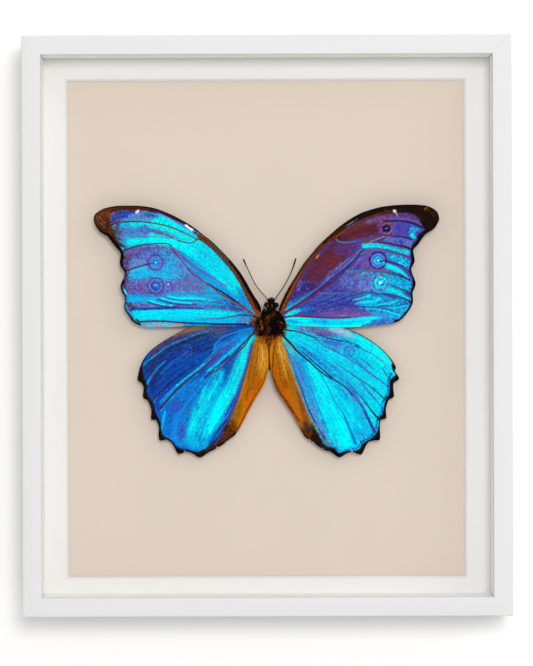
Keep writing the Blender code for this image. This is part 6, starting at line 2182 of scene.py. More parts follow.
LEFT_HINDWING_MARKS: list[Mark] = [
    # Broad colours.
    Patch(Tint.SLATE, [(152, 350), (162, 341), (180, 331), (206, 328), (224, 328), (226, 334), (206, 342),
                       (184, 346), (166, 352), (152, 360)], 3.0, 0.8, 0.7),
    Patch(Tint.GUNBLUE, [(166, 342), (190, 334), (214, 336), (216, 346), (204, 356), (188, 352),
                         (170, 358), (156, 364), (150, 358)], 5.0, 0.9, 0.8),
    Patch(Tint.GUNBLUE, [(144, 368), (156, 362), (166, 366), (160, 380), (154, 392), (150, 388),
                         (147, 378)], 3.5, 0.8, 0.9),
    Patch(Tint.INDIGO, [(148, 370), (156, 364), (162, 370), (154, 382), (147, 388)], 3.5, 0.45, 0.8),
    Patch(Tint.INDIGO, [(172, 352), (182, 350), (178, 362), (168, 368), (164, 362)], 3.0, 0.5, 0.8),
    Patch(Tint.ROYAL, [(150, 392), (162, 382), (178, 374), (180, 380), (166, 392), (156, 404)],
          3.0, 0.5, 0.5),
    Patch(Tint.DEEP, [(178, 372), (196, 360), (210, 352), (212, 360), (198, 370), (182, 380)],
          3.5, 0.7, 0.3),
    Patch(Tint.AZURE, [(166, 396), (190, 382), (206, 376), (208, 400), (206, 448), (184, 448),
                       (162, 440), (158, 416)], 3.0, 0.9, 0.45),
    Patch(Tint.BLUE, [(164, 402), (174, 396), (176, 412), (170, 436), (162, 432), (160, 414)],
          3.0, 0.6, 0.6),
    Patch(Tint.VIOLET, [(172, 400), (178, 396), (182, 404), (176, 412), (170, 410)], 3.0, 0.55, 0.7),
    Patch(Tint.VIOLET, [(178, 424), (184, 422), (186, 432), (182, 440), (177, 436)], 2.5, 0.55, 0.7),
    Patch(Tint.AQUA, [(206, 374), (222, 368), (224, 390), (214, 428), (204, 448), (186, 442), (190, 420),
                      (198, 396)], 4.0, 0.6, 0.25),
    Patch(Tint.CYAN, [(204, 388), (210, 392), (204, 408), (196, 424), (188, 434), (190, 420), (198, 404)],
          3.0, 0.8, 0.1),
    Patch(Tint.AZURE, [(206, 404), (216, 396), (220, 412), (212, 432), (204, 446), (198, 444),
                       (204, 424)], 4.0, 0.6, 0.4),
    Patch(Tint.CYAN, [(251, 346), (247, 362), (241.6, 380), (235, 397), (226, 413), (216, 428), (204, 438),
                      (206, 424), (216, 402), (226, 384), (234, 364), (240, 350), (246, 340), (254, 338)],
          3.0, 0.95, 0.05),
    Patch(Tint.AZURE, [(224, 342), (240, 332), (254, 328), (252, 334), (240, 342), (226, 352), (216, 356),
                       (212, 350), (216, 342)], 2.5, 0.85, 0.4),
    Patch(Tint.CYAN, [(244, 338), (254, 334), (256, 338), (246, 342), (236, 350), (224, 360), (214, 368),
                      (206, 372), (212, 364), (224, 354), (236, 344)], 1.8, 0.85, 0.1),
    # Front edge.
    Patch(Tint.CARAMEL, [(176, 331), (190, 325), (206, 324), (206, 327.6), (196, 329.6), (184, 334),
                         (174, 337)], 2.0, 0.75, 0.0),
    Streak(Tint.CARAMEL, [(192, 325.8), (212, 325.6), (236, 325.4)], (2.0, 1.4), 0.7, 1.4),
    Patch(Tint.PLUM, [(150, 352), (162, 343.4), (178, 335), (190, 332), (184, 338), (168, 346),
                      (154, 356)], 2.0, 0.6, 0.8),
    Streak(Tint.MAROON, [(192, 325.8), (180, 331), (170, 336.4), (160, 342.4), (150, 350.4)],
           (1.8, 1.6), 0.95, 0.8),
    Streak(Tint.SOOT, [(158, 343.2), (150, 350.2), (143.8, 358), (140.6, 364)], (0.8, 3.0), 1.0, 0.9),
    Streak(Tint.LILAC, [(146, 358), (149, 354.6), (152, 352.2)], (0.7, 0.5), 0.6),
    Streak(Tint.RUSSET, [(232, 329), (216, 332), (204, 334.2), (194, 337.6)], (1.6, 1.2), 0.7, 1.0),
    Streak(Tint.RUSSET, [(228, 326.6), (214, 329.6), (202, 332.6)], (1.2, 0.8), 0.6, 1.0),
    Streak(Tint.BLUE, [(250, 327.6), (236, 329.4), (222, 331.2), (208, 333)], (1.2, 0.8), 0.7),
    # Azure streaks between veins.
    Streak(Tint.AZURE, [(210, 330.2), (195, 334.5), (185, 338.5), (175, 342.5), (165, 347.5), (158, 353),
                        (150, 359.2), (144, 364)], (1.0, 2.2), 0.8, 0.8, 0.2, Tint.BRIGHT),
    Streak(Tint.UMBER, [(208, 332.6), (192, 338.4), (180, 343.4), (167, 349.2), (156, 356.4), (146, 363.4)],
           (0.9, 1.3), 0.8, 0.8),
    Streak(Tint.AZURE, [(206, 336.6), (194, 341), (184, 345)], (0.8, 0.6), 0.45),
    Streak(Tint.UMBER, [(172, 349), (160, 356.6), (150, 363.4), (144, 367)], (1.4, 1.0), 0.45, 1.2),
    Streak(Tint.BRIGHT, [(165, 361), (158, 367), (154, 372.4), (150, 378), (146.6, 384)], (1.2, 2.4), 0.95,
           0.8, 0.0),
    Streak(Tint.AZURE, [(188, 351), (181, 356.4), (174, 361), (167, 366.6), (161, 373.6)], (2.4, 1.4), 0.85,
           1.0, 0.2),
    Streak(Tint.AZURE, [(196, 352.6), (190, 356), (184, 359.6), (176, 363.6)], (1.2, 0.8), 0.6),
    Streak(Tint.UMBER, [(184, 361), (174, 367), (166, 371.4)], (0.9, 0.7), 0.5),
    Streak(Tint.PLUM, [(153, 366), (154.6, 370), (152.4, 375), (149.6, 379)], (1.4, 1.0), 0.6, 1.0),
    Streak(Tint.AZURE, [(165, 387), (160, 391.6), (156, 397.6), (153.6, 403)], (1.0, 1.8), 0.9),
    Streak(Tint.ROYAL, [(172, 382), (164, 389.4), (160, 396)], (1.2, 1.2), 0.6),
    Streak(Tint.AQUA, [(214, 356), (206, 363), (195, 371), (185, 379), (175, 387), (168, 394),
                       (160, 401.6)], (1.8, 3.4), 0.9, 1.2, 0.0, Tint.AZURE),
    Streak(Tint.CYAN, [(208, 361), (198, 368.4), (188, 376), (176, 385.6)], (1.0, 1.4), 0.75),
    Streak(Tint.BRIGHT, [(198, 373), (190, 380.6), (182, 387.6), (174.6, 394.6), (166, 402.6),
                         (160, 410.4)], (0.8, 1.8), 0.95),
    Streak(Tint.ROYAL, [(170, 389), (163, 396), (156, 405)], (1.0, 1.6), 0.6),
    Streak(Tint.AQUA, [(164.6, 411.6), (163.6, 417), (162.4, 424.6), (160.6, 430)], (2.0, 1.0), 0.85, 1.0),
    Streak(Tint.ROYAL, [(158, 408), (160, 416), (160, 426)], (2.0, 1.4), 0.6, 1.2),
    Streak(Tint.BRIGHT, [(189, 400), (184.6, 406.6), (180, 414), (176, 424)], (1.4, 1.4), 0.8, 1.0),
    Streak(Tint.PLUM, [(190.6, 401), (186, 408.6), (181.6, 416)], (0.9, 0.7), 0.65),
    Streak(Tint.BRIGHT, [(174, 430), (175.4, 438), (178, 446)], (1.6, 1.4), 0.7, 1.0),
    Streak(Tint.BLUE, [(198, 430), (194, 440), (192, 448)], (1.0, 1.0), 0.55),
    Streak(Tint.ROYAL, [(206, 418), (202, 430), (198, 440)], (1.2, 0.8), 0.5),
    Streak(Tint.CYAN, [(223, 372), (214.6, 387), (206.6, 401), (198, 415), (190.6, 428)], (1.2, 3.4), 0.75,
           1.6),
    Streak(Tint.AZURE, [(214, 374), (208, 384), (204, 392)], (1.2, 0.8), 0.6),
    Streak(Tint.AZURE, [(221, 384), (216.6, 393), (212, 403)], (2.4, 1.4), 0.65, 1.2),
    Streak(Tint.BLUE, [(226, 374), (222, 384), (219, 392)], (1.2, 1.0), 0.5),
    Streak(Tint.ROYAL, [(208, 424), (206.6, 432), (203, 440)], (1.2, 1.0), 0.5, 1.0),
    Streak(Tint.AZURE, [(241, 352.6), (236.6, 365), (231.6, 379), (226.6, 392)], (0.9, 0.7), 0.75),
    Fan(Tint.NAVY, [(232, 330), (206, 335), (180, 344), (152, 362)],
        [(214, 350), (192, 362), (172, 376), (150, 396)], 16, (0.9, 0.8), 0.5, 3),
    Fan(Tint.BLUE, [(232, 331), (206, 337), (180, 346), (150, 366)],
        [(214, 350), (192, 363), (172, 378), (152, 398)], 14, (0.8, 0.9), 0.5, 4),
    Fan(Tint.ROYAL, [(208, 372), (190, 386), (174, 400), (162, 414)],
        [(214, 378), (206, 402), (198, 424), (190, 446)], 14, (0.8, 0.8), 0.5, 5),
    Fan(Tint.CYAN, [(214, 376), (200, 396), (188, 416), (182, 434)],
        [(232, 366), (222, 396), (210, 420), (200, 444)], 12, (0.8, 0.9), 0.45, 6),
    Fan(Tint.BLUE, [(240, 350), (232, 368), (222, 388), (208, 410)],
        [(250, 348), (244, 370), (232, 398), (214, 428)], 6, (0.6, 0.7), 0.4, 7),
    Fan(Tint.AZURE, [(252, 330), (236, 340), (222, 350), (210, 362)],
        [(250, 338), (236, 350), (220, 364), (204, 378)], 7, (0.8, 0.8), 0.6, 8),
    # Inner streaks.
    Patch(Tint.VIOLET, [(238, 340), (232, 348), (222, 356), (212, 366), (208, 364), (214, 356),
                        (224, 348)], 2.0, 0.6, 0.7),
    Streak(Tint.VIOLET, [(236, 341), (226, 346.6), (220, 350.6), (212, 358.4), (205, 363.4)], (1.4, 1.2),
           0.75, 0.9),
    Streak(Tint.PLUM, [(222, 347), (217, 352.4), (210, 360)], (1.0, 0.8), 0.7),
    Streak(Tint.INDIGO, [(229, 356), (220, 364), (212, 371), (204.4, 377.6)], (2.2, 1.6), 0.8, 1.2),
    Streak(Tint.BLUE, [(228, 350), (218, 360), (208, 368.6)], (2.0, 1.4), 0.7, 1.0),
    Streak(Tint.NAVY, [(244, 342.6), (240, 346.6), (236, 351)], (1.8, 1.4), 0.85),
    Streak(Tint.CYAN, [(240.6, 350), (231.6, 357.6), (224, 363.6), (214, 369.6)], (0.9, 0.9), 0.9),
    # Blue by the fold.
    Streak(Tint.VIOLET, [(252, 345), (248, 362), (243.6, 376), (239, 388), (234, 400.6), (229.6, 412),
                         (225, 423)], (2.4, 3.4), 0.85, 1.4, 0.3),
    Streak(Tint.INDIGO, [(234, 398), (229, 408), (224.6, 416)], (1.4, 1.6), 0.9),
    Streak(Tint.INDIGO, [(226, 420), (221, 427), (217, 432.6)], (1.8, 1.6), 0.9),
    Streak(Tint.BRIGHT, [(230.6, 408), (227, 415), (222, 422.6)], (0.9, 0.8), 0.8),
    Streak(Tint.BRIGHT, [(225, 424), (220, 431), (216.6, 436)], (1.2, 0.8), 0.8),
    Streak(Tint.BLUE, [(233, 396), (228, 405), (222, 416), (214, 428)], (1.6, 1.6), 0.5, 1.2),
    # Orange fold: painted highlight down its rolled middle, painted shadow line on its inner edge.
    Patch(Tint.AMBER, [(254, 342), (258, 335), (266, 338), (274, 350), (274, 384), (266, 404), (254, 420),
                       (243, 442), (230, 442), (227, 430), (232, 415), (238.6, 398), (244.6, 378),
                       (250.4, 358)], 0.9, 1.0, 0.0),
    # Partly painted highlight: gold near the body, lighter where the fold rolls towards the light.
    Patch(Tint.GOLD, [(259, 346), (265, 342), (268, 352), (267, 368), (263, 376), (258, 368)],
          3.0, 0.6, 0.0),
    Patch(Tint.OCHRE, [(251, 362), (255, 352), (256, 362), (252, 380), (247, 396), (243, 410), (238, 420),
                       (236, 414), (242, 396), (247, 378)], 2.4, 0.6, 0.0),
    Patch(Tint.TANGERINE, [(252, 388), (264, 378), (268, 380), (260, 394), (250, 408), (242, 422),
                           (236, 428), (240, 412), (246, 398)], 2.4, 0.6, 0.0),
    Patch(Tint.OLIVE, [(240, 400), (242, 408), (238, 420), (234, 428), (228, 424), (233, 412)],
          2.2, 0.65, 0.0),
    # Painted highlight: a straw streak down the rolled middle of the fold.
    Streak(Tint.STRAW, [(261.6, 345), (262.6, 353), (263.6, 361)], (2.2, 1.4), 0.75, 1.4),
    Streak(Tint.GOLD, [(265.6, 362), (264.6, 370), (262, 377)], (1.4, 1.0), 0.6),
    Streak(Tint.OCHRE, [(256, 344), (257.4, 356), (256, 372), (251, 388)], (1.0, 0.8), 0.6, 0.9),
    Streak(Tint.BROWN, [(252.6, 356), (249.4, 368), (248.4, 380), (246.6, 396)], (1.0, 1.0), 0.6, 0.9),
    # Painted shadow: a brown line along the fold's inner edge.
    Streak(Tint.BROWN, [(266.6, 369), (264.6, 378), (260.6, 387), (255, 396), (249.4, 406), (243.6, 417),
                        (238, 428), (234, 434)], (0.9, 1.8), 0.8, 0.9),
    Streak(Tint.CARAMEL, [(262, 338), (266, 343.6), (267.4, 350)], (1.8, 1.4), 0.8),
    Fan(Tint.BROWN, [(255, 340), (251, 364), (244, 388), (234, 416)],
        [(265, 342), (266, 366), (258, 390), (240, 426)], 12, (0.9, 0.9), 0.5, 9, 0.0),
    Fan(Tint.STRAW, [(258, 342), (258, 354), (256, 366), (252, 380)],
        [(265, 344), (266, 356), (265, 366), (261, 380)], 8, (0.8, 0.7), 0.45, 10, 0.0),
    # Painted shadow: a brown line along the top of the fold's inner edge.
    Streak(Tint.BROWN, [(264.6, 338.6), (268, 346), (269, 356)], (1.4, 0.8), 0.7, 1.0),
    # Dark corner and margin.
    Patch(Tint.RUSSET, [(227, 421), (233, 420), (239, 427), (241, 434), (236, 437), (229, 429)],
          2.6, 0.5, 0.6),
    Patch(Tint.UMBER, [(225, 424), (229, 425.4), (233, 430), (238, 434), (234, 438), (228, 441),
                       (218, 450), (207, 456), (196, 459), (200, 452.6), (205, 449), (211, 443.6),
                       (218, 437.6), (222, 430)], 2.2, 0.95, 0.0),
    Fan(Tint.RUST, [(230, 422), (226, 430), (220, 438), (212, 446)],
        [(236, 428), (232, 434), (226, 440), (218, 447)], 7, (1.0, 0.8), 0.55, 11, 0.0),
    Streak(Tint.VIOLET, [(223, 432), (219, 437.6), (214.6, 445)], (1.4, 1.0), 0.75),
    Streak(Tint.RUSSET, [(231, 424), (234.6, 429), (231, 433), (224, 437.6)], (1.6, 1.2), 0.7, 1.0),
    Streak(Tint.SOOT, [(236.6, 433), (231, 437), (224, 442), (217, 447), (208, 451.8), (199.4, 456)],
           (1.2, 2.6), 0.95, 1.0),
    Streak(Tint.BLUE, [(145, 386), (149, 396), (154.6, 406), (158.6, 420), (161.6, 434), (170, 440),
                       (178, 446.6), (190, 450)], (2.4, 2.4), 0.6, 1.4, 0.6),
    Patch(Tint.PITCH, [(141, 364), (142.4, 369), (143.6, 376), (147, 384.6), (146.6, 391), (150, 397.4),
                       (153.6, 404), (155.4, 412), (158.4, 418), (160.6, 424.6), (161.6, 432.6),
                       (166.4, 437.6), (172, 441.4), (176.6, 446.6), (182.6, 448.8), (190, 450.8),
                       (198, 451.6), (204, 449.4), (206, 460), (170, 462), (150, 446), (136, 404),
                       (130, 366)], 0.8, 1.0, 0.0),
    Streak(Tint.SOOT, [(139.4, 368), (137.8, 377), (138.4, 379.6), (141.6, 381.6), (143.8, 386.6),
                       (143, 394.4), (144, 396.8), (148, 399.6), (151.4, 408.6), (151, 417),
                       (155.8, 418.8), (158.8, 425.6), (158.6, 434.4), (161.4, 439), (166, 438.2),
                       (172, 442), (175.6, 449), (180.8, 451.8), (185.2, 450.2), (190.6, 451.2),
                       (199, 455.6)], (1.8, 2.2), 1.0, 0.9),
    Streak(Tint.RUSSET, [(149, 391), (147.6, 396), (151.6, 404), (153, 412)], (0.8, 0.6), 0.5),
    Streak(Tint.RUSSET, [(160, 428), (162, 436), (168, 439)], (0.8, 0.6), 0.5),
    Streak(Tint.RUSSET, [(196, 453), (202, 452), (208, 448)], (0.8, 0.8), 0.5),
    *[Eyespot(spot, [(0, 1.7, Tint.BONE, 0.8)]) for spot in (
        (209.4, 452.2), (217.2, 447.4), (226, 441.8), (231.6, 437.8), (184.8, 451), (157.6, 428))],
    # Eyespot.
    Eyespot((187.5, 350.5), [(8.0, 1.6, Tint.INDIGO, 0.35), (4.5, 1.6, Tint.VIOLET, 0.5),
                             (0, 4.4, Tint.BLUE, 0.6)]),
    # Veins.
    Vein(Tint.TEAL, [(252, 327.6), (240, 330.8), (230, 333.8), (223, 337), (218, 341), (215, 345),
                     (214.5, 350), (211, 355), (205, 361), (199, 367)], (1.0, 0.8), Tint.BRIGHT, 0.9),
    Vein(Tint.UMBER, [(255, 331), (250, 337), (247, 342), (243, 347.4), (238, 352), (230, 359),
                      (222, 366), (217, 370.6), (208, 375)], (1.5, 0.9), Tint.MAROON),
    Vein(Tint.NAVY, [(254, 333), (246, 340), (241, 346), (234, 353.6), (226, 360.6), (217, 368)],
         (1.4, 1.0), Tint.BLUE),
    Vein(Tint.PLUM, [(222, 352), (215, 357), (208, 363), (202, 368), (198, 371), (190, 377), (182, 384),
                     (175, 391), (168, 399), (160.6, 408)], (1.2, 2.0), Tint.UMBER),
    Vein(Tint.NAVY, [(196, 364), (188, 369), (180, 375), (172, 381), (165, 387), (158, 394),
                     (152.6, 400.6)], (0.9, 1.5), Tint.UMBER),
    Vein(Tint.GUNBLUE, [(212, 346), (200, 349), (190, 357), (180, 364), (170, 372), (160, 382),
                        (150, 392)], (0.8, 0.9), Tint.ROYAL, 0.5),
    Vein(Tint.AZURE, [(204, 377.6), (198, 384), (190, 394), (184, 404), (179, 418), (177, 432),
                      (179, 446)], (0.8, 0.9), Tint.BLUE, 0.45),
    Vein(Tint.AZURE, [(217, 371), (212, 382), (206, 396), (200, 412), (195, 428), (193, 449)],
         (0.8, 0.9), Tint.AQUA, 0.4),
]

RIGHT_HINDWING_MARKS: list[Mark] = [
    # Broad colours.
    Patch(Tint.AQUA, [(336, 352), (356, 350), (376, 362), (384, 378), (384, 396), (374, 392), (352, 374),
                      (338, 366)], 5.0, 0.6, 0.35),
    Patch(Tint.SKY, [(330, 382), (344, 388), (350, 398), (346, 414), (338, 400), (330, 392)],
          4.0, 0.35, 0.4),
    Patch(Tint.LILAC, [(296, 326), (316, 325), (340, 326), (352, 331), (356, 340), (336, 336),
                       (314, 334), (300, 331)], 2.5, 0.8, 0.9),
    Patch(Tint.MAUVE, [(306, 328), (322, 329), (338, 334), (330, 337), (316, 334)], 2.0, 0.6, 0.9),
    Patch(Tint.MIST, [(328, 328), (340, 327), (352, 333), (354, 339), (342, 335), (330, 331)],
          2.4, 0.9, 0.4),
    Patch(Tint.CYAN, [(352, 334), (366, 340), (380, 349), (390, 360), (391, 372), (384, 370), (372, 356),
                      (358, 344)], 2.4, 0.9, 0.1),
    Patch(Tint.LILAC, [(322, 340), (336, 340), (352, 345), (358, 352), (346, 354), (330, 348)],
          2.5, 0.85, 0.7),
    Patch(Tint.BLUE, [(320, 339), (334, 340), (346, 344), (338, 346), (326, 344)], 2.0, 0.5, 0.7),
    Patch(Tint.SKY, [(338, 348), (352, 346), (360, 352), (356, 362), (344, 360), (336, 354)],
          3.0, 0.6, 0.6),
    Patch(Tint.CYAN, [(300, 344), (316, 356), (332, 368), (348, 380), (362, 396), (374, 414), (378, 424),
                      (368, 414), (354, 398), (340, 384), (322, 370), (308, 358)], 2.4, 0.7, 0.05),
    Patch(Tint.CYAN, [(306, 362), (316, 370), (324, 384), (330, 400), (330, 424), (334, 446), (326, 436),
                      (318, 414), (312, 392), (306, 374)], 3.0, 0.8, 0.05),
    Patch(Tint.CYAN, [(336, 412), (346, 424), (350, 440), (346, 448), (338, 444), (332, 430)],
          3.5, 0.8, 0.1),
    Patch(Tint.SKY, [(354, 400), (366, 416), (374, 430), (368, 438), (358, 444), (352, 424)],
          3.0, 0.7, 0.6),
    Patch(Tint.LILAC, [(346, 382), (352, 388), (357, 396), (354, 402), (348, 394)], 1.8, 0.8, 0.9),
    # Grey-blue strip beside the fold.
    Patch(Tint.HAZE, [(283, 345), (290, 352), (299, 362), (305, 378), (310, 392), (316, 406), (322, 424),
                      (328, 446), (318, 436), (306, 410), (298, 388), (290, 366)], 1.8, 0.95, 0.5),
    Patch(Tint.LILAC, [(310, 398), (316, 406), (322, 420), (326, 434), (318, 428), (311, 414)],
          2.4, 0.7, 0.9),
    Patch(Tint.MAUVE, [(318, 428), (328, 438), (333, 448), (326, 446), (318, 436)], 2.4, 0.6, 0.9),
    Streak(Tint.MAUVE, [(293, 357), (297, 366), (301, 374)], (1.2, 0.8), 0.6, 1.0),
    Streak(Tint.AQUA, [(281.6, 337), (285, 344), (290, 350), (296, 358)], (1.6, 1.0), 0.8),
    Streak(Tint.BLUE, [(284, 344), (289, 356), (294, 368), (298, 380)], (1.6, 1.4), 0.7, 1.0),
    Streak(Tint.INDIGO, [(296, 376), (301, 388), (305, 400), (309, 411), (314.6, 422)], (1.2, 2.0), 0.95,
           0.8, 0.1),
    Streak(Tint.NAVY, [(302, 390), (306, 402), (310.6, 413)], (0.9, 0.9), 0.7),
    Streak(Tint.ROSE, [(297, 384), (302, 396), (306, 407), (311, 418)], (0.8, 0.8), 0.55),
    Streak(Tint.CYAN, [(313, 424), (318, 433), (322.6, 441.4), (325, 446)], (1.4, 1.6), 0.95),
    Streak(Tint.INDIGO, [(314, 420), (320, 431), (325, 440)], (1.4, 1.2), 0.7),
    # Long streaks.
    Streak(Tint.INDIGO, [(318, 334.6), (328, 338), (336, 340.2), (345, 341.4)], (1.4, 1.2), 0.85),
    Streak(Tint.NAVY, [(327, 338), (334, 339.4), (341, 340.8)], (1.2, 1.0), 0.7),
    Streak(Tint.PLUM, [(316, 333), (324, 335), (332, 337.2)], (0.9, 0.7), 0.6),
    Streak(Tint.PLUM, [(326, 333.6), (332, 336), (338, 338)], (0.9, 0.7), 0.7),
    Streak(Tint.INDIGO, [(344, 341), (350, 343.6), (355, 346), (359, 347.8)], (1.4, 1.8), 0.8, 0.9),
    Streak(Tint.VIOLET, [(359, 347.6), (364, 350), (370, 353), (377, 357.4)], (1.6, 1.2), 0.75, 1.0),
    Streak(Tint.ROYAL, [(342, 338.6), (350, 342), (360, 346.6)], (0.9, 0.9), 0.6),
    Streak(Tint.LILAC, [(378, 358), (384, 362.4), (390, 368.4)], (1.6, 1.4), 0.7, 1.0),
    Streak(Tint.ROYAL, [(302, 346.4), (309, 353), (318, 360.4), (327, 368), (334, 375.4)], (1.3, 1.8), 0.8),
    Streak(Tint.PURPLE, [(319, 363), (327, 370.4), (336, 377.6)], (1.0, 1.2), 0.7),
    Streak(Tint.ROYAL, [(317, 350.4), (322, 355.4), (330, 363.4), (337, 369)], (1.4, 1.0), 0.7),
    Streak(Tint.MAUVE, [(322, 355), (330, 362.4), (338, 369.4)], (1.0, 0.9), 0.7),
    Streak(Tint.AZURE, [(306, 349.6), (316, 358.6), (326, 367.6)], (0.9, 0.8), 0.6),
    Streak(Tint.LILAC, [(334, 366), (344, 373), (354, 380.4), (362, 388.4)], (1.2, 0.8), 0.55),
    Streak(Tint.LILAC, [(330, 372), (340, 379.4), (350, 388), (358, 397)], (1.0, 0.8), 0.55),
    Streak(Tint.AZURE, [(336, 370.4), (350, 380.4), (360, 390.4)], (1.0, 0.8), 0.6),
    Streak(Tint.LILAC, [(350, 357.4), (356, 361), (362, 366), (372, 373)], (1.6, 1.2), 0.6, 1.0),
    Streak(Tint.VIOLET, [(361, 359), (366, 362.6), (370, 366), (374.6, 370)], (1.6, 1.2), 0.75, 0.9),
    Streak(Tint.ROYAL, [(348, 354), (354, 358.4), (361, 364.4)], (0.9, 0.9), 0.75),
    Streak(Tint.INDIGO, [(382, 367.6), (385, 373), (389, 378), (391, 381)], (1.0, 1.2), 0.8),
    Streak(Tint.ROYAL, [(384, 366), (387, 370.4), (391, 376)], (0.9, 0.7), 0.6),
    Streak(Tint.LILAC, [(364, 370), (374, 377.6), (382, 384.4), (389, 391)], (1.4, 1.0), 0.55, 1.0),
    Streak(Tint.VIOLET, [(362, 384), (367, 390), (372, 396), (375.6, 400)], (1.8, 1.6), 0.85, 1.0, 0.4),
    Streak(Tint.PURPLE, [(368, 391), (372, 396), (375, 399.4)], (0.9, 0.9), 0.7),
    Streak(Tint.ROYAL, [(375, 400), (380, 406), (383, 412)], (0.9, 0.9), 0.6),
    Streak(Tint.VIOLET, [(353, 392), (358, 400), (364, 410), (369, 421), (374, 432)], (2.4, 3.2), 0.85, 1.2,
           0.5),
    Streak(Tint.PURPLE, [(356, 400), (360, 405), (363, 410)], (1.6, 1.2), 0.8),
    Streak(Tint.INDIGO, [(364, 412), (370, 423), (375, 432)], (1.6, 1.8), 0.75),
    Streak(Tint.ROYAL, [(346, 383), (351, 389), (356, 396)], (1.2, 0.8), 0.6),
    Streak(Tint.ROYAL, [(348, 386.6), (350, 391.4), (354.6, 398)], (0.9, 0.8), 0.7),
    Streak(Tint.AZURE, [(344, 409), (346, 414), (348.4, 419)], (0.9, 0.8), 0.8),
    Streak(Tint.AZURE, [(356, 424), (360, 432), (363.6, 438)], (1.4, 1.4), 0.75),
    Streak(Tint.PURPLE, [(362, 434), (363.4, 438), (363, 443)], (1.2, 0.9), 0.7),
    Streak(Tint.BLUE, [(342, 414), (347, 424), (351.4, 434), (355, 444)], (1.4, 3.2), 0.7, 1.2, 0.2),
    Streak(Tint.LILAC, [(334, 436), (336, 444), (339, 450)], (1.6, 1.4), 0.6, 1.0),
    Streak(Tint.BLUE, [(321, 420), (326, 432), (333, 444)], (1.0, 1.6), 0.55, 1.0),
    *[Eyespot((x, y), [(0, 1.8, Tint.PURPLE, 0.6)]) for x, y in (
        (349, 447.6), (352, 449), (347, 450), (355, 448), (350.4, 451), (344, 451.6), (365, 433),
        (369, 437), (360, 441), (324, 436), (328, 443), (316, 410), (336, 440))],
    Fan(Tint.AZURE, [(290, 334), (316, 346), (346, 356), (384, 368)],
        [(286, 342), (308, 362), (336, 384), (372, 416)], 20, (0.7, 0.8), 0.4, 3),
    Fan(Tint.BLUE, [(296, 338), (322, 354), (350, 370), (386, 392)],
        [(296, 352), (316, 374), (340, 398), (368, 430)], 12, (0.7, 0.9), 0.45, 4),
    Fan(Tint.AZURE, [(292, 350), (310, 380), (326, 410), (340, 444)],
        [(320, 374), (340, 392), (356, 416), (370, 436)], 16, (0.7, 0.9), 0.35, 5),
    Fan(Tint.CYAN, [(300, 344), (326, 362), (350, 384), (376, 412)],
        [(304, 362), (318, 384), (332, 410), (346, 440)], 14, (0.9, 0.9), 0.45, 6, 0.0),
    Fan(Tint.PURPLE, [(290, 328), (310, 330), (326, 334), (344, 340)],
        [(296, 332), (312, 338), (328, 344), (348, 350)], 8, (0.8, 0.7), 0.45, 7, 0.5),
    # Orange fold, with a painted highlight down its rolled middle.
    Patch(Tint.AMBER, [(272, 336), (280, 334), (284, 346), (287.6, 357), (292, 371), (297, 385),
                       (301.6, 398), (306.6, 410), (311.6, 420.6), (318, 434), (306, 446), (296, 430),
                       (282, 406), (268, 384), (264, 360), (268, 344)], 0.9, 1.0, 0.0),
    # Partly painted highlight: gold near the body, lighter where the fold rolls towards the light.
    Patch(Tint.GOLD, [(276, 344), (282, 344), (287, 358), (290, 374), (286, 380), (280, 372), (277, 358)],
          3.0, 0.65, 0.0),
    Patch(Tint.OCHRE, [(284, 380), (294, 384), (299, 398), (296, 410), (288, 402), (280, 390)],
          4.0, 0.6, 0.0),
    Patch(Tint.TANGERINE, [(273, 362), (280, 366), (286, 384), (296, 404), (302, 420), (296, 420),
                           (284, 402), (275, 386)], 2.6, 0.5, 0.0),
    Patch(Tint.BROWN, [(296, 388), (301, 398), (305, 408), (310, 420), (304, 420), (299, 408)],
          2.4, 0.7, 0.0),
    # Painted highlight: straw streaks down the rolled middle of the fold.
    Streak(Tint.STRAW, [(277, 343), (280, 350), (281.6, 358)], (2.0, 1.4), 0.75, 1.4),
    Streak(Tint.STRAW, [(284, 354), (287, 362), (288.6, 370)], (1.6, 0.8), 0.5, 1.2),
    Streak(Tint.BROWN, [(274.6, 344), (273.4, 352), (272.8, 362), (272.4, 374), (275.6, 386),
                        (281, 396)], (1.4, 2.2), 0.85, 1.2),
    Streak(Tint.CARAMEL, [(276.6, 338), (276, 346), (275, 354)], (2.4, 1.4), 0.7, 1.4),
    Streak(Tint.BROWN, [(284.6, 360), (287.6, 372), (290.4, 384), (293.6, 395)], (1.2, 0.9), 0.7, 0.9),
    Streak(Tint.OCHRE, [(287, 382), (292, 396), (298, 408)], (0.9, 0.9), 0.6, 0.9),
    Streak(Tint.RUST, [(270.6, 372), (273, 382), (277, 390), (284, 400.6), (291, 411.6), (296, 421),
                       (300, 429)], (0.9, 1.6), 0.75, 0.9),
    Streak(Tint.GOLD, [(286, 352), (289.4, 364), (293, 376)], (0.8, 0.8), 0.5),
    Fan(Tint.BROWN, [(273, 340), (273, 364), (280, 388), (298, 420)],
        [(282, 340), (289, 364), (297, 388), (308, 416)], 13, (0.9, 0.9), 0.5, 8, 0.0),
    Fan(Tint.STRAW, [(275, 342), (276, 354), (279, 366), (283, 380)],
        [(282, 342), (286, 354), (289, 366), (292, 380)], 8, (0.8, 0.7), 0.45, 9, 0.0),
    Streak(Tint.BROWN, [(275, 348), (278.6, 364), (281, 376)], (1.4, 0.9), 0.6, 1.0),
    Streak(Tint.RUSSET, [(273, 376), (279, 390), (288, 404), (299, 421)], (1.6, 2.4), 0.7, 1.2),
    # Dark corner and margin.
    Patch(Tint.RUSSET, [(302, 420), (307, 420), (312, 426), (314, 434), (308, 438), (301, 432)],
          3.5, 0.8, 0.3),
    Patch(Tint.UMBER, [(298, 427), (303, 430), (308, 427), (312, 424), (317, 432), (322, 440),
                       (325.6, 446), (333, 448), (336, 452), (334, 462), (320, 456), (306, 446),
                       (298, 436)], 2.2, 1.0, 0.4),
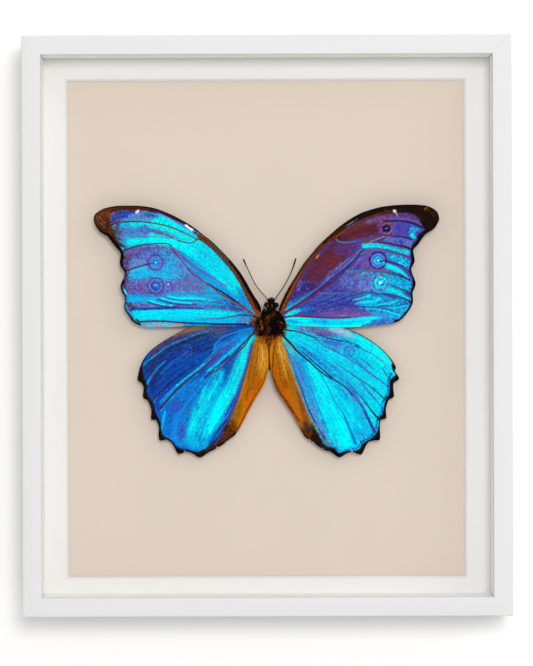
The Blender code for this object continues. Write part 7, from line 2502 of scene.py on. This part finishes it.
    Patch(Tint.PITCH, [(311, 426), (316, 433), (321, 441), (326, 447), (332, 450), (330, 458), (320, 454),
                       (312, 444), (309, 436)], 1.6, 0.8, 0.0),
    Streak(Tint.RUST, [(302, 426), (305, 433), (309, 436), (311, 432)], (1.4, 1.2), 0.65, 1.0),
    Eyespot((307.6, 435.0), [(2.4, 1.4, Tint.RUST, 0.5)]),
    Streak(Tint.RUST, [(309.6, 424), (311, 430), (312.6, 434)], (0.9, 0.8), 0.5),
    Streak(Tint.SOOT, [(298.6, 427), (302, 433), (308.4, 439), (314, 442.8), (322, 448.2), (330.6, 451.6),
                       (338.4, 456)], (1.4, 2.8), 0.95, 1.0),
    Streak(Tint.ROYAL, [(391, 374), (388, 381), (388, 390), (386, 396), (382, 404), (381, 413),
                        (377, 420), (375.6, 430), (370, 437), (362, 442), (357, 448)], (2.2, 2.2), 0.6,
           1.4, 0.8),
    Streak(Tint.BLUE, [(356, 449), (348, 450), (340, 451), (334, 447)], (2.2, 2.2), 0.5, 1.4, 0.8),
    Patch(Tint.SOOT, [(392.6, 363), (391.4, 366), (393, 371), (395.2, 375), (390, 380), (389.4, 388),
                      (388.6, 394), (385.4, 400), (383.6, 407), (382.4, 413), (379.4, 418),
                      (378.4, 425), (376.6, 432), (372.4, 437), (366, 441.4), (361.4, 445),
                      (358.4, 449.4), (352, 451), (345, 451.2), (339, 453), (335.6, 450), (330, 448.4),
                      (328, 460), (350, 470), (384, 452), (410, 390), (402, 362)], 0.8, 1.0, 0.0),
    Streak(Tint.MAROON, [(342, 326), (350, 329), (362, 334.8), (372, 341), (382, 348.8), (389.4, 357),
                         (393.6, 363.6)], (3.2, 2.2), 1.0, 0.8),
    Streak(Tint.UMBER, [(348, 328.6), (362, 335.4), (374, 343), (384, 351.4), (391, 360)], (0.8, 0.9), 0.7),
    Streak(Tint.RUST, [(340, 325.4), (343.6, 327), (347, 328.4)], (1.6, 1.2), 0.8),
    Streak(Tint.CARAMEL, [(300, 327), (320, 327.4), (336, 327)], (1.2, 1.2), 0.6, 1.0),
    *[Eyespot(spot, [(0, 1.7, Tint.BONE, 0.8)]) for spot in (
        (309.4, 440.2), (313.4, 442.8), (322.2, 448.6), (329.6, 452), (351.6, 451))],
    Fan(Tint.ROYAL, [(292, 342), (314, 360), (338, 384), (358, 414)],
        [(302, 345), (326, 363), (352, 386), (374, 410)], 6, (0.6, 0.6), 0.5, 12, 0.2),
    Fan(Tint.VIOLET, [(294, 344), (314, 362), (340, 388), (356, 420)],
        [(304, 344), (330, 364), (356, 388), (378, 404)], 8, (0.7, 0.8), 0.35, 13, 0.5),
    Fan(Tint.VIOLET, [(291, 347), (300, 372), (311, 402), (323, 434)],
        [(294, 345), (305, 372), (318, 402), (334, 440)], 6, (0.8, 0.9), 0.35, 14, 0.6),
    Fan(Tint.CYAN, [(292, 340), (318, 356), (346, 376), (374, 400)],
        [(298, 338), (330, 350), (360, 366), (384, 386)], 10, (0.9, 0.9), 0.7, 15, 0.0),
    Fan(Tint.CYAN, [(304, 356), (313, 380), (325, 408), (339, 440)],
        [(308, 358), (324, 376), (346, 404), (366, 436)], 13, (1.2, 1.4), 0.7, 16, 0.1),
    # Eyespots.
    Eyespot((349.0, 351.5), [(7.4, 1.6, Tint.AQUA, 0.5), (4.8, 1.8, Tint.VIOLET, 0.4),
                             (0, 4.6, Tint.AZURE, 0.6), (0, 1.4, Tint.LILAC, 0.3)]),
    Eyespot((324.0, 399.0), [(6.6, 1.6, Tint.SKY, 0.35), (3.6, 1.4, Tint.SKY, 0.5),
                             (0, 1.6, Tint.BRIGHT, 0.3)]),
    # Veins.
    Vein(Tint.UMBER, [(284, 329.6), (288, 330.3), (295, 331), (303, 333), (310, 336), (316, 338)],
         (1.3, 1.0), Tint.GUNBLUE),
    Vein(Tint.GUNBLUE, [(314, 337), (318, 340.6), (321, 344), (328, 348), (336, 351)], (0.9, 0.7),
         Tint.SLATE, 0.8),
    Vein(Tint.SOOT, [(280, 332), (286, 338.6), (292, 345), (297, 351), (303, 356), (310, 362),
                     (316, 368), (322, 373), (330, 378), (336, 381), (342, 385), (347, 389), (352, 395)],
         (1.9, 1.2), Tint.GUNBLUE),
    # Painted highlight: a pale copper line along the lower side of the dark vein.
    Streak(Tint.COPPER, [(281, 335.6), (287, 342), (292, 348), (297, 354)], (0.9, 0.8), 0.9),
    Vein(Tint.INDIGO, [(303, 352.4), (308, 357), (314, 362.6), (320, 367.6), (326, 372.6), (332, 378)],
         (1.0, 1.4), Tint.NAVY),
    Vein(Tint.AZURE, [(319, 371), (323, 379), (328, 388), (332, 396), (336, 404), (342, 412), (347, 422),
                      (351, 432), (356, 445)], (1.0, 1.6), Tint.BLUE, 0.8),
    Vein(Tint.AZURE, [(299, 358), (303, 368), (308, 380), (312, 391), (317, 404), (322, 417),
                      (328, 432)], (0.9, 1.0), Tint.BLUE, 0.75),
    Vein(Tint.STEEL_BLUE, [(330, 348.5), (340, 354), (350, 360), (360, 366), (370, 373.5),
                           (380, 380.5), (389, 388)], (0.9, 1.1), Tint.ROYAL, 0.85),
    Vein(Tint.STEEL_BLUE, [(335, 363), (345, 370), (355, 377), (365, 383), (372, 388), (378, 393.5),
                           (385, 399.6)], (0.7, 1.4), Tint.UMBER, 0.8),
    Vein(Tint.AZURE, [(345, 380), (350, 385), (355, 391), (360, 396), (366, 404), (372, 412),
                      (379, 420)], (0.8, 1.8), Tint.SOOT),
]


# Hair, from the inner coat to the outer one.

COATS = (
    Coat("dark_hair_coat", Chitin(Tint.SOOT, 0.6, 0.12), [
        HairBand(200, (1.8, 1.6), (3.9, 5.2), 180.0, 70.0, (1.2, 2.6)),
        HairBand(100, (-2.0, 0.6), (2.8, 4.6), 215.0, 40.0, (1.0, 2.2), base_y=-16.4, seed=21),
        HairBand(110, (5.2, 0.6), (2.4, 4.6), 145.0, 40.0, (1.0, 2.2), base_y=-16.4, seed=22),
        HairBand(44, (-1.3, 4.4), (1.3, 2.6), 205.0, 40.0, (1.0, 2.0), seed=31),
        HairBand(40, (5.4, 4.2), (1.2, 2.6), 160.0, 40.0, (1.0, 2.0), seed=32),
        HairBand(44, (1.4, -3.6), (3.0, 1.6), 180.0, 40.0, (0.8, 1.8), seed=23),
        HairBand(30, (4.4, 5.6), (1.0, 0.9), 150.0, 50.0, (0.8, 1.5), seed=33),
        HairBand(24, (-1.2, 6.8), (0.8, 0.9), 215.0, 50.0, (0.8, 1.4), seed=34),
        HairBand(60, (1.9, 7.6), (2.2, 2.2), 180.0, 90.0, (0.8, 1.6), seed=4),
        HairBand(16, (1.1, 10.6), (0.35, 0.6), -6.0, 8.0, (1.0, 1.9), 12, 0.16, seed=8),
        HairBand(16, (2.7, 10.6), (0.35, 0.6), 8.0, 8.0, (1.0, 1.9), 12, 0.16, seed=9),
    ]),
    Coat("brown_hair_coat", Chitin(Tint.BROWN, 0.6, 0.1), [
        HairBand(44, (-3.2, 0.2), (2.2, 4.2), 235.0, 30.0, (1.4, 2.8), seed=5),
        HairBand(36, (6.2, 0.2), (1.8, 3.8), 125.0, 30.0, (1.4, 2.6), seed=6),
        HairBand(56, (0.8, -4.8), (3.8, 1.6), 180.0, 50.0, (1.6, 3.2), seed=12),
        HairBand(46, (0.2, 1.0), (1.9, 3.6), 180.0, 60.0, (0.9, 1.8), lift=1.0, seed=13),
        HairBand(10, (2.4, 5.6), (1.2, 1.6), 180.0, 50.0, (0.8, 1.4), lift=0.9, seed=43),
    ]),
    Coat("warm_hair_coat", Chitin(Tint.AMBER, 0.6, 0.1), [
        HairBand(14, (-3.0, 0.8), (1.4, 3.0), 250.0, 30.0, (0.8, 1.8), 6, lift=0.9, seed=15),
        HairBand(5, (-2.3, 2.3), (0.35, 0.3), 200.0, 30.0, (0.6, 0.9), 6, 0.14, 0.12, 1.6, -17.0, 24),
        HairBand(4, (4.6, 1.6), (0.3, 0.25), 150.0, 30.0, (0.5, 0.8), 6, 0.14, 0.12, 1.6, -17.0, 16),
        HairBand(5, (6.2, 1.7), (0.35, 0.3), 150.0, 30.0, (0.6, 0.9), 6, 0.14, 0.12, 1.6, -17.0, 26),
        HairBand(7, (-1.7, 0.2), (0.9, 1.6), 190.0, 40.0, (0.8, 1.3), 5, 0.14, 0.11, 1.2, -17.0, 41),
        HairBand(40, (0.8, -5.2), (3.8, 1.6), 180.0, 45.0, (1.4, 3.0), 6, lift=0.8, seed=17),
        HairBand(4, (0.4, 8.9), (0.3, 0.3), 180.0, 20.0, (0.5, 0.8), 5, 0.14, lift=1.4, seed=18),
        HairBand(4, (2.2, 8.9), (0.3, 0.3), 180.0, 20.0, (0.5, 0.8), 5, 0.14, lift=1.4, seed=19),
    ]),
)


def sub_assemblies() -> list[Union[Moulding, WindowMat, Pane, Backing, Wing, Body, Antenna, Studio]]:
    """Lay the wings out and list everything.

    Returns:
        The sub-assemblies in the order they are built, with the studio last.
    """
    fore = WingSheet(y=-15.0, tip_lift=0.8)
    hind = WingSheet(y=-14.0, fold_lift=1.9)
    return [
        Moulding(), WindowMat(), Pane(), Backing(),
        # Partly painted sheen: the wings share one blue scale colour. Their cyan, deep blue and violet
        # grounds and marks stand for the sheen each wing shows in this light.
        Wing("left_hindwing", "hindwing_left", LEFT_HINDWING, hind, Tint.DEEP, LEFT_HINDWING_MARKS),
        Wing("right_hindwing", "hindwing_right", RIGHT_HINDWING, hind, Tint.AQUA, RIGHT_HINDWING_MARKS),
        Wing("left_forewing", "forewing_left", LEFT_FOREWING, fore, Tint.SKY, LEFT_FOREWING_MARKS),
        Wing("right_forewing", "forewing_right", RIGHT_FOREWING, fore, Tint.VIOLET, RIGHT_FOREWING_MARKS),
        Body(BODY_RINGS, COATS),
        Antenna("left_antenna", "antenna_left", ANTENNA_LEFT),
        Antenna("right_antenna", "antenna_right", ANTENNA_RIGHT),
        Studio(),
    ]


def main() -> None:
    """Build every sub-assembly and the studio."""
    logging.basicConfig(level=logging.INFO, format="%(message)s")
    for part in sub_assemblies():
        LOG.info("building %s", type(part).__name__)
        part.build()


if __name__ == "__main__":
    main()
